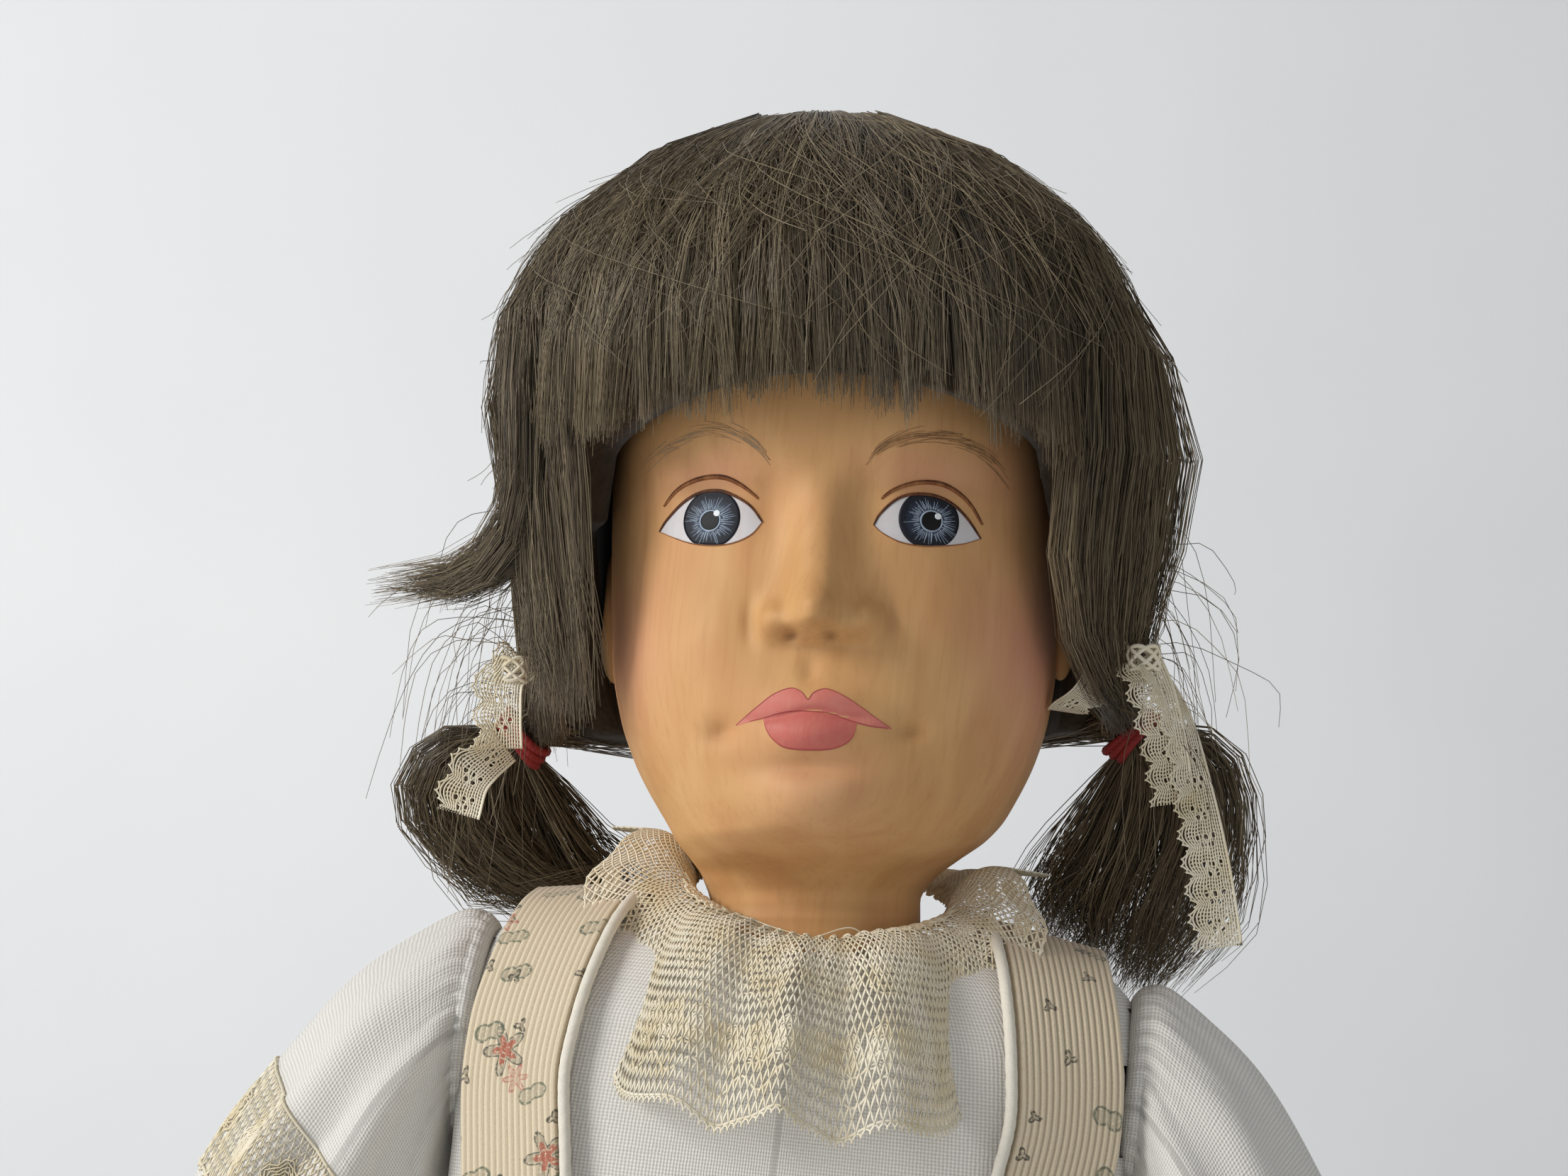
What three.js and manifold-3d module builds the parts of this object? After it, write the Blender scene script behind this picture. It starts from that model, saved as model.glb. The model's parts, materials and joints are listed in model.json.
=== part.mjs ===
// A carved wooden collectible doll with painted face, wig with two low pigtails, lace-collared blouse,
// corduroy straps, divided skirt, socks and leather shoes. Limbs turn on steel pins, and the ball neck
// is pulled into its cup by a sprung bolt. Millimetres, +Z up; the doll looks along -Y and stands on
// the floor at the origin. Left is the doll's own left, at +X.
import * as THREE from 'three';
import { mergeVertices } from 'three/addons/utils/BufferGeometryUtils.js';
import Module from 'manifold-3d';

const wasm = await Module();
wasm.setup();
const radians = THREE.MathUtils.degToRad;
const vec = (x, y, z) => new THREE.Vector3(x, y, z);

// Clearances and hardware
const GAP = 0.3;
const PIN_R = 2;
const PIN_HEAD_R = 4;
const PIN_HEAD_LENGTH = 2;
const BOLT_R = 1.6;

// Lower body
const SOLE_THICKNESS = 4;
const ANKLE_HEIGHT = 35;
const SHIN_LENGTH = 120;
const THIGH_LENGTH = 120;
const HIP_HUB_R = 16.5;
const KNEE_R = 12;
const FOOT_LENGTH = 54;
const FOOT_HALF = 10.5;
const SHOE_WALL = 1.6;
const SOCK_WALL = 1;

// Torso, measured from the hip pins upwards
const HIP_TO_SHOULDER = 177;
const HIP_TO_NECK = 196;
const CHEST_HALF = 52;
const CHEST_DEPTH = 30;
const WAIST_HALF = 39;
const PELVIS_HALF = 43;
const CROTCH_HALF = 13;
const CROTCH_DROP = 19;
const CUP_RIM_DROP = 3;
const CUP_FLOOR = 5;

// Arms
const UPPER_ARM = 88;
const FOREARM = 72;
const SHOULDER_HUB_R = 13.5;
const SHOULDER_HUB_WIDTH = 14;
const ELBOW_R = 9;
const ELBOW_TONGUE = 6;
const KNEE_TONGUE = 8;
const ABDUCTION = radians(26);
const ELBOW_REST = radians(15);
const ELBOW_BEND = radians(120);
const KNEE_BEND = radians(100);

// Head, measured from the eye line on the face's own axis
const HEAD_TILT = radians(6.5);
const NECK_LENGTH = 66;
const NECK_SHIFT = -3.4;
const NECK_R = 17.3;
const CHIN_DROP = 53;
const FACE_HALF = 36.9;
const FACE_FRONT = 41;
const SKULL_BACK = 55;
const SKULL_TOP = 64;
const CAP_WALL = 0.8;
const CAP_EASE = 1.6;
const HAIR_HALF = 54.4;
const HAIR_FRONT = 53;
const HAIR_BACK = 62;
const HAIR_TOP = 74;
const HAIR_SHIFT = -2;
const FRINGE_DROP = 17;
const TIE_X = 51;
const TIE_Z = -30;
const PIGTAIL_R = 12.5;

// Clothes
const FELT_WALL = 1;
const FELT_EASE = 0.6;
const BLOUSE_WALL = 1;
const BLOUSE_EASE = 1.4;
const SLEEVE_WALL = 1;
const SLEEVE_PUFF = 23.5;
const COLLAR_WALL = 0.8;
const COLLAR_REACH = 45;
const STRAP_WIDTH = 18;
const STRAP_WALL = 1.4;
const PIPING_R = 0.9;
const WAISTBAND_WIDTH = 16;
const SKIRT_LENGTH = 175;
const HEM_HALF = 66;
const HEM_DEPTH = 64;
const SKIRT_WALL = 1.2;
const SKIRT_FOLDS = 7;

// Places that follow from the sizes above
const KNEE_Z = ANKLE_HEIGHT + SHIN_LENGTH;
const HIP_Z = KNEE_Z + THIGH_LENGTH;
const THIGH_HALF = HIP_HUB_R - 2;
const LEG_X = CROTCH_HALF + GAP + THIGH_HALF;
const SHOULDER_X = CHEST_HALF + GAP + SHOULDER_HUB_WIDTH / 2;
const WAIST = 98;
const BALL_R = NECK_R;
const CUP_R = BALL_R + 2 * FELT_EASE + FELT_WALL;
const SADDLE_R = CUP_R + CUP_FLOOR + GAP;

// Finishes
function finish(colour, roughness, metalness = 0) {
  return new THREE.MeshStandardMaterial({ color: colour, roughness, metalness });
}
const WOOD = finish(0xdcb284, 0.5);
const HAIR = finish(0x54493b, 0.6);
const STEEL = finish(0xa8abad, 0.35, 1);
const FELT = finish(0xb9ab94, 0.95);
const NET = finish(0x4b4136, 0.9);
const ELASTIC = finish(0xa02c28, 0.7);
const LACE = finish(0xe2d7ba, 0.9);
const COTTON = finish(0xf0ede6, 0.9);
const CORDUROY = finish(0xdccbac, 0.95);
const PIPING = finish(0xf2efe8, 0.85);
const BUTTON_SHELL = finish(0xe9dfc8, 0.35);
const SOCK = finish(0xeeeae0, 0.95);
const LEATHER = finish(0x6b4630, 0.45);
const RUBBER_SOLE = finish(0x3c2b20, 0.8);

// Solids from plain arrays, turned so that their faces point outwards
function solidOf(positions, faces) {
  let volume = 0;
  const at = (index) => vec(positions[3 * index], positions[3 * index + 1], positions[3 * index + 2]);
  for (let face = 0; face < faces.length; face += 3) {
    const [a, b, c] = [at(faces[face]), at(faces[face + 1]), at(faces[face + 2])];
    volume += a.dot(b.cross(c));
  }
  const ordered = volume < 0 ? faces.slice().reverse() : faces;
  return new wasm.Manifold(new wasm.Mesh({
    numProp: 3,
    vertProperties: new Float32Array(positions),
    triVerts: new Uint32Array(ordered),
  }));
}

function geometryOf(solid) {
  const mesh = solid.getMesh();
  const geometry = new THREE.BufferGeometry();
  geometry.setAttribute('position', new THREE.BufferAttribute(mesh.vertProperties, 3));
  geometry.setIndex(new THREE.BufferAttribute(mesh.triVerts, 1));
  geometry.computeVertexNormals();
  return geometry;
}

function fromGeometry(geometry) {
  geometry.deleteAttribute('normal');
  geometry.deleteAttribute('uv');
  const merged = mergeVertices(geometry, 1e-4);
  return solidOf([...merged.attributes.position.array], [...merged.index.array]);
}

function moved(solid, matrix) {
  const mesh = solid.getMesh();
  const positions = [];
  for (let index = 0; index < mesh.vertProperties.length; index += 3) {
    const point = vec(...mesh.vertProperties.subarray(index, index + 3)).applyMatrix4(matrix);
    positions.push(point.x, point.y, point.z);
  }
  return solidOf(positions, [...mesh.triVerts]);
}

// What a cut leaves, without the slivers that come loose
function largest(solid) {
  const bodies = solid.decompose();
  return bodies.reduce((most, next) => (next.volume() > most.volume() ? next : most));
}

const mirrored = (solid) => moved(solid, new THREE.Matrix4().makeScale(-1, 1, 1));
const onSide = (side, solid) => (side > 0 ? solid : mirrored(solid));

function box(low, high) {
  const size = high.clone().sub(low);
  const centre = low.clone().add(high).multiplyScalar(0.5);
  return fromGeometry(new THREE.BoxGeometry(size.x, size.y, size.z).translate(...centre));
}

// A cylinder from one point to another
function rod(start, end, radius, sides = 20) {
  const along = end.clone().sub(start);
  const turn = new THREE.Quaternion().setFromUnitVectors(vec(0, 1, 0), along.clone().normalize());
  const geometry = new THREE.CylinderGeometry(radius, radius, along.length(), sides);
  geometry.applyQuaternion(turn).translate(...start.clone().add(end).multiplyScalar(0.5));
  return fromGeometry(geometry);
}

function ellipsoid(centre, radii, columns = 18, rows = 10) {
  const geometry = new THREE.SphereGeometry(1, columns, rows);
  geometry.scale(...radii).translate(...centre);
  return fromGeometry(geometry);
}

// A skin over a stack of rings: capped at both ends, or joined from its last ring to its first
function skin(rings, joined = false) {
  const count = rings[0].length;
  const positions = rings.flat().flatMap((point) => [point.x, point.y, point.z]);
  const faces = [];
  const bands = joined ? rings.length : rings.length - 1;
  for (let ring = 0; ring < bands; ring += 1) {
    const low = ring * count;
    const high = ((ring + 1) % rings.length) * count;
    for (let index = 0; index < count; index += 1) {
      const next = (index + 1) % count;
      faces.push(low + index, low + next, high + next, low + index, high + next, high + index);
    }
  }
  if (!joined) {
    for (const [ring, flip] of [[0, true], [rings.length - 1, false]]) {
      const centre = rings[ring].reduce((sum, point) => sum.add(point), vec(0, 0, 0));
      centre.multiplyScalar(1 / count);
      const middle = positions.length / 3;
      positions.push(centre.x, centre.y, centre.z);
      for (let index = 0; index < count; index += 1) {
        const next = (index + 1) % count;
        const [a, b] = flip ? [next, index] : [index, next];
        faces.push(middle, ring * count + a, ring * count + b);
      }
    }
  }
  return solidOf(positions, faces);
}

const steps = (low, high, count) => Array.from(
  { length: count + 1 },
  (_, step) => low + (high - low) * step / count,
);
const around = (count) => steps(0, 2 * Math.PI, count).slice(0, count);
const smooth = (low, high, value) => {
  const share = THREE.MathUtils.clamp((value - low) / (high - low), 0, 1);
  return share * share * (3 - 2 * share);
};
const mix = THREE.MathUtils.lerp;

// Rows of [height, half width, front depth, back depth, fullness], joined by monotone cubics
function sectionAt(rows, height) {
  const clamped = THREE.MathUtils.clamp(height, rows[0][0], rows[rows.length - 1][0]);
  let index = rows.findIndex((row) => row[0] >= clamped);
  index = Math.max(index, 1) - 1;
  const [low, high] = [rows[index], rows[index + 1]];
  const span = high[0] - low[0];
  const t = (clamped - low[0]) / span;
  const slope = (a, b, k) => (b[k] - a[k]) / (b[0] - a[0]);
  const tangent = (row, k) => {
    if (row === 0) return slope(rows[0], rows[1], k);
    if (row === rows.length - 1) return slope(rows[row - 1], rows[row], k);
    const before = slope(rows[row - 1], rows[row], k);
    const after = slope(rows[row], rows[row + 1], k);
    return before * after <= 0 ? 0 : 2 * before * after / (before + after);
  };
  const value = (k) => {
    const [m0, m1] = [tangent(index, k) * span, tangent(index + 1, k) * span];
    const [t2, t3] = [t * t, t * t * t];
    return (2 * t3 - 3 * t2 + 1) * low[k] + (t3 - 2 * t2 + t) * m0
      + (3 * t2 - 2 * t3) * high[k] + (t3 - t2) * m1;
  };
  return { half: value(1), front: value(2), back: value(3), fullness: value(4) };
}

// A point on a superellipse section; the angle starts at the front and runs towards +X
function onSection(section, angle, offset = 0) {
  const [x, y] = [Math.sin(angle), -Math.cos(angle)];
  const depth = (y < 0 ? section.front : section.back) + offset;
  const power = section.fullness;
  const sum = Math.abs(x / (section.half + offset)) ** power + Math.abs(y / depth) ** power;
  const radius = sum ** (-1 / power);
  return { x: radius * x, y: radius * y };
}

// A stack of rings over a table of sections, as a solid
function loft(rows, heights, count, { offset = 0, shift = () => 0, shape = () => 0 } = {}) {
  const rings = heights.map((height) => {
    const section = sectionAt(rows, height);
    return around(count).map((angle) => {
      const point = onSection(section, angle, offset + shape(angle, height));
      return vec(point.x + shift(height), point.y, height);
    });
  });
  return skin(rings);
}

// A bar of round or flat section along a smooth curve
function bar(points, radii, { sides = 8, count = 12, flat = 1 } = {}) {
  const curve = new THREE.CatmullRomCurve3(points);
  const frames = curve.computeFrenetFrames(count, false);
  const rings = steps(0, 1, count).map((t, step) => {
    const at = curve.getPointAt(t);
    const place = t * (radii.length - 1);
    const low = Math.min(Math.floor(place), radii.length - 2);
    const radius = mix(radii[low], radii[low + 1], place - low);
    return around(sides).map((angle) => at.clone()
      .addScaledVector(frames.normals[step], radius * Math.cos(angle))
      .addScaledVector(frames.binormals[step], radius * flat * Math.sin(angle)));
  });
  return skin(rings);
}

// A strip of cloth: a flat bar whose width direction is given at each of its points
function strip(points, widths, wall) {
  const rings = points.map((at, index) => {
    const along = points[Math.min(index + 1, points.length - 1)].clone();
    along.sub(points[Math.max(index - 1, 0)]).normalize();
    const across = widths[index];
    const normal = along.clone().cross(across).normalize().multiplyScalar(wall / 2);
    const half = across.clone().multiplyScalar(0.5);
    return [
      at.clone().add(half).add(normal),
      at.clone().sub(half).add(normal),
      at.clone().sub(half).sub(normal),
      at.clone().add(half).sub(normal),
    ];
  });
  return skin(rings);
}

// A tube of cloth: point(turn, share) gives its middle surface, and the wall is laid on both sides
function clothTube(point, columns, rows, wall) {
  const at = (column, row) => point(column * 2 * Math.PI / columns, row / rows);
  const nearest = (row) => THREE.MathUtils.clamp(row, 0, rows);
  const layer = (direction) => steps(0, rows, rows).map((row) => {
    const ring = [];
    for (let column = 0; column < columns; column += 1) {
      const across = at(column + 0.5, row).sub(at(column - 0.5, row));
      const down = at(column, nearest(row + 0.5)).sub(at(column, nearest(row - 0.5)));
      const out = across.cross(down).normalize();
      ring.push(at(column, row).addScaledVector(out, direction * wall / 2));
    }
    return ring;
  });
  return skin([...layer(1), ...layer(-1).reverse()], true);
}

const doll = new THREE.Group();

function piece(parent, name, solid, material) {
  const mesh = new THREE.Mesh(geometryOf(largest(solid)), material);
  mesh.name = name;
  parent.add(mesh);
}

function group(parent, position, rotationAxis = 'y', angle = 0) {
  const inner = new THREE.Group();
  inner.position.copy(position);
  inner.rotation[rotationAxis] = angle;
  parent.add(inner);
  return inner;
}

const SIDES = [['left', 1], ['right', -1]];

// Head

const HEAD_ROWS = [
  [-NECK_LENGTH, NECK_R, NECK_R, NECK_R, 2],
  [-CHIN_DROP - 5, NECK_R, NECK_R, NECK_R + 1.5, 2],
  [-CHIN_DROP - 1, 0.52 * FACE_HALF, 0.5 * FACE_FRONT, 0.345 * SKULL_BACK, 2.05],
  [-CHIN_DROP + 2, 0.6 * FACE_HALF, 0.76 * FACE_FRONT, 0.36 * SKULL_BACK, 2.1],
  [-CHIN_DROP + 5, 0.69 * FACE_HALF, 0.91 * FACE_FRONT, 0.375 * SKULL_BACK, 2.15],
  [-CHIN_DROP + 11, 0.8 * FACE_HALF, 0.995 * FACE_FRONT, 0.42 * SKULL_BACK, 2.2],
  [-CHIN_DROP + 18, 0.895 * FACE_HALF, 1.02 * FACE_FRONT, 0.54 * SKULL_BACK, 2.25],
  [-CHIN_DROP + 25, 0.955 * FACE_HALF, 1.01 * FACE_FRONT, 0.69 * SKULL_BACK, 2.3],
  [-CHIN_DROP + 34, 0.992 * FACE_HALF, FACE_FRONT, 0.85 * SKULL_BACK, 2.3],
  [0, FACE_HALF, FACE_FRONT, SKULL_BACK, 2.3],
  [0.25 * SKULL_TOP, 0.99 * FACE_HALF, 1.05 * FACE_FRONT, SKULL_BACK, 2.25],
  [0.44 * SKULL_TOP, 0.97 * FACE_HALF, 1.05 * FACE_FRONT, 0.97 * SKULL_BACK, 2.15],
  [0.62 * SKULL_TOP, 0.9 * FACE_HALF, 0.96 * FACE_FRONT, 0.88 * SKULL_BACK, 2.1],
  [0.78 * SKULL_TOP, 0.77 * FACE_HALF, 0.81 * FACE_FRONT, 0.74 * SKULL_BACK, 2.05],
  [0.89 * SKULL_TOP, 0.58 * FACE_HALF, 0.6 * FACE_FRONT, 0.55 * SKULL_BACK, 2],
  [0.97 * SKULL_TOP, 0.32 * FACE_HALF, 0.33 * FACE_FRONT, 0.3 * SKULL_BACK, 2],
  [0.995 * SKULL_TOP, 0.12 * FACE_HALF, 0.12 * FACE_FRONT, 0.12 * SKULL_BACK, 2],
];
const neckShift = (height) => NECK_SHIFT * smooth(-CHIN_DROP + 9, -CHIN_DROP - 5, height);

// How far the carver left the wood proud of the plain egg of the face, as mounds and hollows
function carving(x, z) {
  const side = Math.abs(x);
  const mound = (from, centreX, centreZ, spreadX, spreadZ) => Math.exp(
    -(((from - centreX) / spreadX) ** 2) - ((z - centreZ) / spreadZ) ** 2,
  );
  const bridge = THREE.MathUtils.clamp((8 - z) / 23, 0, 1);
  const underside = smooth(-21.5, -16, z);
  const noseWidth = 3.4 + 2.4 * bridge;
  const nose = 10.5 * bridge ** 1.15 * underside * Math.exp(-((side / noseWidth) ** 2.4));
  const wings = 4 * mound(side, 7.2, -16.4, 3.2, 3.2);
  const sockets = -2.6 * mound(side, 17.5, 1, 9.5, 6) - 1.4 * mound(side, 7.5, 2, 3, 6);
  const eyeballs = 2.2 * mound(side, 17.3, 0, 7.5, 4.6);
  const mouth = 2 * mound(x, -1.2, -31, 11, 8) + 1.5 * mound(x, -1, -29, 6.5, 1.8);
  const lowerLip = 2.1 * mound(x, -1.6, -34.4, 6.5, 2.2);
  const corners = -1.7 * mound(Math.abs(x + 1.2), 13.4, -33, 2.2, 1.8);
  const chin = 3 * mound(x, -1.8, -45.5, 10, 6) - 1.3 * mound(x, -1.7, -39.4, 8, 1.8);
  const cheeks = 1.5 * mound(side, 20, -20, 10, 10);
  return nose + wings + sockets + eyeballs + mouth + lowerLip + corners + chin + cheeks;
}

// The rings' points crowd towards the face, where the carving is
const FACE_CROWDING = 0.42;
function headRing(height, count, offset, carved) {
  const section = sectionAt(HEAD_ROWS, height);
  const rise = offset * smooth(0.4 * SKULL_TOP, SKULL_TOP, height);
  return around(count).map((turn) => {
    const angle = turn - (carved ? FACE_CROWDING : 0) * Math.sin(turn);
    const point = onSection(section, angle, offset);
    const facing = smooth(0.15, 0.6, -point.y / (section.front + offset));
    const proud = carved ? carving(point.x, height) * facing : 0;
    return vec(point.x + neckShift(height), point.y - proud, height + rise);
  });
}

function headSolid(offset, carved) {
  const count = carved ? 32 : 20;
  const ball = [70, 35].map((degrees) => {
    const angle = radians(degrees);
    const section = { half: 1, front: 1, back: 1, fullness: 2 };
    const radius = (BALL_R + offset) * Math.cos(angle);
    return around(count).map((turn) => {
      const point = onSection(section, turn - (carved ? FACE_CROWDING : 0) * Math.sin(turn));
      const height = -NECK_LENGTH - (BALL_R + offset) * Math.sin(angle);
      return vec(point.x * radius + NECK_SHIFT, point.y * radius, height);
    });
  });
  const heights = [
    ...steps(-NECK_LENGTH, -CHIN_DROP - 2, carved ? 2 : 1),
    ...steps(-CHIN_DROP, 0.25 * SKULL_TOP, carved ? 19 : 6),
    ...[0.45, 0.64, 0.79, 0.9, 0.97].map((share) => share * SKULL_TOP),
  ];
  return skin([...ball, ...heights.map((height) => headRing(height, count, offset, carved))]);
}

// Small carved ears: a leaf with a hollow
function ear(side, offset) {
  const x = side * (FACE_HALF + 0.4);
  const leaf = ellipsoid([x, 5, -10], [3 + offset, 6 + offset, 11 + offset], 10, 6);
  if (offset > 0) return leaf;
  return leaf.subtract(ellipsoid([x + side * 3.4, 4, -8], [2.4, 3.6, 6.5], 8, 6));
}

const boltTop = vec(NECK_SHIFT, 0, -NECK_LENGTH + 12);
const boltEnd = vec(NECK_SHIFT, 0, -NECK_LENGTH - SADDLE_R - 17);
const headGroup = group(
  group(doll, vec(0, 0, HIP_Z + HIP_TO_NECK), 'y', -HEAD_TILT),
  vec(-NECK_SHIFT, 0, NECK_LENGTH),
);

const head = headSolid(0, true)
  .add(ear(1, 0))
  .add(ear(-1, 0))
  .subtract(rod(boltEnd, boltTop.clone().add(vec(0, 0, GAP)), BOLT_R + GAP, 12));
piece(headGroup, 'head', head, WOOD);
piece(headGroup, 'neck_bolt', rod(boltEnd, boltTop, BOLT_R, 12), STEEL);

// The spring's wire winds up round the bolt between the saddle and the nut
const SPRING_TURNS = 4;
const SPRING_R = 4;
const SPRING_WIRE_R = 0.6;
const nutTop = boltEnd.z + 4;
const springPoints = steps(0, SPRING_TURNS * 6, SPRING_TURNS * 6).map((step) => {
  const low = nutTop + SPRING_WIRE_R + GAP;
  const high = -NECK_LENGTH - SADDLE_R - 3 - SPRING_WIRE_R;
  const angle = step * Math.PI / 3;
  return vec(
    NECK_SHIFT + SPRING_R * Math.cos(angle),
    SPRING_R * Math.sin(angle),
    mix(low, high, step / (SPRING_TURNS * 6)),
  );
});
const springBar = bar(springPoints, [SPRING_WIRE_R, SPRING_WIRE_R], { sides: 4, count: SPRING_TURNS * 6 });
piece(headGroup, 'neck_spring', springBar, STEEL);
const nutBore = rod(vec(NECK_SHIFT, 0, boltEnd.z - 2), vec(NECK_SHIFT, 0, nutTop + 2), BOLT_R + 0.1, 12);
const nut = rod(vec(NECK_SHIFT, 0, boltEnd.z + 1), vec(NECK_SHIFT, 0, nutTop), 4.6, 6).subtract(nutBore);
piece(headGroup, 'neck_nut', nut, STEEL);

// Wig: a net cap on the skull, and hair in locks round it. The hairline falls from brow to nape.
const hairline = (y, lift = 0) => 25 + lift - 0.42 * (y + FACE_FRONT);
function belowHairline(lift) {
  const reach = 90;
  const points = [
    [-reach, hairline(-reach, lift)],
    [reach, hairline(reach, lift)],
    [reach, -2 * reach],
    [-reach, -2 * reach],
  ];
  const rings = [-reach, reach].map((x) => points.map(([y, z]) => vec(x, y, z)));
  return skin(rings);
}
const cap = headSolid(CAP_EASE + CAP_WALL, false)
  .subtract(headSolid(CAP_EASE, false))
  .subtract(belowHairline(0));
piece(headGroup, 'wig_cap', cap, NET);

const HAIR_HEM = -CHIN_DROP + 11;
const HAIR_ROWS = [
  [HAIR_HEM, 0.72 * HAIR_HALF, 0.6 * HAIR_FRONT, 0.58 * HAIR_BACK, 2.2],
  [-CHIN_DROP + 20, 0.9 * HAIR_HALF, 0.78 * HAIR_FRONT, 0.78 * HAIR_BACK, 2.25],
  [-20, 0.93 * HAIR_HALF, 0.9 * HAIR_FRONT, 0.9 * HAIR_BACK, 2.3],
  [-5, 0.96 * HAIR_HALF, 0.97 * HAIR_FRONT, 0.97 * HAIR_BACK, 2.3],
  [0.12 * HAIR_TOP, HAIR_HALF, HAIR_FRONT, HAIR_BACK, 2.3],
  [0.35 * HAIR_TOP, HAIR_HALF, HAIR_FRONT, HAIR_BACK, 2.25],
  [0.49 * HAIR_TOP, 0.97 * HAIR_HALF, 0.97 * HAIR_FRONT, 0.97 * HAIR_BACK, 2.2],
  [0.62 * HAIR_TOP, 0.9 * HAIR_HALF, 0.91 * HAIR_FRONT, 0.9 * HAIR_BACK, 2.15],
  [0.74 * HAIR_TOP, 0.78 * HAIR_HALF, 0.8 * HAIR_FRONT, 0.81 * HAIR_BACK, 2.1],
  [0.84 * HAIR_TOP, 0.62 * HAIR_HALF, 0.64 * HAIR_FRONT, 0.66 * HAIR_BACK, 2],
  [0.92 * HAIR_TOP, 0.44 * HAIR_HALF, 0.45 * HAIR_FRONT, 0.47 * HAIR_BACK, 2],
  [0.98 * HAIR_TOP, 0.22 * HAIR_HALF, 0.22 * HAIR_FRONT, 0.24 * HAIR_BACK, 2],
];
const HAIR_LOCKS = 9;
const HAIR_LOCK_DEPTH = 1;
const hairShape = (angle, height) => HAIR_LOCK_DEPTH * Math.cos(HAIR_LOCKS * angle + Math.sin(2 * angle))
  * smooth(0.98 * HAIR_TOP, 0.6 * HAIR_TOP, height);
const hairSolid = (offset) => loft(
  HAIR_ROWS,
  [...steps(HAIR_HEM, 0.4 * HAIR_TOP, 4), ...steps(0.55 * HAIR_TOP, 0.98 * HAIR_TOP, 4)],
  27,
  { offset, shift: () => HAIR_SHIFT, shape: hairShape },
);
const FAR = 120;
const faceSide = FACE_HALF - 0.5;
const skullRoom = headSolid(CAP_EASE + CAP_WALL + GAP, false).add(ear(1, GAP)).add(ear(-1, GAP));
const faceWindow = box(vec(-faceSide, -FAR, -FAR), vec(faceSide, 4, FRINGE_DROP));
const hair = hairSolid(0).subtract(skullRoom).subtract(faceWindow);
const SIDE_TOP = 44;
const SIDE_BACK = 18;
const BANGS_BACK = -22;
// The cuts between the pieces lie a little inside the window, so that no two of them share a plane
const CUT_HALF = faceSide - 0.05;
const bangsRoom = (grow) => box(
  vec(-CUT_HALF - grow, -FAR, -FAR),
  vec(CUT_HALF + grow, BANGS_BACK + grow, SIDE_TOP + grow),
);
const sideRoom = (side, grow) => onSide(side, box(
  vec(CUT_HALF + GAP - grow, -FAR, -FAR),
  vec(FAR, SIDE_BACK + grow, SIDE_TOP + grow),
));
piece(headGroup, 'hair_bangs', hair.intersect(bangsRoom(0)), HAIR);
const crown = hair.subtract(bangsRoom(GAP)).subtract(sideRoom(1, GAP)).subtract(sideRoom(-1, GAP));
piece(headGroup, 'hair_crown', crown, HAIR);

// The lock that flicks outwards above the tie on the doll's right
const flick = bar(
  [vec(-45, -10, 8), vec(-53, -13, -3), vec(-62, -13, -7), vec(-71, -12, -6.5)],
  [5, 5.5, 4, 0.8],
  { sides: 6, count: 5, flat: 0.6 },
).subtract(skullRoom);

// Pigtails hang from their ties in one fat curl each; the doll's left one falls lower
const pigtailDrop = { 1: 31, '-1': 27 };
const tie = (side) => vec(side * TIE_X + HAIR_SHIFT, 6, TIE_Z);
const tieDirection = (side) => vec(side * 0.75, 0.1, -0.65).normalize();
function pigtail(side, grow = 0) {
  const at = tie(side);
  const drop = pigtailDrop[side];
  return bar(
    [
      at.clone().addScaledVector(tieDirection(side), -9),
      at,
      at.clone().add(vec(side * 8, 3, -0.3 * drop)),
      at.clone().add(vec(side * 9, 7, -0.65 * drop)),
      at.clone().add(vec(side * 3, 9, -drop)),
    ],
    [3.2 + grow, 3.4 + grow, PIGTAIL_R - 2 + grow, PIGTAIL_R + grow, 5 + grow],
    { sides: 9, count: 6 },
  );
}
function tieRing(side, radius, tube) {
  const turn = new THREE.Quaternion().setFromUnitVectors(vec(0, 0, 1), tieDirection(side));
  const geometry = new THREE.TorusGeometry(radius, tube, 4, 8).applyQuaternion(turn);
  return fromGeometry(geometry.translate(...tie(side)));
}
const BAND_R = 5;
const BAND_TUBE_R = 1;

// Lace ribbons: a knot on the tie, a loop and two tails on the left, one wrapped tail on the right
const RIBBON_WIDTH = 6;
const RIBBON_WALL = 0.8;
const ribbonStrip = (points) => {
  const curve = new THREE.CatmullRomCurve3(points);
  const samples = curve.getSpacedPoints(4);
  const across = samples.map((_, index) => {
    const along = curve.getTangentAt(index / 4);
    return vec(0, 1, 0).cross(along).normalize().multiplyScalar(RIBBON_WIDTH);
  });
  return strip(samples, across, RIBBON_WALL);
};
const ribbonFront = -7.5;
const knot = (side) => {
  const at = tie(side);
  return ellipsoid([at.x + side * 0.5, ribbonFront, at.z + 6], [3.2, 1.8, 3.6], 7, 5);
};
const ribbonTails = {
  1: [
    [vec(38, -9, -27), vec(42, -10, -24), vec(48, ribbonFront, -22.5)],
    [vec(50, ribbonFront, -23), vec(54, -9, -31), vec(56, -9.5, -40)],
    [vec(50, ribbonFront, -23), vec(57, -8.2, -38), vec(62, -9, -56)],
  ],
  '-1': [
    [vec(-53, ribbonFront, -23), vec(-54, -10, -30), vec(-54, -10, -36)],
    [vec(-53, ribbonFront, -23), vec(-57.5, -8.5, -33), vec(-60, -8.5, -43)],
  ],
};

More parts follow.
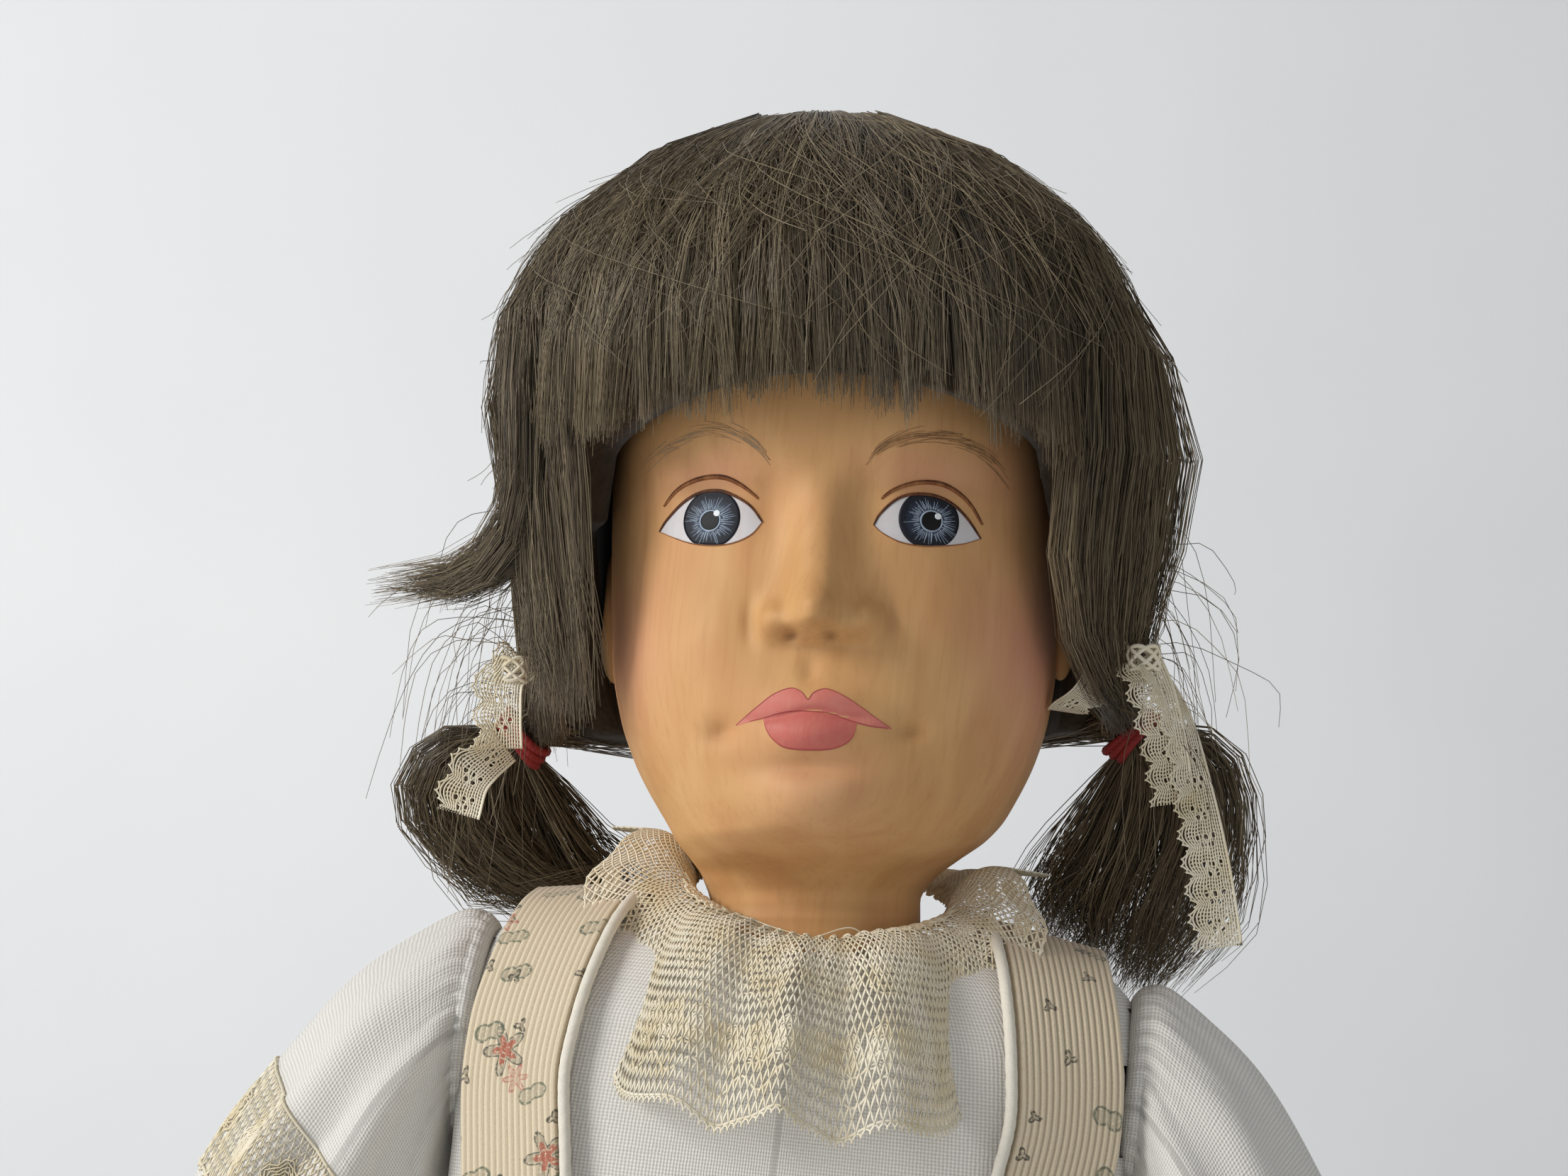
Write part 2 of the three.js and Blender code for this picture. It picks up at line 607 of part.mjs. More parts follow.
for (const [name, side] of SIDES) {
  let lock = hair.intersect(sideRoom(side, 0));
  if (side < 0) lock = lock.add(flick);
  piece(headGroup, `hair_side_${name}`, lock, HAIR);
  const hairRoom = hairSolid(GAP);
  const tail = pigtail(side).subtract(hairRoom);
  piece(headGroup, `pigtail_${name}`, tail, HAIR);
  const band = tieRing(side, BAND_R, BAND_TUBE_R).subtract(hairRoom).subtract(pigtail(side, GAP));
  piece(headGroup, `hair_band_${name}`, band, ELASTIC);
  const ribbon = ribbonTails[side].map(ribbonStrip).reduce((sum, part) => sum.add(part), knot(side));
  const clear = ribbon
    .subtract(hairRoom)
    .subtract(tieRing(side, BAND_R, BAND_TUBE_R + GAP))
    .subtract(pigtail(side, GAP));
  piece(headGroup, `ribbon_${name}`, clear, LACE);
}

// Neck seat: a felt ring under the ball and a slotted saddle under the floor of the cup
function sphereBand(inner, outer, fromAngle, toAngle, count) {
  const arc = (radius, angles) => angles.map((angle) => new THREE.Vector2(
    radius * Math.sin(angle),
    -radius * Math.cos(angle),
  ));
  const angles = steps(fromAngle, toAngle, 3);
  const outline = [...arc(inner, angles), ...arc(outer, angles.slice().reverse())];
  outline.push(outline[0].clone());
  const geometry = new THREE.LatheGeometry(outline, count);
  return fromGeometry(geometry.rotateX(Math.PI / 2));
}
const neckGroup = group(doll, vec(0, 0, HIP_Z + HIP_TO_NECK));
const felt = sphereBand(BALL_R + FELT_EASE, BALL_R + FELT_EASE + FELT_WALL, radians(28), radians(74), 16);
piece(neckGroup, 'neck_felt', felt, FELT);
const saddleGroup = group(neckGroup, vec(0, 0, 0), 'y', -HEAD_TILT);
const SADDLE_WALL = 1.5;
const SADDLE_SPREAD = radians(27);
const slot = box(vec(-BOLT_R - GAP, -5.8, -FAR), vec(BOLT_R + GAP, 5.8, 0));
const saddle = sphereBand(SADDLE_R, SADDLE_R + SADDLE_WALL, radians(1), SADDLE_SPREAD, 14)
  .add(rod(vec(0, 0, -SADDLE_R - SADDLE_WALL + 0.05), vec(0, 0, -SADDLE_R - 0.05), 2, 12))
  .subtract(slot);
piece(saddleGroup, 'neck_saddle', saddle, STEEL);

// Torso, in its own group with the hip pins at height 0
const body = group(doll, vec(0, 0, HIP_Z));
const PELVIS_UNDERSIDE = HIP_HUB_R + 2 * GAP;
const TOP = HIP_TO_NECK + 3;
const TORSO_ROWS = [
  [-CROTCH_DROP, CROTCH_HALF, 14, 15, 2.2],
  [0, 0.86 * PELVIS_HALF, 24, 26, 2.3],
  [PELVIS_UNDERSIDE, PELVIS_HALF, 27, 31, 2.4],
  [0.45 * WAIST, 0.98 * PELVIS_HALF, 27.5, 30, 2.4],
  [0.75 * WAIST, 1.06 * WAIST_HALF, 27, 25, 2.3],
  [WAIST, WAIST_HALF, 26, 22, 2.3],
  [mix(WAIST, HIP_TO_SHOULDER, 0.35), 0.86 * CHEST_HALF, 0.97 * CHEST_DEPTH, 0.8 * CHEST_DEPTH, 2.5],
  [mix(WAIST, HIP_TO_SHOULDER, 0.7), 1.04 * CHEST_HALF, CHEST_DEPTH, 0.87 * CHEST_DEPTH, 2.7],
  [HIP_TO_SHOULDER + 4, 1.06 * CHEST_HALF, 0.92 * CHEST_DEPTH, 0.85 * CHEST_DEPTH, 2.7],
  [TOP - 9, 0.99 * CHEST_HALF, 0.77 * CHEST_DEPTH, 0.77 * CHEST_DEPTH, 2.5],
  [TOP - 3, 0.86 * CHEST_HALF, 0.52 * CHEST_DEPTH, 0.56 * CHEST_DEPTH, 2.2],
  [TOP, 0.64 * CHEST_HALF, 0.2 * CHEST_DEPTH, 0.26 * CHEST_DEPTH, 2],
];
const torsoLift = (offset, height) => offset * smooth(HIP_TO_SHOULDER + 4, TOP, height);
const TORSO_COLUMNS = 20;
function torsoSolid(offset, low, side = CHEST_HALF) {
  const heights = [
    ...steps(low, WAIST, low < 0 ? 4 : 1),
    WAIST + WAISTBAND_WIDTH / 2 + 1,
    ...steps(WAIST + 30, HIP_TO_SHOULDER + 4, 2),
    ...[9, 6, 3, 0].map((drop) => TOP - drop),
  ];
  const rings = heights.map((height) => {
    const section = sectionAt(TORSO_ROWS, height);
    return around(TORSO_COLUMNS).map((angle) => {
      const point = onSection(section, angle, offset);
      return vec(THREE.MathUtils.clamp(point.x, -side, side), point.y, height + torsoLift(offset, height));
    });
  });
  return skin(rings);
}

const pocket = box(vec(-15, -15, HIP_TO_NECK - SADDLE_R - 26), vec(15, FAR, HIP_TO_NECK - SADDLE_R + 2))
  .add(ellipsoid([0, 0, HIP_TO_NECK], [SADDLE_R + 3, SADDLE_R + 3, SADDLE_R + 3], 12, 8)
    .intersect(rod(vec(0, 0, HIP_TO_NECK - 40), vec(0, 0, HIP_TO_NECK), 18.5, 16)))
  .subtract(ellipsoid([0, 0, HIP_TO_NECK], [SADDLE_R - GAP, SADDLE_R - GAP, SADDLE_R - GAP], 14, 8));
const cup = ellipsoid([0, 0, HIP_TO_NECK], [CUP_R, CUP_R, CUP_R], 16, 10);
const neckHollow = rod(vec(0, 0, HIP_TO_NECK - CUP_RIM_DROP), vec(0, 0, TOP + 1), CUP_R + 4.5, 16);
const boltRoom = rod(vec(0, 0, HIP_TO_NECK - SADDLE_R - 4), vec(0, 0, HIP_TO_NECK), 7.8, 16);
const hipCut = box(vec(CROTCH_HALF, -FAR, -FAR), vec(FAR, FAR, PELVIS_UNDERSIDE));
const SHOULDER_PIN_START = CHEST_HALF - 22;
const shoulderPinEnd = CHEST_HALF + GAP + SHOULDER_HUB_WIDTH - PIN_HEAD_LENGTH - 1;
const HIP_PIN_START = 2;
const hipPinEnd = LEG_X + THIGH_HALF - PIN_HEAD_LENGTH - 1;
function pinAcross(start, end, height, radius) {
  return rod(vec(start, 0, height), vec(end, 0, height), radius, 8);
}
let torso = torsoSolid(0, -CROTCH_DROP)
  .subtract(cup)
  .subtract(neckHollow)
  .subtract(boltRoom)
  .subtract(pocket);
for (const side of [1, -1]) {
  torso = torso
    .subtract(onSide(side, hipCut))
    .subtract(onSide(side, pinAcross(SHOULDER_PIN_START - GAP, FAR, HIP_TO_SHOULDER, PIN_R + GAP)))
    .subtract(onSide(side, pinAcross(HIP_PIN_START - GAP, FAR, 0, PIN_R + GAP)));
}
piece(body, 'torso', torso, WOOD);

for (const [name, side] of SIDES) {
  const headed = (start, end, height) => onSide(side, pinAcross(start, end, height, PIN_R)
    .add(pinAcross(end - 0.01, end + PIN_HEAD_LENGTH, height, PIN_HEAD_R)));
  piece(body, `shoulder_pin_${name}`, headed(SHOULDER_PIN_START, shoulderPinEnd, HIP_TO_SHOULDER), STEEL);
  piece(body, `hip_pin_${name}`, headed(HIP_PIN_START, hipPinEnd, 0), STEEL);
}

// Blouse, cut round at the arms, and tucked into the waistband
const NECKLINE_R = NECK_R + 3.2;
const ARMHOLE_R = 19.8;
const BLOUSE_HEM = WAIST - 6;
const armhole = rod(vec(CHEST_HALF - 1, 0, HIP_TO_SHOULDER), vec(FAR, 0, HIP_TO_SHOULDER), ARMHOLE_R, 16);
const blouse = torsoSolid(BLOUSE_EASE + BLOUSE_WALL, BLOUSE_HEM, CHEST_HALF + GAP + BLOUSE_WALL)
  .subtract(torsoSolid(BLOUSE_EASE, BLOUSE_HEM - 3, CHEST_HALF + GAP))
  .subtract(rod(vec(0, 0, TOP - 8), vec(0, 0, FAR * 3), NECKLINE_R + 0.4, 16))
  .subtract(onSide(1, armhole))
  .subtract(onSide(-1, armhole));
piece(body, 'blouse_body', blouse, COTTON);

// Waistband over the blouse's hem
const BAND_EASE = BLOUSE_EASE + BLOUSE_WALL + GAP + 0.2;
const BAND_WALL = 1.6;
const bandLow = WAIST - WAISTBAND_WIDTH / 2;
const bandHigh = WAIST + WAISTBAND_WIDTH / 2;
function torsoTube(offset, wall, low, high) {
  const layer = (grow) => [low, high].map((height) => {
    const section = sectionAt(TORSO_ROWS, height);
    return around(TORSO_COLUMNS).map((angle) => {
      const point = onSection(section, angle, offset + grow);
      return vec(point.x, point.y, height);
    });
  });
  return skin([...layer(wall), ...layer(0).reverse()], true);
}
piece(body, 'waistband', torsoTube(BAND_EASE, BAND_WALL, bandLow, bandHigh), CORDUROY);

// A strap's middle line lies on the blouse: up the chest, over the shoulder and down the back
const STRAP_CHEST_X = 44;
const STRAP_WAIST_X = 34;
const STRAP_SHOULDER_X = 38;
const STRAP_BACK_X = 24;
const STRAP_FOOT = bandLow + 3;
function strapPoint(share, across, lift) {
  const front = share < 0.5;
  const climb = front ? share * 2 : (1 - share) * 2;
  const chestX = mix(STRAP_WAIST_X, STRAP_CHEST_X, Math.min(1.9 * climb, 1));
  const frontX = mix(chestX, STRAP_SHOULDER_X, smooth(0.55, 1, climb));
  const x = (front ? frontX : mix(STRAP_BACK_X, STRAP_SHOULDER_X, climb)) + across;
  const overBand = (BAND_WALL + GAP + 0.2) * smooth(0.2, 0.1, climb);
  const offset = BLOUSE_EASE + BLOUSE_WALL + GAP + STRAP_WALL / 2 + overBand + lift;
  let [low, high] = [HIP_TO_SHOULDER, TOP];
  for (let pass = 0; pass < 30; pass += 1) {
    const middle = (low + high) / 2;
    if (sectionAt(TORSO_ROWS, middle).half + offset > x) low = middle;
    else high = middle;
  }
  const height = mix(STRAP_FOOT, low, Math.sin(climb * Math.PI / 2));
  const section = sectionAt(TORSO_ROWS, height);
  const share2 = Math.min(Math.abs(x) / (section.half + offset), 1);
  const depth = (1 - share2 ** section.fullness) ** (1 / section.fullness);
  const reach = ((front ? section.front : section.back) + offset) * depth;
  return vec(x, front ? -reach : reach, height + torsoLift(offset, height));
}
const BUTTON_R = 4.5;
const strapShares = [...steps(0, 0.42, 7), ...steps(0.46, 0.54, 2), ...steps(0.6, 1, 5)];
function strapFrames() {
  const centres = strapShares.map((share) => strapPoint(share, 0, 0));
  const across = strapShares.map((share, index) => {
    const along = centres[Math.min(index + 1, centres.length - 1)].clone();
    along.sub(centres[Math.max(index - 1, 0)]).normalize();
    const sideways = strapPoint(share, 4, 0).sub(strapPoint(share, -4, 0)).normalize();
    return sideways.addScaledVector(along, -sideways.dot(along)).normalize().multiplyScalar(STRAP_WIDTH);
  });
  const edge = centres.map((centre, index) => centre.clone()
    .addScaledVector(across[index], -0.5 - (PIPING_R + 1.5 * GAP) / STRAP_WIDTH));
  return { centres, across, edge };
}
const { centres: strapCentres, across: strapAcross, edge: strapEdge } = strapFrames();
const strap = strip(strapCentres, strapAcross, STRAP_WALL);
const strapRoom = strip(
  strapCentres,
  strapAcross.map((across) => across.clone().multiplyScalar(1 + 4 * (PIPING_R + GAP) / STRAP_WIDTH)),
  STRAP_WALL + 2 * GAP + 1.8,
);
const piping = bar(strapEdge, [PIPING_R, PIPING_R], { sides: 4, count: 16 });

// The button sits on the strap's first straight, over the waistband
const strapFoot = strapCentres[0].clone().lerp(strapCentres[1], 0.5);
const strapFace = strapCentres[1].clone().sub(strapCentres[0]).cross(strapAcross[0]).normalize();
if (strapFace.y > 0) strapFace.negate();
const button = rod(
  strapFoot.clone().addScaledVector(strapFace, STRAP_WALL / 2 + GAP),
  strapFoot.clone().addScaledVector(strapFace, STRAP_WALL / 2 + GAP + 2),
  BUTTON_R,
  16,
);
const blouseRoom = (grow) => torsoSolid(
  BLOUSE_EASE + BLOUSE_WALL + grow,
  BLOUSE_HEM - 1,
  CHEST_HALF + GAP + BLOUSE_WALL + GAP,
);
const bandRoom = torsoTube(BAND_EASE - GAP, BAND_WALL + 2 * GAP, bandLow - GAP, bandHigh + GAP);
const overClothes = (solid) => solid.subtract(blouseRoom(GAP)).subtract(bandRoom);
for (const [name, side] of SIDES) {
  piece(body, `strap_${name}`, onSide(side, overClothes(strap)), CORDUROY);
  piece(body, `strap_piping_${name}`, onSide(side, overClothes(piping)), PIPING);
  piece(body, `strap_button_${name}`, onSide(side, button), BUTTON_SHELL);
}

// Gathered lace collar: from a band round the neck it falls over the chest and stands up behind
const COLLAR_FOLDS = 11;
function collarPoint(turn, share) {
  const front = (1 + Math.cos(turn)) / 2;
  const fall = smooth(0.5, 0.95, front);
  const bandHeight = HIP_TO_NECK + 0.5 + 13.5 * (1 - front) ** 0.6;
  const reach = mix(33, COLLAR_REACH, smooth(0.1, 0.7, front));
  const edgeHeight = HIP_TO_NECK + mix(17, -27, fall);
  const ruffle = 2.6 * share * Math.cos(COLLAR_FOLDS * turn + 1.2 * Math.sin(3 * turn));
  const radius = mix(NECKLINE_R + 0.8, reach, share ** 0.8) + ruffle * (0.35 + 0.65 * (1 - fall));
  const hump = 4 * Math.sin(Math.PI * share) * front;
  const height = mix(bandHeight, edgeHeight, share ** mix(1, 1.6, fall)) + hump + ruffle * 0.6 * fall;
  return vec(radius * Math.sin(turn) * mix(1, 0.9, share), -radius * Math.cos(turn), height);
}
const collar = clothTube(collarPoint, 33, 3, COLLAR_WALL)
  .subtract(blouseRoom(2 * GAP))
  .subtract(strapRoom)
  .subtract(mirrored(strapRoom));
piece(body, 'collar', collar, LACE);

// Limb rows run down from the joint: [distance, half width, front, back, fullness]
const downwards = (rows) => rows.map(([distance, ...rest]) => [-distance, ...rest]).reverse();
const limb = (rows, from, to, rings, count = 12, offset = 0) => loft(
  downwards(rows),
  steps(-to, -from, rings),
  count,
  { offset },
);

// The corner that a bent hinge needs free, on one side of the pivot: a wedge beyond the hub
function bendRoom(bend, hubR, direction, down) {
  const clear = Math.PI / 2 - bend / 2;
  const wedge = new THREE.BoxGeometry(FAR, 60, 60).translate(0, direction * 30, 30);
  wedge.rotateX(-direction * clear);
  const upper = fromGeometry(wedge);
  const room = upper.subtract(rod(vec(-FAR, 0, 0), vec(FAR, 0, 0), hubR, 14));
  return down ? moved(room, new THREE.Matrix4().makeScale(1, 1, -1)) : room;
}
function hub(radius, halfWidth) {
  return rod(vec(-halfWidth, 0, 0), vec(halfWidth, 0, 0), radius, radius < 4 ? 8 : 14);
}

// Arms
const UPPER_ARM_ROWS = [
  [0, 9, 11, 11, 2],
  [20, 9.6, 11.2, 11.2, 2],
  [50, 9.6, 10, 10, 2],
  [UPPER_ARM, ELBOW_R - 0.2, ELBOW_R, ELBOW_R, 2],
];
const FOREARM_ROWS = [
  [0, ELBOW_R - 0.2, ELBOW_R, ELBOW_R, 2],
  [22, 9, 9.4, 9.4, 2],
  [FOREARM - 6, 5.2, 6.2, 6.2, 2],
  [FOREARM, 5, 6.4, 6.4, 2.1],
  [FOREARM + 12, 5, 9.2, 8.6, 2.3],
  [FOREARM + 24, 4.4, 9.4, 8.8, 2.5],
  [FOREARM + 28, 3.6, 8.8, 8.4, 2.5],
];
const FINGERS = [[-6.8, 17, 2.3], [-2.3, 20, 2.4], [2.3, 19, 2.4], [6.4, 15, 2.1]];

function elbowFork() {
  const atElbow = new THREE.Matrix4().makeTranslation(0, 0, -UPPER_ARM);
  const cheeks = moved(hub(ELBOW_R, ELBOW_R - 0.4), atElbow);
  const hubStart = CHEST_HALF + GAP - SHOULDER_X;
  const shoulderHub = moved(
    rod(vec(hubStart, 0, 0), vec(1, 0, 0), SHOULDER_HUB_R, 16)
      .add(ellipsoid([1, 0, 0], [SHOULDER_HUB_WIDTH / 2, SHOULDER_HUB_R, SHOULDER_HUB_R], 12, 6)),
    new THREE.Matrix4().makeRotationY(ABDUCTION),
  );
  const insideArm = moved(
    box(vec(-FAR, -FAR, -FAR), vec(hubStart, FAR, FAR)),
    new THREE.Matrix4().makeRotationY(ABDUCTION),
  );
  const shoulderBore = moved(
    rod(vec(-FAR, 0, 0), vec(shoulderPinEnd - SHOULDER_X + 0.5, 0, 0), PIN_R + GAP, 8)
      .add(rod(vec(shoulderPinEnd - SHOULDER_X - GAP, 0, 0), vec(FAR, 0, 0), PIN_HEAD_R + GAP, 10)),
    new THREE.Matrix4().makeRotationY(ABDUCTION),
  );
  const slotHalf = ELBOW_TONGUE / 2 + GAP;
  const forkSlot = box(vec(-slotHalf, -FAR, -UPPER_ARM - FAR), vec(slotHalf, FAR, -UPPER_ARM))
    .add(box(vec(-slotHalf, -FAR, -UPPER_ARM - 1), vec(slotHalf, -0.25 * ELBOW_R, -UPPER_ARM + 1.3 * ELBOW_R)))
    .add(moved(hub(ELBOW_R + GAP, slotHalf), atElbow));
  return limb(UPPER_ARM_ROWS, 0, UPPER_ARM, 4)
    .subtract(moved(bendRoom(ELBOW_BEND, ELBOW_R - 0.2, -1, false), atElbow))
    .add(cheeks)
    .add(shoulderHub)
    .subtract(insideArm)
    .subtract(shoulderBore)
    .subtract(forkSlot)
    .subtract(moved(hub(PIN_R - 0.5 + GAP, FAR), atElbow));
}

// Forearm and hand in one piece: tongue, tapered arm, palm, four fingers and a thumb
function forearmSolid() {
  const shoulders = hub(ELBOW_R + 2 * GAP, FAR);
  const tongue = hub(ELBOW_R - GAP, ELBOW_TONGUE / 2).add(
    box(vec(-ELBOW_TONGUE / 2, -ELBOW_R + 3, -ELBOW_R - 4), vec(ELBOW_TONGUE / 2, ELBOW_R - 3, 0)),
  );
  const palmEnd = -FOREARM - 26;
  let solid = limb(FOREARM_ROWS, 0, FOREARM + 28, 6)
    .subtract(bendRoom(ELBOW_BEND, ELBOW_R - 0.2, -1, true))
    .subtract(shoulders)
    .add(tongue);
  for (const [y, length, radius] of FINGERS) {
    const finger = bar(
      [vec(0, y * 0.9, palmEnd + 6), vec(-0.4, y, palmEnd - length * 0.45), vec(-3.2, y, palmEnd - length)],
      [radius + 0.3, radius + 0.2, radius, radius * 0.9, radius * 0.45],
      { sides: 6, count: 2 },
    );
    solid = solid.add(finger);
  }
  const thumb = bar(
    [vec(0, -6, -FOREARM - 6), vec(-2, -11, -FOREARM - 15), vec(-3.6, -12.2, -FOREARM - 25)],
    [4, 3.2, 2.8, 1.4],
    { sides: 6, count: 2 },
  );
  return solid.add(thumb).subtract(hub(PIN_R - 0.5 + GAP, FAR));
}

// Sleeve: each ring hangs between an upper line, over the shoulder and down the outside of the arm,
// and a lower line, from the armpit down its inside. Both ends are gathered, with folds between them.
const SLEEVE_LENGTH = 79;
const SLEEVE_FOLDS = 8;
const ARMHOLE_X = CHEST_HALF + 3 * GAP - SHOULDER_X;
const alongArm = (distance, outwards) => vec(
  distance * Math.sin(ABDUCTION) + outwards * Math.cos(ABDUCTION),
  0,
  -distance * Math.cos(ABDUCTION) + outwards * Math.sin(ABDUCTION),
);
const SLEEVE_START_R = ARMHOLE_R - 2.4;
const SLEEVE_END_R = 13.5;
const sleeveTopLine = new THREE.CatmullRomCurve3([
  vec(ARMHOLE_X, 0, SLEEVE_START_R),
  vec(1, 0, SLEEVE_START_R - 0.6),
  vec(14, 0, 6.5),
  vec(25, 0, -9),
  vec(35, 0, -26),
  vec(42, 0, -46),
  alongArm(SLEEVE_LENGTH, SLEEVE_END_R),
]);
const sleeveLowLine = new THREE.CatmullRomCurve3([
  vec(ARMHOLE_X, 0, -SLEEVE_START_R),
  vec(ARMHOLE_X + 1.8, 0, -SLEEVE_START_R - 3.6),
  vec(ARMHOLE_X + 2.2, 0, -SLEEVE_START_R - 11.6),
  vec(-2, 0, -39),
  vec(4, 0, -50.5),
  vec(13, 0, -64),
  alongArm(SLEEVE_LENGTH, -SLEEVE_END_R),
]);
function sleevePoint(turn, share, grow) {
  const top = sleeveTopLine.getPoint(share);
  const low = sleeveLowLine.getPoint(share);
  const centre = top.clone().add(low).multiplyScalar(0.5);
  const across = top.clone().sub(low).multiplyScalar(0.5);
  const ease = Math.sin(Math.PI * share);
  const fold = 1.4 * ease * Math.cos(SLEEVE_FOLDS * turn + Math.sin(turn) + 2 * share);
  const scale = (across.length() + fold + grow) / across.length();
  const puffed = mix(SLEEVE_START_R, SLEEVE_PUFF, smooth(0, 0.4, share));
  const depth = mix(puffed, SLEEVE_END_R, smooth(0.6, 1, share));
  return centre
    .addScaledVector(across, scale * Math.sin(turn))
    .add(vec(0, -(depth + fold + grow) * Math.cos(turn), 0))
    .applyAxisAngle(vec(0, 1, 0), ABDUCTION);
}
const sleeve = clothTube((turn, share) => sleevePoint(turn, share, 0), 24, 6, SLEEVE_WALL);
const LACE_WALL = 0.8;
const laceGrow = SLEEVE_WALL / 2 + GAP + LACE_WALL / 2 + 0.2;
const sleeveLace = clothTube(
  (turn, share) => sleevePoint(turn, mix(1 / 2, 2 / 3, share), laceGrow),
  24,
  1,
  LACE_WALL,
);
// Lower sleeve: full at the elbow and gathered on the wrist
const lowerSleeve = clothTube((turn, share) => {
  const distance = mix(-3, FOREARM - 4, share);
  const fullness = Math.sin(Math.PI * Math.min(share + 0.35, 1));
  const fold = 0.8 * Math.sin(Math.PI * share) * Math.cos(SLEEVE_FOLDS * turn + 2 * share);
  const section = sectionAt(downwards(FOREARM_ROWS), -distance);
  const ease = mix(2 * GAP, GAP, smooth(0.8, 1, share)) + 4.4 * fullness + fold;
  const point = onSection(section, turn, SLEEVE_WALL / 2 + ease);
  return vec(point.x, point.y, -distance);
}, 18, 4, SLEEVE_WALL);

const elbowPin = hub(PIN_R - 0.5, ELBOW_R - 0.6);
for (const [name, side] of SIDES) {
  const shoulder = vec(side * SHOULDER_X, 0, HIP_Z + HIP_TO_SHOULDER);
  const arm = group(doll, shoulder, 'y', -side * ABDUCTION);
  piece(arm, `upper_arm_${name}`, onSide(side, elbowFork()), WOOD);
  piece(arm, `sleeve_${name}`, onSide(side, sleeve), COTTON);
  piece(arm, `sleeve_lace_${name}`, onSide(side, sleeveLace), LACE);
  const elbow = group(arm, vec(0, 0, -UPPER_ARM));
  piece(elbow, `elbow_pin_${name}`, elbowPin, STEEL);
  const lowerArm = group(elbow, vec(0, 0, 0), 'x', -ELBOW_REST);
  piece(lowerArm, `forearm_${name}`, onSide(side, forearmSolid()), WOOD);
  piece(lowerArm, `lower_sleeve_${name}`, onSide(side, lowerSleeve), COTTON);
}

// Legs
const THIGH_ROWS = [
  [0, THIGH_HALF, HIP_HUB_R - 0.4, HIP_HUB_R - 0.4, 2.2],
  [30, THIGH_HALF, HIP_HUB_R - 0.6, HIP_HUB_R - 0.4, 2.1],
  [80, 12.6, 13.6, 13.6, 2],
  [THIGH_LENGTH, KNEE_R - 0.6, KNEE_R, KNEE_R, 2],
];
const SHIN_ROWS = [
  [0, KNEE_R - 0.6, KNEE_R, KNEE_R, 2],
  [16, 11, 11.6, 12, 2],
  [38, 11.4, 11.2, 14, 2],
  [75, 9, 9, 10.4, 2],
  [SHIN_LENGTH - 10, 7.6, 7.8, 8.4, 2],
  [SHIN_LENGTH, 8, 8.4, 9, 2],
  [SHIN_LENGTH + 14, 8.4, 9.5, 10, 2],
];
function thighSolid() {
  const atKnee = new THREE.Matrix4().makeTranslation(0, 0, -THIGH_LENGTH);
  const hipBore = rod(vec(-FAR, 0, 0), vec(hipPinEnd - LEG_X + 0.5, 0, 0), PIN_R + GAP, 8)
    .add(rod(vec(hipPinEnd - LEG_X - GAP, 0, 0), vec(FAR, 0, 0), PIN_HEAD_R + GAP, 10));
  const slotHalf = KNEE_TONGUE / 2 + GAP;
  const forkSlot = box(vec(-slotHalf, -FAR, -THIGH_LENGTH - FAR), vec(slotHalf, FAR, -THIGH_LENGTH))
    .add(box(vec(-slotHalf, 0.5 * KNEE_R, -THIGH_LENGTH - 1), vec(slotHalf, FAR, -THIGH_LENGTH + KNEE_R)))
    .add(moved(hub(KNEE_R + GAP, slotHalf), atKnee));
  return limb(THIGH_ROWS, 0, THIGH_LENGTH, 3, 14)
    .add(hub(HIP_HUB_R, THIGH_HALF))
    .subtract(moved(bendRoom(KNEE_BEND, KNEE_R - 0.2, 1, false), atKnee))
    .add(moved(hub(KNEE_R, KNEE_R - 0.8), atKnee))
    .subtract(hipBore)
    .subtract(forkSlot)
    .subtract(moved(hub(PIN_R + GAP, FAR), atKnee));
}

// The foot: heel to toe in sections square to its length
const HEEL_Y = 21;
const TOE_Y = HEEL_Y - FOOT_LENGTH;
function footSolid(grow, endGrow, low) {
  const shares = [0, 0.06, 0.2, 0.38, 0.58, 0.78, 0.92, 1];
  const halves = [0.45, 0.66, 0.78, 0.8, 0.92, 1, 0.82, 0.5];
  const heights = [10, 14, 19.5, 24, 17, 13.5, 11, 7];
  const rings = shares.map((share, index) => {
    const y = mix(HEEL_Y + endGrow, TOE_Y - endGrow, share);
    const half = halves[index] * FOOT_HALF + grow;
    const tall = heights[index] + grow;
    return around(12).map((angle) => {
      const x = half * Math.sign(Math.cos(angle)) * Math.abs(Math.cos(angle)) ** 0.8;
      const lift = (1 + Math.sin(angle)) / 2;
      return vec(x, y, low + tall * lift ** 0.75);
    });
  });
  return skin(rings);
}
const footLow = -KNEE_Z + SOLE_THICKNESS + GAP + SHOE_WALL + GAP;
const TOPLINE = -KNEE_Z + SOLE_THICKNESS + 21;
function shinSolid() {
  const tongue = hub(KNEE_R - GAP, KNEE_TONGUE / 2).add(
    box(vec(-KNEE_TONGUE / 2, -KNEE_R + 4, -KNEE_R - 5), vec(KNEE_TONGUE / 2, KNEE_R - 4, 0)),
  );
  return limb(SHIN_ROWS, 0, SHIN_LENGTH + 14, 5, 12)
    .subtract(bendRoom(KNEE_BEND, KNEE_R - 0.2, 1, true))
    .subtract(hub(KNEE_R + 2 * GAP, FAR))
    .add(tongue)
    .add(footSolid(0, 0, footLow))
    .subtract(hub(PIN_R + GAP, FAR));
}

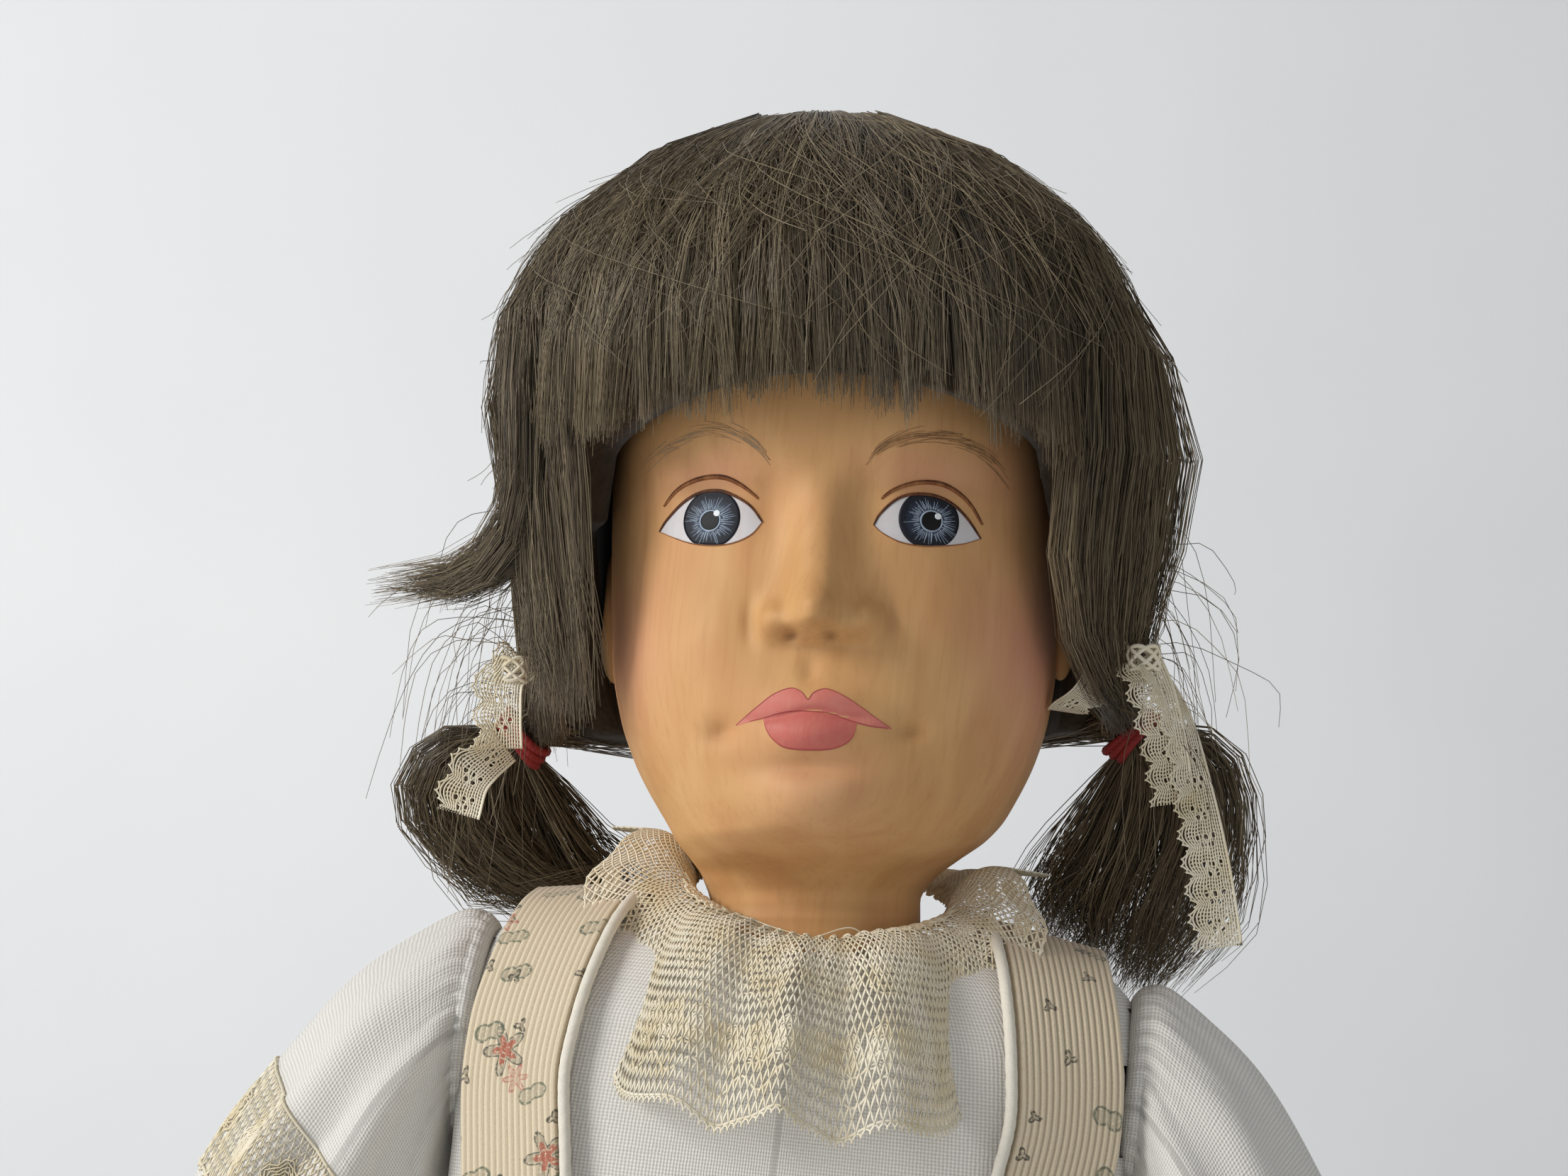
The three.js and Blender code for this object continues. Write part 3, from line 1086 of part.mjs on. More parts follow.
// Shoe: a low bar shoe round the foot, with an open throat and one strap, on its own sole
function shoeSolid() {
  const shell = footSolid(SHOE_WALL + SOCK_WALL, SHOE_WALL + SOCK_WALL, footLow - SHOE_WALL - GAP);
  const inside = footSolid(SOCK_WALL, SOCK_WALL, footLow - GAP);
  const ankleRoom = rod(vec(0, 3, TOPLINE - 7), vec(0, 3, 0), 12.6, 16);
  const throat = box(vec(-7, TOE_Y + 19, TOPLINE - 12), vec(7, -2, 0));
  const bridge = shell.subtract(inside).intersect(box(vec(-FAR, -16, -FAR), vec(FAR, -10, FAR)));
  return shell
    .subtract(inside)
    .subtract(ankleRoom)
    .subtract(throat)
    .add(bridge)
    .subtract(box(vec(-FAR, -FAR, -2 * FAR), vec(FAR, FAR, -KNEE_Z + SOLE_THICKNESS + GAP)));
}
function soleSolid() {
  const outline = (height) => around(20).map((angle) => {
    const along = (1 - Math.cos(angle)) / 2;
    const y = mix(HEEL_Y + 4.4, TOE_Y - 4.4, along);
    const waist = 1 - 0.16 * Math.sin(Math.PI * THREE.MathUtils.clamp(1.6 * along - 0.1, 0, 1)) ** 2;
    const half = (FOOT_HALF + 3.6) * waist * Math.abs(Math.sin(angle)) ** 0.7;
    return vec(Math.sign(Math.sin(angle)) * half, y, height);
  });
  return skin([outline(-KNEE_Z), outline(-KNEE_Z + SOLE_THICKNESS)]);
}
const sock = clothTube((turn, share) => {
  const distance = mix(SHIN_LENGTH - 38, SHIN_LENGTH + 6, share);
  const section = sectionAt(downwards(SHIN_ROWS), -distance);
  const turnUp = 1.2 * smooth(0.32, 0.26, share);
  const point = onSection(section, turn, GAP + SOCK_WALL / 2 + 0.2 + turnUp);
  return vec(point.x, point.y, -distance);
}, 14, 3, SOCK_WALL);

// Divided skirt: each half is a flared tube, flat on its inner side, hung in folds from the waistband.
// Above the crotch the flat side is open, round the torso.
const SEAM = 0.5;
const skirtTop = bandLow - GAP;
const skirtLow = skirtTop - SKIRT_LENGTH;
function skirtHalf(inset, heights, flat) {
  const rings = heights.map((height) => {
    const share = THREE.MathUtils.clamp((skirtTop - height) / SKIRT_LENGTH, 0, 1);
    const start = sectionAt(TORSO_ROWS, skirtTop);
    const swell = share ** 0.8;
    const half = mix(start.half + BAND_EASE + 2.4, HEM_HALF, swell);
    const front = mix(start.front + BAND_EASE + 2.4, HEM_DEPTH, swell);
    const back = mix(start.back + BAND_EASE + 4.4, HEM_DEPTH, swell);
    return steps(0, Math.PI, 3 * SKIRT_FOLDS).map((angle) => {
      const fold = mix(0.8, 4, share) * Math.cos(2 * SKIRT_FOLDS * angle) - 1;
      const hemEven = 1 - smooth(0.98, 1, Math.abs(Math.cos(angle)));
      const ease = -inset + fold * hemEven - (1 - hemEven) * 0.2;
      const point = onSection({ half, front, back, fullness: 2.1 }, angle, ease);
      return vec(Math.max(point.x, flat), point.y, height);
    });
  });
  return skin(rings);
}
const crotch = -CROTCH_DROP - 2;
const legHeights = steps(skirtLow, crotch, 2);
const seatHeights = steps(crotch, skirtTop, 2);
const skirtRoom = skirtHalf(SKIRT_WALL, [skirtLow - 5, ...legHeights], SEAM + SKIRT_WALL)
  .add(skirtHalf(SKIRT_WALL, [...seatHeights, skirtTop + 5], -20));
const culotte = skirtHalf(0, [...legHeights, ...seatHeights.slice(1)], SEAM).subtract(skirtRoom);

const kneePin = hub(PIN_R, KNEE_R - 1);
for (const [name, side] of SIDES) {
  piece(body, `culotte_${name}`, onSide(side, culotte), CORDUROY);
  const leg = group(doll, vec(side * LEG_X, 0, HIP_Z));
  piece(leg, `thigh_${name}`, onSide(side, thighSolid()), WOOD);
  const knee = group(leg, vec(0, 0, -THIGH_LENGTH));
  piece(knee, `knee_pin_${name}`, kneePin, STEEL);
  piece(knee, `shin_${name}`, onSide(side, shinSolid()), WOOD);
  piece(knee, `sock_${name}`, onSide(side, sock), SOCK);
  piece(knee, `shoe_${name}`, onSide(side, shoeSolid()), LEATHER);
  piece(knee, `sole_${name}`, onSide(side, soleSolid()), RUBBER_SOLE);
}

export default doll;
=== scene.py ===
"""The looks of a carved wooden collectible doll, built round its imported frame.

Sizes are in millimetres until a mesh is made, and +Z is up. "left" is the doll's own left, at +X.
"""

from __future__ import annotations

import json
import logging
import math
from collections.abc import Callable, Sequence
from dataclasses import dataclass
from enum import Enum

import bpy
import numpy as np
from mathutils import Matrix

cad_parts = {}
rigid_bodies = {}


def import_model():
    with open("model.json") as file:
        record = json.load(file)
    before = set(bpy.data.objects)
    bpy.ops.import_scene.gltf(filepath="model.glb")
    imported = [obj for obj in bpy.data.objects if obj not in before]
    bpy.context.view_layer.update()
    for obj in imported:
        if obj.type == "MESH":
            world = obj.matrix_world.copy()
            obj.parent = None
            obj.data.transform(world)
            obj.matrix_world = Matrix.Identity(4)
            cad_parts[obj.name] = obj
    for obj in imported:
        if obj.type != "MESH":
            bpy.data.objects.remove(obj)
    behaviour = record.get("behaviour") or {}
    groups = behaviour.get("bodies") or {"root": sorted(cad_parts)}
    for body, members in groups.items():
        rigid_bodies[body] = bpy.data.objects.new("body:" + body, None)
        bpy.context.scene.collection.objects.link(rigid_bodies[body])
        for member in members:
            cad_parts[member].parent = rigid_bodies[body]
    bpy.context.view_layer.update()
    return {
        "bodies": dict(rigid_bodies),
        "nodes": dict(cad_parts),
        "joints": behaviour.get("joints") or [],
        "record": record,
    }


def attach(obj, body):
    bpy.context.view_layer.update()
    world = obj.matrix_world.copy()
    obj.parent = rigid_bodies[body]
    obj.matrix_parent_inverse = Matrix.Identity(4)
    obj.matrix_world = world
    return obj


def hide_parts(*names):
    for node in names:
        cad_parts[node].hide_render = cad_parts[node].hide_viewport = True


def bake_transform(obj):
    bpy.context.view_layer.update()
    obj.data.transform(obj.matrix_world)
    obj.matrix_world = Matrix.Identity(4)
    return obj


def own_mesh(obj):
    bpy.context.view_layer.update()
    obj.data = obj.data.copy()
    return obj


LOG = logging.getLogger("doll")
Array = np.ndarray
Mesh = tuple[Array, list[Array]]
MM = 0.001


# Sums over whole arrays


def smooth(low: float, high: float, value: Array | float) -> Array:
    """An S-shaped share from 0 at low to 1 at high, 3t^2 - 2t^3; low may be the larger."""
    share = np.clip((np.asarray(value, float) - low) / (high - low), 0, 1)
    return share * share * (3 - 2 * share)


def mix(low: Array | float, high: Array | float, share: Array | float) -> Array:
    """The value at a share of the way from low to high."""
    return low + (np.asarray(high, float) - low) * share


def unit(vectors: Array) -> Array:
    """The vectors, each divided by its length."""
    return vectors / np.maximum(np.linalg.norm(vectors, axis=-1, keepdims=True), 1e-9)


def shift(x: float, y: float, z: float) -> Array:
    """The 4 x 4 matrix that moves by (x, y, z)."""
    matrix = np.eye(4)
    matrix[:3, 3] = (x, y, z)
    return matrix


def turn(axis: str, degrees: float) -> Array:
    """The 4 x 4 matrix that turns about one of the axes by the right-hand rule."""
    angle = math.radians(degrees)
    first, second = {"x": (1, 2), "y": (2, 0), "z": (0, 1)}[axis]
    matrix = np.eye(4)
    matrix[first, first] = matrix[second, second] = math.cos(angle)
    matrix[first, second], matrix[second, first] = -math.sin(angle), math.sin(angle)
    return matrix


def placed(matrix: Array, points: Array) -> Array:
    """The points after a 4 x 4 matrix."""
    return points @ matrix[:3, :3].T + matrix[:3, 3]


def between(at: Array, run: Array, points: Array) -> Array:
    """Points at some lengths along a line that has the given running lengths at its points."""
    return np.stack([np.interp(at, run, points[:, axis]) for axis in range(3)], axis=-1)


def running(points: Array) -> Array:
    """The lengths along a line at its points, from 0 at the first."""
    return np.concatenate([[0], np.cumsum(np.linalg.norm(np.diff(points, axis=0), axis=1))])


def circle(count: int) -> Array:
    """Even angles round a full turn, from 0."""
    return np.linspace(0, 2 * math.pi, count, endpoint=False)


def stacked(*parts: Array) -> Array:
    """The parts, spread to one shape, in a last axis."""
    return np.stack(np.broadcast_arrays(*parts), axis=-1)


def side_name(side: int) -> str:
    """The name of one of the doll's own sides: 1 is its left and -1 its right."""
    return "left" if side > 0 else "right"


def catmull(points: Sequence[Sequence[float]], shares: Array) -> Array:
    """Points of a uniform Catmull-Rom curve.

    Args:
        points: the points that the curve passes through; its ends carry on straight.
        shares: where along the curve, each point being one even step of 0 to 1.

    Returns:
        The curve's points, with a last axis of the points' size. Between two points the curve is
        the cubic whose slopes are half the difference of the neighbours on both sides.
    """
    knots = np.asarray(points, float)
    knots = np.concatenate([[2 * knots[0] - knots[1]], knots, [2 * knots[-1] - knots[-2]]])
    place = np.clip(np.asarray(shares, float), 0, 1) * (len(points) - 1)
    index = np.minimum(place.astype(int), len(points) - 2)
    t = (place - index).reshape(place.shape + (1,) * (knots.ndim - 1))
    a, b, c, d = (knots[index + k] for k in range(4))
    return 0.5 * (
        2 * b + (c - a) * t + (2 * a - 5 * b + 4 * c - d) * t**2 + (3 * b - a - 3 * c + d) * t**3
    )


@dataclass(frozen=True)
class Sections:
    """Rows of height, half width, front depth, back depth and fullness, joined by monotone cubics."""

    rows: tuple[tuple[float, ...], ...]

    def at(self, heights: Array) -> Array:
        """Half width, front, back and fullness at the heights, in a last axis of four.

        Each value is a cubic between two rows. Its slope at a row is the harmonic mean of the
        slopes on both sides, or 0 where they differ in sign, so it never overshoots.
        """
        rows = np.array(self.rows)
        levels, values = rows[:, 0], rows[:, 1:]
        slopes = np.diff(values, axis=0) / np.diff(levels)[:, None]
        before, after = slopes[:-1], slopes[1:]
        inner = np.where(
            before * after > 0, 2 * before * after / np.where(before + after == 0, 1, before + after), 0
        )
        tangents = np.concatenate([slopes[:1], inner, slopes[-1:]])
        clamped = np.clip(heights, levels[0], levels[-1])
        index = np.clip(np.searchsorted(levels, clamped, "left") - 1, 0, len(levels) - 2)
        span = (levels[index + 1] - levels[index])[..., None]
        t = (clamped - levels[index])[..., None] / span
        return (
            (2 * t**3 - 3 * t**2 + 1) * values[index]
            + (t**3 - 2 * t**2 + t) * tangents[index] * span
            + (3 * t**2 - 2 * t**3) * values[index + 1]
            + (t**3 - t**2) * tangents[index + 1] * span
        )

    def ring(self, angle: Array, height: Array, offset: Array | float = 0.0) -> Array:
        """Points of the superellipse sections.

        Args:
            angle: from the front (-Y) towards +X, in radians.
            height: of each point.
            offset: how far outside the section.

        Returns:
            The points. The radius along (x, y) is (|x / half|^n + |y / depth|^n)^(-1/n).
        """
        angle, height = np.broadcast_arrays(angle, np.asarray(height, float))
        half, front, back, power = np.moveaxis(self.at(height), -1, 0)
        x, y = np.sin(angle), -np.cos(angle)
        depth = np.where(y < 0, front, back) + offset
        radius = (np.abs(x / (half + offset)) ** power + np.abs(y / depth) ** power) ** (-1 / power)
        return np.stack([radius * x, radius * y, height], axis=-1)


# Meshes


def object_of(
    name: str,
    points: Array,
    faces: Sequence[Array],
    material: bpy.types.Material,
    values: dict[str, Array] | None = None,
    uv: Array | None = None,
    flat: bool = False,
) -> bpy.types.Object:
    """Makes a piece from whole arrays.

    Args:
        name: of the object and its mesh.
        points: N x 3, in the doll's own millimetres.
        faces: arrays of vertex numbers, each M x (3 or 4 or more), of closed shapes.
        material: the piece's finish.
        values: point attributes, of N numbers or N x 3 colours.
        uv: N x 2 pattern coordinates of the points.
        flat: whether the faces keep sharp edges.

    Returns:
        The object, at the origin. A mesh whose volume comes out negative is turned right side out;
        the volume is a sixth of the sum of a . (b x c) over the triangles.
    """
    points = np.asarray(points, float).reshape(-1, 3)
    centred = points - points.mean(axis=0)
    volume = 0.0
    for group in faces:
        for corner in range(1, group.shape[1] - 1):
            a, b, c = centred[group[:, 0]], centred[group[:, corner]], centred[group[:, corner + 1]]
            volume += float(np.einsum("ij,ij->", a, np.cross(b, c)))
    if volume < 0:
        faces = [group[:, ::-1] for group in faces]
    loops = np.concatenate([group.ravel() for group in faces]).astype(np.int32)
    sizes = np.concatenate([np.full(len(group), group.shape[1], np.int32) for group in faces])
    mesh = bpy.data.meshes.new(name)
    mesh.vertices.add(len(points))
    mesh.vertices.foreach_set("co", (points * MM).astype(np.float32).ravel())
    mesh.loops.add(len(loops))
    mesh.loops.foreach_set("vertex_index", loops)
    mesh.polygons.add(len(sizes))
    mesh.polygons.foreach_set("loop_start", (np.cumsum(sizes) - sizes).astype(np.int32))
    mesh.update(calc_edges=True)
    mesh.polygons.foreach_set("use_smooth", np.full(len(sizes), not flat))
    if uv is not None:
        layer = mesh.uv_layers.new(name="UVMap")
        layer.uv.foreach_set("vector", uv[loops].astype(np.float32).ravel())
    for label, numbers in (values or {}).items():
        if numbers.ndim == 1:
            mesh.attributes.new(label, "FLOAT", "POINT").data.foreach_set("value", numbers.astype(np.float32))
        else:
            colours = np.concatenate([numbers, np.ones((len(numbers), 1))], axis=1)
            layer = mesh.attributes.new(label, "FLOAT_COLOR", "POINT")
            layer.data.foreach_set("color", colours.astype(np.float32).ravel())
    mesh.materials.append(material)
    piece = bpy.data.objects.new(name, mesh)
    bpy.context.scene.collection.objects.link(piece)
    return piece


def quads(rows: int, columns: int, wrap_rows: bool = False, wrap_columns: bool = False) -> Array:
    """The faces of a grid of points numbered row by row, wrapped round either way or neither."""
    row = np.arange(rows if wrap_rows else rows - 1)[:, None]
    column = np.arange(columns if wrap_columns else columns - 1)[None]
    low, high = row * columns, (row + 1) % rows * columns
    right = (column + 1) % columns
    return np.stack([low + column, low + right, high + right, high + column], axis=-1).reshape(-1, 4)


def fans(ring: Array, middle: int, flip: bool) -> Array:
    """Triangles from a ring of vertex numbers to a middle point."""
    after = np.roll(ring, -1)
    ends = (after, ring) if flip else (ring, after)
    return np.stack([np.full(len(ring), middle), *ends], axis=-1)


def capped(rings: Array) -> Mesh:
    """A closed skin over rings of points (rows x columns x 3), with a middle point at each end."""
    rows, columns = rings.shape[:2]
    points = np.concatenate([rings.reshape(-1, 3), [rings[0].mean(axis=0)], [rings[-1].mean(axis=0)]])
    ring = np.arange(columns)
    last = (rows - 1) * columns
    return points, [
        quads(rows, columns, wrap_columns=True),
        fans(ring, rows * columns, True),
        fans(last + ring, rows * columns + 1, False),
    ]


def joined(parts: Sequence[Mesh]) -> Mesh:
    """Several skins as one: their points in a row, with the faces' numbers moved up to match."""
    starts = np.cumsum([0] + [len(points) for points, _ in parts[:-1]])
    groups = [group + start for (_, faces), start in zip(parts, starts) for group in faces]
    widths = sorted({group.shape[1] for group in groups})
    faces = [np.concatenate([group for group in groups if group.shape[1] == width]) for width in widths]
    return np.concatenate([points for points, _ in parts]), faces


def grid_normals(points: Array, wrap_columns: bool = False) -> Array:
    """Unit normals of a grid (rows x columns x 3): the cross product of its two differences."""
    if wrap_columns:
        across = np.roll(points, -1, axis=1) - np.roll(points, 1, axis=1)
    else:
        across = np.gradient(points, axis=1)
    return unit(np.cross(across, np.gradient(points, axis=0)))


def walled(points: Array, wall: float, wrap_columns: bool = False) -> Mesh:
    """A sheet with a thickness: the grid's two sides, half a wall either way, joined at the rims.

    Args:
        points: the sheet's middle, rows x columns x 3.
        wall: its thickness.
        wrap_columns: whether the last column meets the first, as on a tube.

    Returns:
        The closed mesh: its points and its faces.
    """
    rows, columns = points.shape[:2]
    out = grid_normals(points, wrap_columns) * wall / 2
    if wrap_columns:
        both = np.concatenate([points + out, (points - out)[::-1]])
        return both.reshape(-1, 3), [quads(2 * rows, columns, wrap_rows=True, wrap_columns=True)]
    both = np.concatenate([points + out, (points - out)[:, ::-1]], axis=1)
    looped = quads(rows, 2 * columns, wrap_columns=True)
    number = np.arange(rows * 2 * columns).reshape(rows, 2 * columns)
    ends = []
    for row, flip in ((0, True), (rows - 1, False)):
        front, back = number[row, :columns], number[row, columns:][::-1]
        end = np.stack([front[:-1], front[1:], back[1:], back[:-1]], axis=-1)
        ends.append(end[:, ::-1] if not flip else end)
    return both.reshape(-1, 3), [np.concatenate([looped, *(end[:, ::-1] for end in ends)])]


def tubes(paths: Array, radii: Array | float, sides: int = 3, normal: Array | None = None) -> Mesh:
    """Closed tubes along many paths at once.

    Args:
        paths: N x K x 3 points.
        radii: anything that spreads to N x K.
        sides: of each tube's section.
        normal: N x K x 3 directions that the first side faces, such as the cloth's normal. Without
            it, one is carried along each path and kept square to it.

    Returns:
        The skins' points and faces. A ring is path + radius (normal cos a + binormal sin a).
    """
    count, length = paths.shape[:2]
    along = unit(np.gradient(paths, axis=1))
    if normal is None:
        reference = unit(np.cross(along[:, 0], [0.31, 0.83, 0.46]))
        frames = [reference]
        for step in range(1, length):
            last = frames[-1]
            frames.append(unit(last - (last * along[:, step]).sum(-1, keepdims=True) * along[:, step]))
        normal = np.stack(frames, axis=1)
    side = unit(np.cross(along, normal))
    front = np.cross(side, along)
    radius = np.broadcast_to(radii, (count, length))[..., None, None]
    angle = (np.arange(sides) * 2 * math.pi / sides)[:, None]
    rings = paths[:, :, None] + radius * (
        np.cos(angle) * front[:, :, None] + np.sin(angle) * side[:, :, None]
    )
    one = quads(length, sides, wrap_columns=True)
    starts = (np.arange(count) * length * sides)[:, None, None]
    ends = np.stack([np.arange(sides)[::-1], (length - 1) * sides + np.arange(sides)])
    return rings.reshape(-1, 3), [
        (one[None] + starts).reshape(-1, 4), (ends[None] + starts).reshape(-1, sides)
    ]


# Materials


def linear(colour: str) -> tuple[float, float, float, float]:
    """A linear colour from an sRGB hex value: c / 12.92 below 0.04045, else ((c + 0.055) / 1.055)^2.4."""
    parts = (int(colour[place : place + 2], 16) / 255 for place in (1, 3, 5))
    return (*(c / 12.92 if c <= 0.04045 else ((c + 0.055) / 1.055) ** 2.4 for c in parts), 1.0)


def add(
    tree: bpy.types.NodeTree, kind: str, inputs: dict | None = None, **settings: object
) -> bpy.types.Node:
    """Adds one shader node.

    Args:
        tree: the material's node tree.
        kind: the node's type without its prefix.
        inputs: socket name, or its place among the sockets in use, to a value or a link. A node
            stands for its first output in use.
        settings: the node's own properties; stops gives a ramp its places and colours.

    Returns:
        The node.
    """
    node = tree.nodes.new("ShaderNode" + kind)
    stops = settings.pop("stops", None)
    for label, value in settings.items():
        setattr(node, label, value)
    if stops:
        ramp = node.color_ramp.elements
        for _ in stops[2:]:
            ramp.new(0.5)
        for element, (place, colour) in zip(ramp, stops):
            element.position, element.color = place, linear(colour)
    for key, value in (inputs or {}).items():
        used = [socket for socket in node.inputs if socket.enabled]
        socket = used[key] if isinstance(key, int) else next(s for s in used if s.name == key)
        if isinstance(value, bpy.types.Node):
            value = next(output for output in value.outputs if output.enabled)
        if isinstance(value, bpy.types.NodeSocket):
            tree.links.new(value, socket)
        else:
            socket.default_value = value
    return node


def ranged(
    tree: bpy.types.NodeTree, value: object, reach: tuple[float, float],
    span: tuple[float, float] = (0.0, 1.0)
) -> bpy.types.Node:
    """Carries a value's reach over to a span, and holds what lies outside at its ends."""
    low, high = reach
    ends = {"Value": value, "From Min": low, "From Max": high, "To Min": span[0], "To Max": span[1]}
    return add(tree, "MapRange", ends)


def blended(tree: bpy.types.NodeTree, share: object, first: object, second: object) -> bpy.types.Node:
    """The colour at a share of the way from the first to the second."""
    return add(tree, "Mix", {"Factor": share, "A": first, "B": second}, data_type="RGBA")


def worked(tree: bpy.types.NodeTree, operation: str, *values: object) -> bpy.types.Node:
    """One sum on the values."""
    return add(tree, "Math", dict(enumerate(values)), operation=operation)


def blank(name: str) -> tuple[bpy.types.Material, bpy.types.NodeTree]:
    """A new material with an empty node tree."""
    material = bpy.data.materials.new(name)
    material.use_nodes = True
    material.node_tree.nodes.clear()
    return material, material.node_tree


def surfaced(tree: bpy.types.NodeTree, shader: bpy.types.Node) -> None:
    """Links a shader to the material's surface."""
    output = tree.nodes.new("ShaderNodeOutputMaterial")
    tree.links.new(shader.outputs[0], output.inputs["Surface"])


@dataclass(frozen=True)
class StainedMaple:
    """Maple carved along its grain, stained honey and rubbed with wax: a satin face with fine
    upright lines about 0.5 mm apart, broader bands of figure, and pink rubbed into the cheeks."""

    name: str = "stained_maple"
    light: str = "#d9ab72"
    deep: str = "#c48f59"
    grain: str = "#a8713d"
    blush: str = "#cf8878"
    hollow_shade: str = "#6e4526"
    line_mm: float = 0.5
    figure_mm: float = 9.0

    def material(self) -> bpy.types.Material:
        """The material. It reads Object coordinates and the attributes blush and hollow; hollow is painted
        shade.
        """
        material, tree = blank(self.name)
        place = add(tree, "TexCoord").outputs["Object"]
        lines = add(tree, "Mapping", {"Vector": place, "Scale": (1, 1, 0.045)})
        fine = add(
            tree, "TexNoise",
            {"Vector": lines, "Scale": 1 / (self.line_mm * 2 * MM), "Detail": 3.0, "Roughness": 0.6}
        )
        broad = add(tree, "Mapping", {"Vector": place, "Scale": (1, 1, 0.3)})
        figure = add(
            tree, "TexNoise",
            {"Vector": broad, "Scale": 1 / (self.figure_mm * MM), "Detail": 2.0, "Distortion": 0.6}
        )
        patches = add(tree, "TexNoise", {"Vector": place, "Scale": 1 / (22 * MM), "Detail": 2.0})
        soft = ranged(tree, figure, (0.3, 0.7), (0.0, 0.75))
        base = blended(tree, soft, linear(self.light), linear(self.deep))
        mottled = ranged(tree, patches, (0.42, 0.7), (0.0, 0.35))
        warm = blended(tree, mottled, base, linear("#d08e62"))
        streak = ranged(tree, fine, (0.5, 0.75), (0.0, 0.22))
        lined = blended(tree, streak, warm, linear(self.grain))
        blush = add(tree, "Attribute", attribute_name="blush").outputs["Fac"]
        patchy = ranged(tree, patches, (0.0, 1.0), (0.75, 1.2))
        uneven = worked(tree, "MULTIPLY", blush, patchy)
        rosy = blended(tree, uneven, lined, linear(self.blush))
        # The hollow attribute mixes in painted shade, a dark brown in the carved recesses.
        hollow = add(tree, "Attribute", attribute_name="hollow").outputs["Fac"]
        shaded = blended(tree, hollow, rosy, linear(self.hollow_shade))
        relief = add(tree, "Bump", {"Height": fine, "Strength": 0.12, "Distance": 0.15 * MM})
        worn = ranged(tree, figure, (0.0, 1.0), (0.54, 0.68))
        shader = add(
            tree,
            "BsdfPrincipled",
            {
                "Base Color": shaded, "Roughness": worn, "IOR": 1.45, "Specular IOR Level": 0.4,
                "Normal": relief
            },
        )
        surfaced(tree, shader)
        return material


@dataclass(frozen=True)
class Paint:
    """Artist's acrylic brushed thinly on the wood: matt to silky, with the brush's faint streaks
    and a little of the wood's tone showing where it is thin."""

    name: str
    colour: str
    thin: str
    roughness: float = 0.45
    streak_mm: float = 0.35
    cover: float = 0.5

    def material(self) -> bpy.types.Material:
        """The material, whose streaks run up and down as the brush and the grain do."""
        material, tree = blank(self.name)
        place = add(tree, "TexCoord").outputs["Object"]
        stretched = add(tree, "Mapping", {"Vector": place, "Scale": (1, 1, 0.12)})
        streaks = add(
            tree, "TexNoise",
            {"Vector": stretched, "Scale": 1 / (self.streak_mm * 2 * MM), "Detail": 3.0}
        )
        clouds = add(tree, "TexNoise", {"Vector": place, "Scale": 1 / (2.5 * MM), "Detail": 2.0})
        thinness = worked(tree, "MULTIPLY", streaks, clouds)
        share = ranged(tree, thinness, (0.15, 0.4), (0.0, self.cover))
        colour = blended(tree, share, linear(self.colour), linear(self.thin))
        relief = add(tree, "Bump", {"Height": streaks, "Strength": 0.15, "Distance": 0.05 * MM})
        paint = {
            "Base Color": colour, "Roughness": self.roughness, "Specular IOR Level": 0.2,
            "Normal": relief
        }
        surfaced(tree, add(tree, "BsdfPrincipled", paint))
        return material


@dataclass(frozen=True)
class Plain:
    """A hard or soft finish with a fine mottle, for the pieces that the clothes mostly hide."""

    name: str
    colour: str
    other: str
    roughness: float
    mottle_mm: float
    metallic: float = 0.0
    relief: float = 0.2

    def material(self) -> bpy.types.Material:
        """The material: two near colours in a noise of the finish's own scale."""
        material, tree = blank(self.name)
        place = add(tree, "TexCoord").outputs["Object"]
        noise = add(
            tree, "TexNoise", {"Vector": place, "Scale": 1 / (self.mottle_mm * MM), "Detail": 4.0}
        )
        colour = blended(tree, noise, linear(self.colour), linear(self.other))
        relief = add(tree, "Bump", {"Height": noise, "Strength": self.relief, "Distance": 0.1 * MM})
        worn = ranged(tree, noise, (0.0, 1.0), (self.roughness - 0.06, self.roughness + 0.06))
        shader = add(
            tree,
            "BsdfPrincipled",
            {"Base Color": colour, "Roughness": worn, "Metallic": self.metallic, "Normal": relief},
        )
        surfaced(tree, shader)
        return material


@dataclass(frozen=True)
class IrisPaint:
    """Slate blue glaze over navy: dark at the rim, paler towards the pupil, with silky rays that
    come from the brush."""

    name: str = "slate_blue_paint"
    rim: str = "#12151f"
    middle: str = "#2a3344"
    inner: str = "#3a4759"

    def material(self) -> bpy.types.Material:
        """The material: its UV is the place on a disc of radius 1, so the length gives the depth of
        colour and the direction gives the rays."""
        material, tree = blank(self.name)
        place = add(tree, "TexCoord").outputs["UV"]
        radius = add(tree, "VectorMath", {0: place}, operation="LENGTH").outputs["Value"]
        way = add(tree, "VectorMath", {0: place}, operation="NORMALIZE")
        rays = add(tree, "TexNoise", {"Vector": way, "Scale": 9.0, "Detail": 4.0, "Roughness": 0.7})
        moved = worked(tree, "MULTIPLY_ADD", rays, 0.45, radius)
        ramp = add(
            tree,
            "ValToRGB",
            {"Fac": moved},
            stops=((0.3, self.inner), (0.72, self.middle), (0.98, "#1b2230"), (1.12 / 1.2, self.rim)),
        )
        surfaced(
            tree,
            add(
                tree, "BsdfPrincipled",
                {"Base Color": ramp, "Roughness": 0.55, "Specular IOR Level": 0.3}
            )
        )
        return material


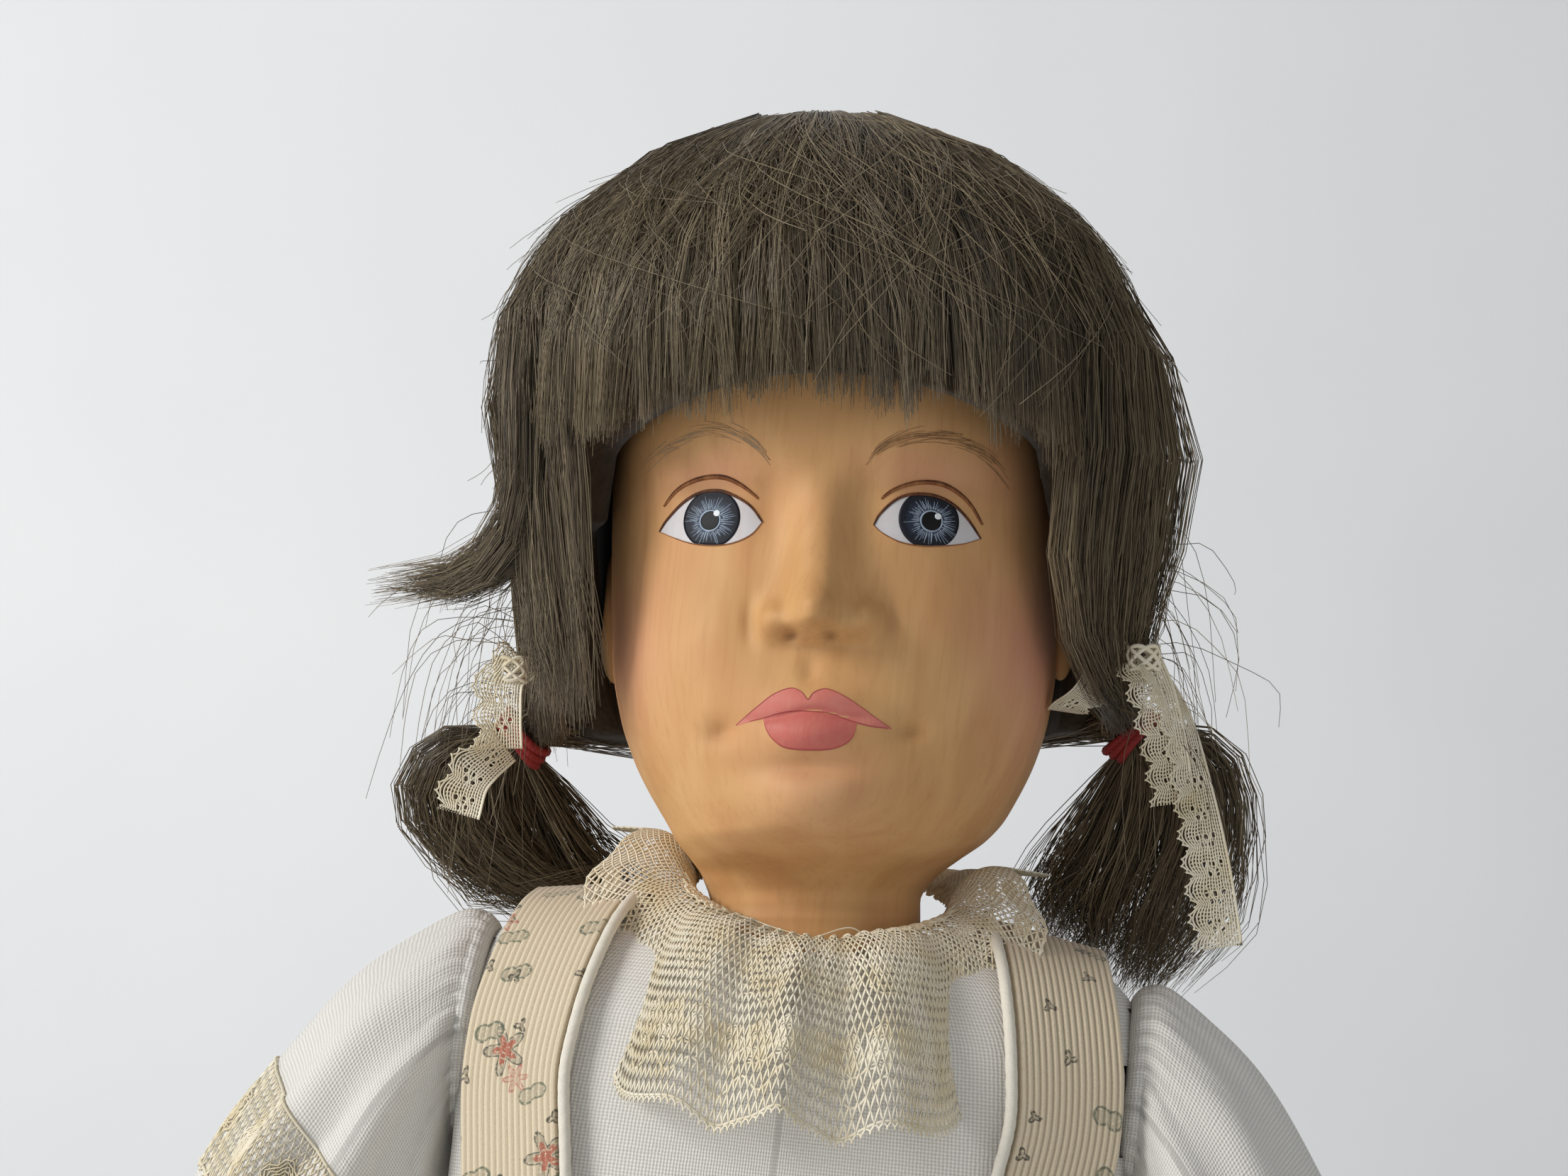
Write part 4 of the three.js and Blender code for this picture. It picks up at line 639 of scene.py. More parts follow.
@dataclass(frozen=True)
class LinenCotton:
    """White cotton in a linen weave: warp and weft of unlike thickness show as a faint grid, with
    a slub here and there and painted shade between the threads; matt, with a soft bloom at the edges. Its UV
    is in millimetres."""

    name: str = "linen_cotton"
    colour: str = "#eeebe5"
    shade: str = "#cbc6bc"
    thread_mm: float = 0.55

    def material(self) -> bpy.types.Material:
        """The material. Bands of a wave texture at scale s repeat every 0.314 / s."""
        material, tree = blank(self.name)
        place = add(tree, "TexCoord").outputs["UV"]
        uneven = {
            "Vector": place, "Scale": 0.314 / self.thread_mm, "Distortion": 1.4, "Detail": 2.0,
            "Detail Scale": 1.2
        }
        warp = add(tree, "TexWave", uneven, bands_direction="X")
        weft = add(tree, "TexWave", uneven, bands_direction="Y")
        weave = worked(tree, "ADD", warp, weft)
        long = add(tree, "Mapping", {"Vector": place, "Scale": (0.08, 1.6, 1)})
        slub = add(tree, "TexNoise", {"Vector": long, "Scale": 1.0, "Detail": 2.0})
        thick = ranged(tree, slub, (0.55, 0.75))
        raised = worked(tree, "MULTIPLY_ADD", thick, 0.8, weave)
        # Painted shade: between the threads, where neither warp nor weft crests, the colour darkens.
        share = ranged(tree, weave, (0.2, 1.6), (1.0, 0.0))
        colour = blended(tree, share, linear(self.colour), linear(self.shade))
        relief = add(tree, "Bump", {"Height": raised, "Strength": 0.55, "Distance": 0.12 * MM})
        cloth = {
            "Base Color": colour, "Roughness": 0.85, "Specular IOR Level": 0.2, "Normal": relief,
            "Sheen Weight": 0.2
        }
        surfaced(tree, add(tree, "BsdfPrincipled", cloth))
        return material


@dataclass(frozen=True)
class Corduroy:
    """Cream fine-wale corduroy: a ribbed pile with painted shade in the furrows, so the crowns look lighter,
    with small flowers printed here and there in rose and grey-green. Its UV is in millimetres."""

    name: str = "cream_corduroy"
    colour: str = "#dccbad"
    furrow_shade: str = "#b39f80"
    wale_mm: float = 1.14
    drawn_wales: bool = False
    printed: bool = True

    def tufted(
        self, tree: bpy.types.NodeTree, place: bpy.types.NodeSocket
    ) -> tuple[bpy.types.Node, bpy.types.Node]:
        """The pile's height and colour; the wales are drawn in only where the mesh has none.

        Args:
            tree: the material's node tree.
            place: the place on the cloth, in millimetres.

        Returns:
            The height and the colour.
        """
        drawn = add(tree, "Mapping", {"Vector": place, "Scale": (1, 0.45, 1)})
        pile = add(tree, "TexNoise", {"Vector": drawn, "Scale": 5.0, "Detail": 3.0})
        even = {"Vector": place, "Scale": 0.314 / self.wale_mm, "Distortion": 0.25}
        wales = add(tree, "TexWave", even, bands_direction="X")
        wales = worked(tree, "POWER", wales, 0.45)
        height = pile
        if self.drawn_wales:
            height = worked(tree, "MULTIPLY_ADD", pile, 0.5, wales)
        # Painted shade darkens the furrows between the wales.
        shade = ranged(tree, wales, (0.1, 0.8), (0.85, 0.0))
        base = blended(tree, shade, linear(self.colour), linear(self.furrow_shade))
        worn = ranged(tree, pile, (0.35, 0.7), (0.25, 0.0))
        return height, blended(tree, worn, base, linear("#efe4cd"))

    def scattered(
        self, tree: bpy.types.NodeTree, place: bpy.types.NodeSocket, apart: float,
        shifted: tuple[float, float, float]
    ) -> tuple[bpy.types.Node, bpy.types.Node, bpy.types.NodeSocket]:
        """The distance and the bearing to the nearest of many scattered points, and its own chance.

        Args:
            tree: the material's node tree.
            place: the place on the cloth, in millimetres.
            apart: the mean distance between the points.
            shifted: how far these points are moved against others.

        Returns:
            The distance, the bearing and the chance.
        """
        moved = add(tree, "Mapping", {"Vector": place, "Location": shifted})
        cells = add(
            tree, "TexVoronoi", {"Vector": moved, "Scale": 1 / apart, "Randomness": 0.75},
            voronoi_dimensions="2D"
        )
        away = add(tree, "VectorMath", {0: moved, 1: cells.outputs["Position"]}, operation="SUBTRACT")
        parts = add(tree, "SeparateXYZ", {"Vector": away})
        length = add(tree, "VectorMath", {0: away}, operation="LENGTH").outputs["Value"]
        bearing = worked(tree, "ARCTAN2", parts.outputs["Y"], parts.outputs["X"])
        return length, bearing, cells.outputs["Color"]

    def material(self) -> bpy.types.Material:
        """The material. A flower's rim is at r = R (0.7 + 0.3 cos(5 a)), and the ink is broken up by
        the pile."""
        material, tree = blank(self.name)
        place = add(tree, "TexCoord").outputs["UV"]
        height, colour = self.tufted(tree, place)
        if self.printed:
            broken = add(tree, "TexNoise", {"Vector": place, "Scale": 2.2, "Detail": 3.0})
            inked = ranged(tree, broken, (0.36, 0.46))
            for apart, reach, lobes, moved, ink, open_share in (
                (13.0, 4.2, 5.0, (3, 5, 0), "#4c4f47", 0.3),
                (13.0, 2.4, 5.0, (3, 5, 0), "#b4634f", 0.0),
                (10.0, 2.8, 2.0, (8, 1, 0), "#676e5b", 0.35),
                (8.5, 1.4, 3.0, (1, 9, 0), "#34352f", 0.3),
                (14.0, 2.6, 6.0, (6, 13, 0), "#bb7463", 0.3),
            ):
                length, bearing, chance = self.scattered(tree, place, apart, moved)
                phase = worked(tree, "MULTIPLY_ADD", bearing, lobes, chance)
                wave = worked(tree, "COSINE", phase)
                rim = worked(tree, "MULTIPLY_ADD", wave, 0.3 * reach, 0.7 * reach)
                inside = worked(tree, "SUBTRACT", rim, length)
                near = ranged(tree, inside, (-0.1, 0.1))
                core = ranged(tree, inside, (0.35, 0.6), (0.0, open_share * 2))
                line = add(tree, "Math", {0: near, 1: core}, operation="SUBTRACT", use_clamp=True)
                some = worked(tree, "GREATER_THAN", chance, 0.42)
                mask = worked(tree, "MULTIPLY", worked(tree, "MULTIPLY", line, some), inked)
                part = worked(tree, "MULTIPLY", mask, 0.85)
                colour = blended(tree, part, colour, linear(ink))
        depth = 0.35 if self.drawn_wales else 0.12
        relief = add(tree, "Bump", {"Height": height, "Strength": 0.7, "Distance": depth * MM})
        cloth = {
            "Base Color": colour, "Roughness": 0.9, "Specular IOR Level": 0.15, "Normal": relief,
            "Sheen Weight": 0.35, "Sheen Roughness": 0.5
        }
        surfaced(tree, add(tree, "BsdfPrincipled", cloth))
        return material


@dataclass(frozen=True)
class LaceThread:
    """Cream cotton thread, slightly yellowed: matt, and uneven in shade along the work."""

    name: str = "cream_lace_thread"
    colour: str = "#f3ead3"
    aged: str = "#e2d1a8"

    def material(self) -> bpy.types.Material:
        """The material, shaded over 6 mm and roughened at a quarter of a millimetre."""
        material, tree = blank(self.name)
        place = add(tree, "TexCoord").outputs["Object"]
        age = add(tree, "TexNoise", {"Vector": place, "Scale": 1 / (6 * MM), "Detail": 3.0})
        share = ranged(tree, age, (0.4, 0.75), (0.0, 0.8))
        colour = blended(tree, share, linear(self.colour), linear(self.aged))
        twist = add(tree, "TexNoise", {"Vector": place, "Scale": 1 / (0.25 * MM), "Detail": 2.0})
        relief = add(tree, "Bump", {"Height": twist, "Strength": 0.5, "Distance": 0.08 * MM})
        surfaced(
            tree,
            add(
                tree, "BsdfPrincipled",
                {"Base Color": colour, "Roughness": 0.85, "Specular IOR Level": 0.2, "Normal": relief}
            )
        )
        return material


# Head


@dataclass(frozen=True)
class HeadFrame:
    """Where the head's own frame is: its origin is on the head's axis at eye height."""

    pivot_z: float = 471.0
    tilt: float = -6.5
    neck_length: float = 66.0
    neck_shift: float = -3.4

    def matrix(self) -> Array:
        """From the head's frame to the doll's."""
        return (
            shift(0, 0, self.pivot_z) @ turn("y", self.tilt)
            @ shift(-self.neck_shift, 0, self.neck_length)
        )


HEAD = HeadFrame().matrix()


@dataclass(frozen=True)
class HeadShape:
    """The carved head's sizes and the formula of its surface."""

    chin_drop: float = 53.0
    face_half: float = 36.9
    face_front: float = 41.0
    skull_back: float = 55.0
    skull_top: float = 64.0
    neck_r: float = 17.3
    neck_length: float = 66.0
    neck_shift: float = -3.4
    columns: int = 300
    rows: int = 270

    def sections(self) -> Sections:
        """The plain egg of head and neck."""
        chin, top, half = self.chin_drop, self.skull_top, self.face_half
        front, back = self.face_front, self.skull_back
        neck = self.neck_r
        return Sections(
            (
                (-self.neck_length, neck, neck, neck, 2),
                (-chin - 5, neck, neck, neck + 1.5, 2),
                (-chin - 1, 0.52 * half, 0.5 * front, 0.345 * back, 2.05),
                (-chin + 2, 0.6 * half, 0.76 * front, 0.36 * back, 2.1),
                (-chin + 5, 0.69 * half, 0.91 * front, 0.375 * back, 2.15),
                (-chin + 11, 0.8 * half, 0.995 * front, 0.42 * back, 2.2),
                (-chin + 18, 0.895 * half, 1.02 * front, 0.54 * back, 2.25),
                (-chin + 25, 0.955 * half, 1.01 * front, 0.69 * back, 2.3),
                (-chin + 34, 0.992 * half, front, 0.85 * back, 2.3),
                (0, half, front, back, 2.3),
                (0.25 * top, 0.99 * half, 1.05 * front, back, 2.25),
                (0.44 * top, 0.97 * half, 1.05 * front, 0.97 * back, 2.15),
                (0.62 * top, 0.9 * half, 0.96 * front, 0.88 * back, 2.1),
                (0.78 * top, 0.77 * half, 0.81 * front, 0.74 * back, 2.05),
                (0.89 * top, 0.58 * half, 0.6 * front, 0.55 * back, 2),
                (0.97 * top, 0.32 * half, 0.33 * front, 0.3 * back, 2),
                (0.995 * top, 0.12 * half, 0.12 * front, 0.12 * back, 2),
            )
        )

    def mound(
        self, x: Array, z: Array, centre: tuple[float, float], spread: tuple[float, float]
    ) -> Array:
        """A round mound: exp(-((x - cx) / sx)^2 - ((z - cz) / sz)^2)."""
        return np.exp(-(((x - centre[0]) / spread[0]) ** 2) - ((z - centre[1]) / spread[1]) ** 2)

    def mouth_line(self, x: Array) -> Array:
        """The height of the line between the lips: a slow wave that drops at both corners."""
        return -31.2 - 0.0105 * (x + 1.2) ** 2 + 0.35 * np.cos((x + 1.2) * 0.55)

    def carving(self, x: Array, z: Array) -> Array:
        """How far the carver left the wood proud of the plain egg, as a sum of mounds and hollows.

        Args:
            x: places across the face.
            z: heights on the face.

        Returns:
            The rise of the wood over the egg.
        """
        side = np.abs(x)
        bridge = np.clip((8 - z) / 23, 0, 1)
        nose = (
            8.6 * bridge**1.15 * smooth(-21.2, -17.2, z)
            * np.exp(-((side / (3.2 + 2.2 * bridge)) ** 2.4))
        )
        tip = 2.4 * self.mound(x, z, (-1.0, -15.4), (4.2, 3.5))
        wings = (
            3.5 * self.mound(side, z, (7.6, -16.6), (2.7, 2.7))
            - 0.7 * self.mound(side, z, (5.1, -14.6), (1.2, 2.4))
        )
        grooves = -1.1 * self.mound(side, z, (10.9, -16.6), (1.3, 3.2))
        nostrils = (
            -2.0 * self.mound(x, z, (-4.3, -19.0), (1.3, 0.8))
            - 2.0 * self.mound(x, z, (1.7, -19.2), (1.3, 0.8))
        )
        sockets = (
            -2.6 * self.mound(side, z, (17.5, 1), (9.5, 6))
            - 1.2 * self.mound(side, z, (7.5, 2), (3, 6))
        )
        eyeballs = 2.2 * self.mound(side, z, (17.3, 0), (7.5, 4.6))
        philtrum = -0.6 * self.mound(x, z, (-1.6, -24.6), (1.6, 2.6))
        mouth = (
            1.7 * self.mound(x, z, (-1.2, -31), (11, 8)) + 1.0 * self.mound(x, z, (-1, -29), (6.5, 2.0))
        )
        lower_lip = 1.6 * self.mound(x, z, (-1.6, -34.4), (6.5, 2.4))
        seam = (
            -0.5 * np.exp(-(((z - self.mouth_line(x)) / 0.7) ** 2)) * np.exp(-(((x + 1.2) / 10) ** 4))
        )
        corners = -1.5 * self.mound(np.abs(x + 1.0), z, (14.6, -33.6), (3.0, 2.2))
        dimples = -0.35 * self.mound(np.abs(x + 0.7), z, (14.4, -33.4), (1.2, 1.0))
        chin = (
            3 * self.mound(x, z, (-1.8, -45.5), (10, 6))
            - 1.3 * self.mound(x, z, (-1.7, -39.4), (8, 1.8))
        )
        cheeks = 1.5 * self.mound(side, z, (20, -20), (10, 10))
        return (
            nose + tip + wings + grooves + nostrils + sockets + eyeballs + philtrum + mouth + lower_lip + seam
            + corners + dimples + chin + cheeks
        )

    def surface(self, angle: Array, height: Array) -> Array:
        """The carved surface at an angle from the front and a height."""
        plain = self.sections().ring(angle, height)
        front = self.sections().at(np.asarray(height, float))[..., 1]
        facing = smooth(0.15, 0.6, -plain[..., 1] / front)
        proud = self.carving(plain[..., 0], plain[..., 2]) * facing
        folds = (
            np.exp(-(((plain[..., 2] + 59.6) / 0.7) ** 2))
            + 0.7 * np.exp(-(((plain[..., 2] + 62.6) / 0.6) ** 2))
        )
        proud = proud - 0.3 * folds * facing
        lean = self.neck_shift * smooth(-self.chin_drop + 9, -self.chin_drop - 5, plain[..., 2])
        return np.stack([plain[..., 0] + lean, plain[..., 1] - proud, plain[..., 2]], axis=-1)

    def face(self, x: Array, z: Array, proud: Array | float = 0.0) -> Array:
        """Points on the face under given places of its front view.

        Args:
            x: across, in the head's frame.
            z: up.
            proud: how far outside the wood, square to it.

        Returns:
            The points. The depth solves the section's formula for y, less the carving, and the
            normal is square to the surface's two slopes, each taken over 0.2 mm.
        """
        x, z = np.broadcast_arrays(np.asarray(x, float), np.asarray(z, float))

        def depth(across: Array, up: Array) -> Array:
            """How far in front or behind the wood lies there."""
            half, front, _, power = np.moveaxis(self.sections().at(up), -1, 0)
            share = (1 - np.clip(np.abs(across) / half, 0, 0.999) ** power) ** (1 / power)
            return -front * share - self.carving(across, up) * smooth(0.15, 0.6, share)

        y = depth(x, z)
        slope_x = (depth(x + 0.1, z) - depth(x - 0.1, z)) / 0.2
        slope_z = (depth(x, z + 0.1) - depth(x, z - 0.1)) / 0.2
        normal = unit(np.stack([slope_x, -np.ones_like(y), slope_z], axis=-1))
        return np.stack([x, y, z], axis=-1) + normal * np.asarray(proud)[..., None]

    def skin(self) -> tuple[Array, list[Array], Array]:
        """The head from the ball of the neck to the crown, with the grid's points for the tints."""
        heights = np.concatenate(
            [
                np.linspace(-self.neck_length, -self.chin_drop, 16)[:-1],
                np.linspace(-self.chin_drop, 22, 158)[:-1],
                self.skull_top * np.sin(
                    np.linspace(math.asin(22 / self.skull_top), math.asin(0.995), 26)
                ),
            ]
        )
        round_it = circle(self.columns)
        crowded = round_it - 0.42 * np.sin(round_it)
        rings = self.surface(crowded[None], heights[:, None])
        below = np.radians(np.linspace(80, 6, 10))[:, None]
        ball = np.stack(
            [
                self.neck_r * np.cos(below) * np.sin(crowded) + self.neck_shift,
                -self.neck_r * np.cos(below) * np.cos(crowded),
                -self.neck_length - self.neck_r * np.sin(below) + 0 * crowded,
            ],
            axis=-1,
        )
        rings = np.concatenate([ball, rings])
        points, faces = capped(rings)
        return points, faces, rings


@dataclass(frozen=True)
class CarvedHead:
    """The head of one piece of wood, with its ears, its rubbed-in blush and painted shade in its hollows."""

    shape: HeadShape = HeadShape()
    ear_at: tuple[float, float, float] = (37.3, 5.0, -10.0)
    ear_radii: tuple[float, float, float] = (3.0, 6.0, 11.0)

    def ear(self, side: int) -> Mesh:
        """One ear: a leaf whose outer face is scooped out, so the rim stands round the hollow."""
        turns = circle(48)[None]
        rise = np.linspace(0.02, math.pi - 0.02, 30)[:, None]
        leaf = np.stack(
            [np.sin(rise) * np.cos(turns), np.sin(rise) * np.sin(turns), np.cos(rise) + 0 * turns],
            axis=-1
        )
        radii, middle = np.array(self.ear_radii), np.array(self.ear_at)
        points = leaf * radii
        outer = smooth(0.1, 0.7, leaf[..., 0])
        scoop = np.exp(-((((points[..., 1] + 1) / 3.2) ** 2 + ((points[..., 2] - 2) / 6) ** 2) ** 2))
        points[..., 0] -= 2.4 * scoop * outer
        points[..., 0] *= side
        return capped(points + middle * (side, 1, 1))

    def tints(self, points: Array) -> dict[str, Array]:
        """Blush on the cheeks and chin, and painted shade in the carved hollows and folds, as shares of 0 to
        1.
        """
        x, y, z = np.moveaxis(points, -1, 0)
        mound = self.shape.mound
        ahead = smooth(0, -14, y)
        blush = 0.55 * mound(x, z, (33, -22), (9, 15)) + 0.45 * mound(x, z, (-33, -20), (8, 13))
        blush += 0.3 * mound(x, z, (0, -42), (9, 6)) + 0.3 * mound(np.abs(x), z, (17, 7), (9, 3.2))
        blush += 0.25 * mound(x, z, (31, 8), (7, 7))
        # hollow is painted shade: darkening in the nostrils, mouth corners, nose wings, under the lower lip,
        # under the lid folds and in the neck crease.
        hollow = (
            0.6 * mound(x, z, (-4.3, -19.2), (1.2, 0.7)) + 0.6 * mound(x, z, (1.7, -19.4), (1.2, 0.7))
        )
        hollow += 0.17 * mound(np.abs(x + 1.0), z, (15, -33.8), (2.2, 1.4))
        hollow += (
            0.2 * mound(np.abs(x), z, (11, -17.0), (1.0, 3.0))
            + 0.1 * mound(x, z, (-1, -39.6), (7, 1.8))
        )
        hollow += (
            0.22 * mound(x, z, (-17.5, 5.4), (7.5, 1.3)) + 0.22 * mound(x, z, (17, 4.5), (7.5, 1.3))
        )
        hollow += 0.16 * mound(z, x, (-59.8, 0), (1.0, 14)) * (z < -54)
        return {"blush": np.clip(blush * ahead, 0, 1), "hollow": np.clip(hollow * ahead, 0, 1)}

    def make(self, wood: bpy.types.Material) -> list[bpy.types.Object]:
        """The head's object."""
        points, faces, _ = self.shape.skin()
        skins = joined([(points, faces), self.ear(1), self.ear(-1)])
        values = self.tints(skins[0])
        head = object_of("carved_head", placed(HEAD, skins[0]), skins[1], wood, values)
        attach(head, "head")
        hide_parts("head")
        return [head]


@dataclass(frozen=True)
class PaintedEye:
    """One painted eye: outline, iris and lid fold, in the head's front view (x, z)."""

    upper: tuple[tuple[float, float], ...]
    lower: tuple[tuple[float, float], ...]
    crease: tuple[tuple[float, float], ...]
    iris_at: tuple[float, float]
    pupil_at: tuple[float, float]
    glint_at: tuple[float, float]
    iris_r: float = 4.65
    pupil_r: float = 1.5
    glint_r: float = 0.5


VIEWER_LEFT_EYE = PaintedEye(
    upper=(
        (-26.1, -0.9), (-24.7, 0.9), (-21.9, 3.3), (-19.0, 4.5), (-16.0, 4.5), (-13.2, 3.3),
        (-10.9, 1.6), (-9.2, -0.8)
    ),
    lower=(
        (-26.1, -0.9), (-23.7, -2.2), (-20.7, -3.5), (-17.1, -4.2), (-13.7, -4.0), (-10.9, -2.8),
        (-9.2, -0.8)
    ),
    crease=((-25.9, 2.7), (-23.1, 5.5), (-19.5, 6.8), (-15.7, 6.8), (-12.6, 5.4), (-9.5, 2.9)),
    iris_at=(-17.3, 0.1),
    pupil_at=(-17.5, -0.2),
    glint_at=(-16.4, 0.9),
)
VIEWER_RIGHT_EYE = PaintedEye(
    upper=(
        (8.2, -1.5), (9.3, 0.4), (11.8, 2.6), (14.5, 3.5), (17.8, 3.4), (20.5, 2.2), (22.7, 0.1),
        (24.7, -2.8)
    ),
    lower=(
        (8.2, -1.5), (9.6, -2.8), (12.3, -4.2), (15.6, -4.7), (18.9, -4.5), (22.1, -3.9), (24.7, -2.8)
    ),
    crease=((8.9, 2.5), (11.2, 4.2), (14.8, 5.5), (18.4, 5.6), (21.1, 4.5), (23.3, 2.5), (25.2, -0.7)),
    iris_at=(16.7, -0.5),
    pupil_at=(17.1, -0.7),
    glint_at=(18.1, 0.1),
)


@dataclass(frozen=True)
class PaintedFace:
    """Eyes, brows and lips in thin paint, each patch lying 0.05 to 0.2 mm proud of the carved face."""

    shape: HeadShape = HeadShape()
    brow_left: tuple[tuple[float, float], ...] = (
        (-7.7, 8.8), (-9.6, 10.8), (-12.4, 12.5), (-15.3, 13.6), (-18.8, 13.7), (-22.4, 12.8),
        (-25.5, 11.4), (-28.7, 9.0),
    )
    brow_right: tuple[tuple[float, float], ...] = (
        (7.2, 9.0), (9.7, 10.8), (13.0, 12.2), (16.8, 12.7), (20.7, 12.4), (23.9, 11.5), (26.7, 9.6),
        (29.4, 6.4),
    )
    lip_top: tuple[tuple[float, float], ...] = (
        (-13.2, -32.6), (-11.2, -31.1), (-9.2, -29.6), (-7.0, -28.1), (-4.5, -27.3), (-2.8, -28.0),
        (-1.8, -29.2),
        (-0.9, -28.1), (1.0, -27.5), (3.7, -28.6), (6.3, -30.3), (9.0, -32.2), (10.8, -33.4),
    )
    lip_line: tuple[tuple[float, float], ...] = (
        (-13.2, -32.6), (-11.0, -32.2), (-9.0, -31.8), (-6.2, -31.1), (-3.4, -30.8), (-1.2, -31.0),
        (1.5, -31.3),
        (3.9, -32.2), (6.3, -32.9), (8.6, -33.3), (10.8, -33.4),
    )
    lip_low: tuple[tuple[float, float], ...] = (
        (-8.9, -31.8), (-8.1, -34.0), (-7.0, -35.4), (-5.3, -36.5), (-1.8, -36.9), (1.5, -36.8),
        (3.7, -36.1),
        (5.0, -34.9), (5.7, -32.8),
    )

    def patch(self, low: Array, high: Array, proud: float) -> Mesh:
        """A closed patch between two lines of the front view (K x 2): its face is proud of the wood
        by a share that fades at the rim, and its back lies 0.3 mm inside the wood.

        Args:
            low: the lower line.
            high: the upper line, with as many points.
            proud: how far the middle of the paint stands out of the wood.

        Returns:
            The closed mesh: its points and its faces.
        """
        share = np.linspace(0, 1, 25)[:, None, None]
        flat = low + (high - low) * share
        edge = np.sin(math.pi * np.linspace(0, 1, len(low)))[None] * np.sin(math.pi * share[..., 0])
        front = self.shape.face(flat[..., 0], flat[..., 1], proud * (0.6 + 0.4 * edge))
        back = self.shape.face(flat[..., 0], flat[..., 1], -0.3)
        number = np.arange(front.shape[0] * front.shape[1]).reshape(front.shape[:2])
        count = number.size
        rim = np.concatenate([number[0, :-1], number[:-1, -1], number[-1, :0:-1], number[:0:-1, 0]])
        after = np.roll(rim, -1)
        sides = np.stack([after, rim, rim + count, after + count], axis=-1)
        face = quads(*front.shape[:2])
        return np.concatenate([front.reshape(-1, 3), back.reshape(-1, 3)]), [
            np.concatenate([face, face[:, ::-1] + count, sides])
        ]

    def disc(
        self, at: tuple[float, float], radius: Array, proud: float
    ) -> tuple[Array, list[Array], Array]:
        """A closed round patch of a radius for each direction, with its pattern coordinates:
        u runs once round from 0 to 1 and v from the centre to the rim."""
        turns = circle(len(radius))
        shares = np.concatenate([np.linspace(0.02, 1, 12), np.linspace(1, 0.02, 5)])[:, None]
        lift = np.concatenate([np.full(12, proud), np.full(5, -0.3)])[:, None]
        x = at[0] + shares * radius * np.cos(turns)
        z = at[1] + shares * radius * np.sin(turns)
        points, faces = capped(self.shape.face(x, z, lift + 0 * x))
        uv = np.stack([np.cos(turns) * shares, np.sin(turns) * shares], axis=-1).reshape(-1, 2)
        return points, faces, np.concatenate([uv, [[0, 0], [0, 0]]])

    def strokes(self, paths: Array, widths: Array, proud: float) -> Mesh:
        """Brush strokes on the face.

        Args:
            paths: N x K x 2 places of the front view.
            widths: N x K.
            proud: how far the paint stands off the wood.

        Returns:
            Closed strips: each ring has two points on the paint, half a width to both sides of
            the path, and two under them inside the wood.
        """
        along = unit(np.gradient(paths, axis=1))
        side = np.stack([-along[..., 1], along[..., 0]], axis=-1) * widths[..., None] / 2
        left, right = paths + side, paths - side
        ring = np.stack(
            [
                self.shape.face(left[..., 0], left[..., 1], proud),
                self.shape.face(right[..., 0], right[..., 1], proud),
                self.shape.face(right[..., 0], right[..., 1], -0.2),
                self.shape.face(left[..., 0], left[..., 1], -0.2),
            ],
            axis=2,
        )
        count, length = paths.shape[:2]
        starts = (np.arange(count) * length * 4)[:, None, None]
        ends = np.stack([np.arange(4)[::-1], (length - 1) * 4 + np.arange(4)])
        one = quads(length, 4, wrap_columns=True)
        return ring.reshape(-1, 3), [
            np.concatenate([(one[None] + starts).reshape(-1, 4), (ends[None] + starts).reshape(-1, 4)])
        ]

    def line(
        self, points: Sequence[Sequence[float]], width: float, proud: float, low: float = 0.0,
        high: float = 1.0
    ) -> Mesh:
        """One stroke along a curve, widest in its middle and tapered to both ends."""
        shares = np.linspace(low, high, 60)
        path = catmull(points, shares)[None]
        taper = width * (0.25 + 0.75 * np.sin(math.pi * np.linspace(0.02, 0.98, 60)) ** 0.5)
        return self.strokes(path, taper[None], proud)

    def iris_strokes(self, eye: PaintedEye, limit: Array, rng: np.random.Generator) -> Mesh:
        """Pale strokes that ray out from a ring round the pupil, as the brush flicked them.

        Args:
            eye: the eye's sizes and place.
            limit: the radius of the open iris, round the eye.
            rng: the source of chance.

        Returns:
            The closed mesh of the strokes.
        """
        count = 74
        turns = (np.arange(count) + rng.uniform(-0.3, 0.3, count)) * 2 * math.pi / count
        reach = np.interp(
            turns % (2 * math.pi), np.linspace(0, 2 * math.pi, len(limit) + 1),
            np.append(limit, limit[0])
        )
        start = eye.pupil_r * rng.uniform(1.12, 1.45, count)
        end = np.minimum(reach * rng.uniform(0.55, 0.93, count), reach - 0.35)
        shares = np.linspace(0, 1, 6)
        radius = start[:, None] + (end - start)[:, None] * shares
        drift = turns[:, None] + rng.uniform(-0.05, 0.05, count)[:, None] * shares
        paths = np.stack(
            [eye.pupil_at[0] + radius * np.cos(drift), eye.pupil_at[1] + radius * np.sin(drift)],
            axis=-1
        )
        widths = rng.uniform(0.05, 0.1, count)[:, None] * (1 - 0.75 * shares) + 0.02
        return self.strokes(paths, widths, 0.13)

    def ring(self, eye: PaintedEye) -> Mesh:
        """The pale ring round the pupil."""
        turns = np.linspace(0, 2 * math.pi, 60)
        radius = eye.pupil_r + 0.13
        path = np.stack(
            [eye.pupil_at[0] + radius * np.cos(turns), eye.pupil_at[1] + radius * np.sin(turns)],
            axis=-1
        )
        wobble = 0.26 + 0.05 * np.sin(3 * turns + 1)
        return self.strokes(path[None], wobble[None], 0.14)

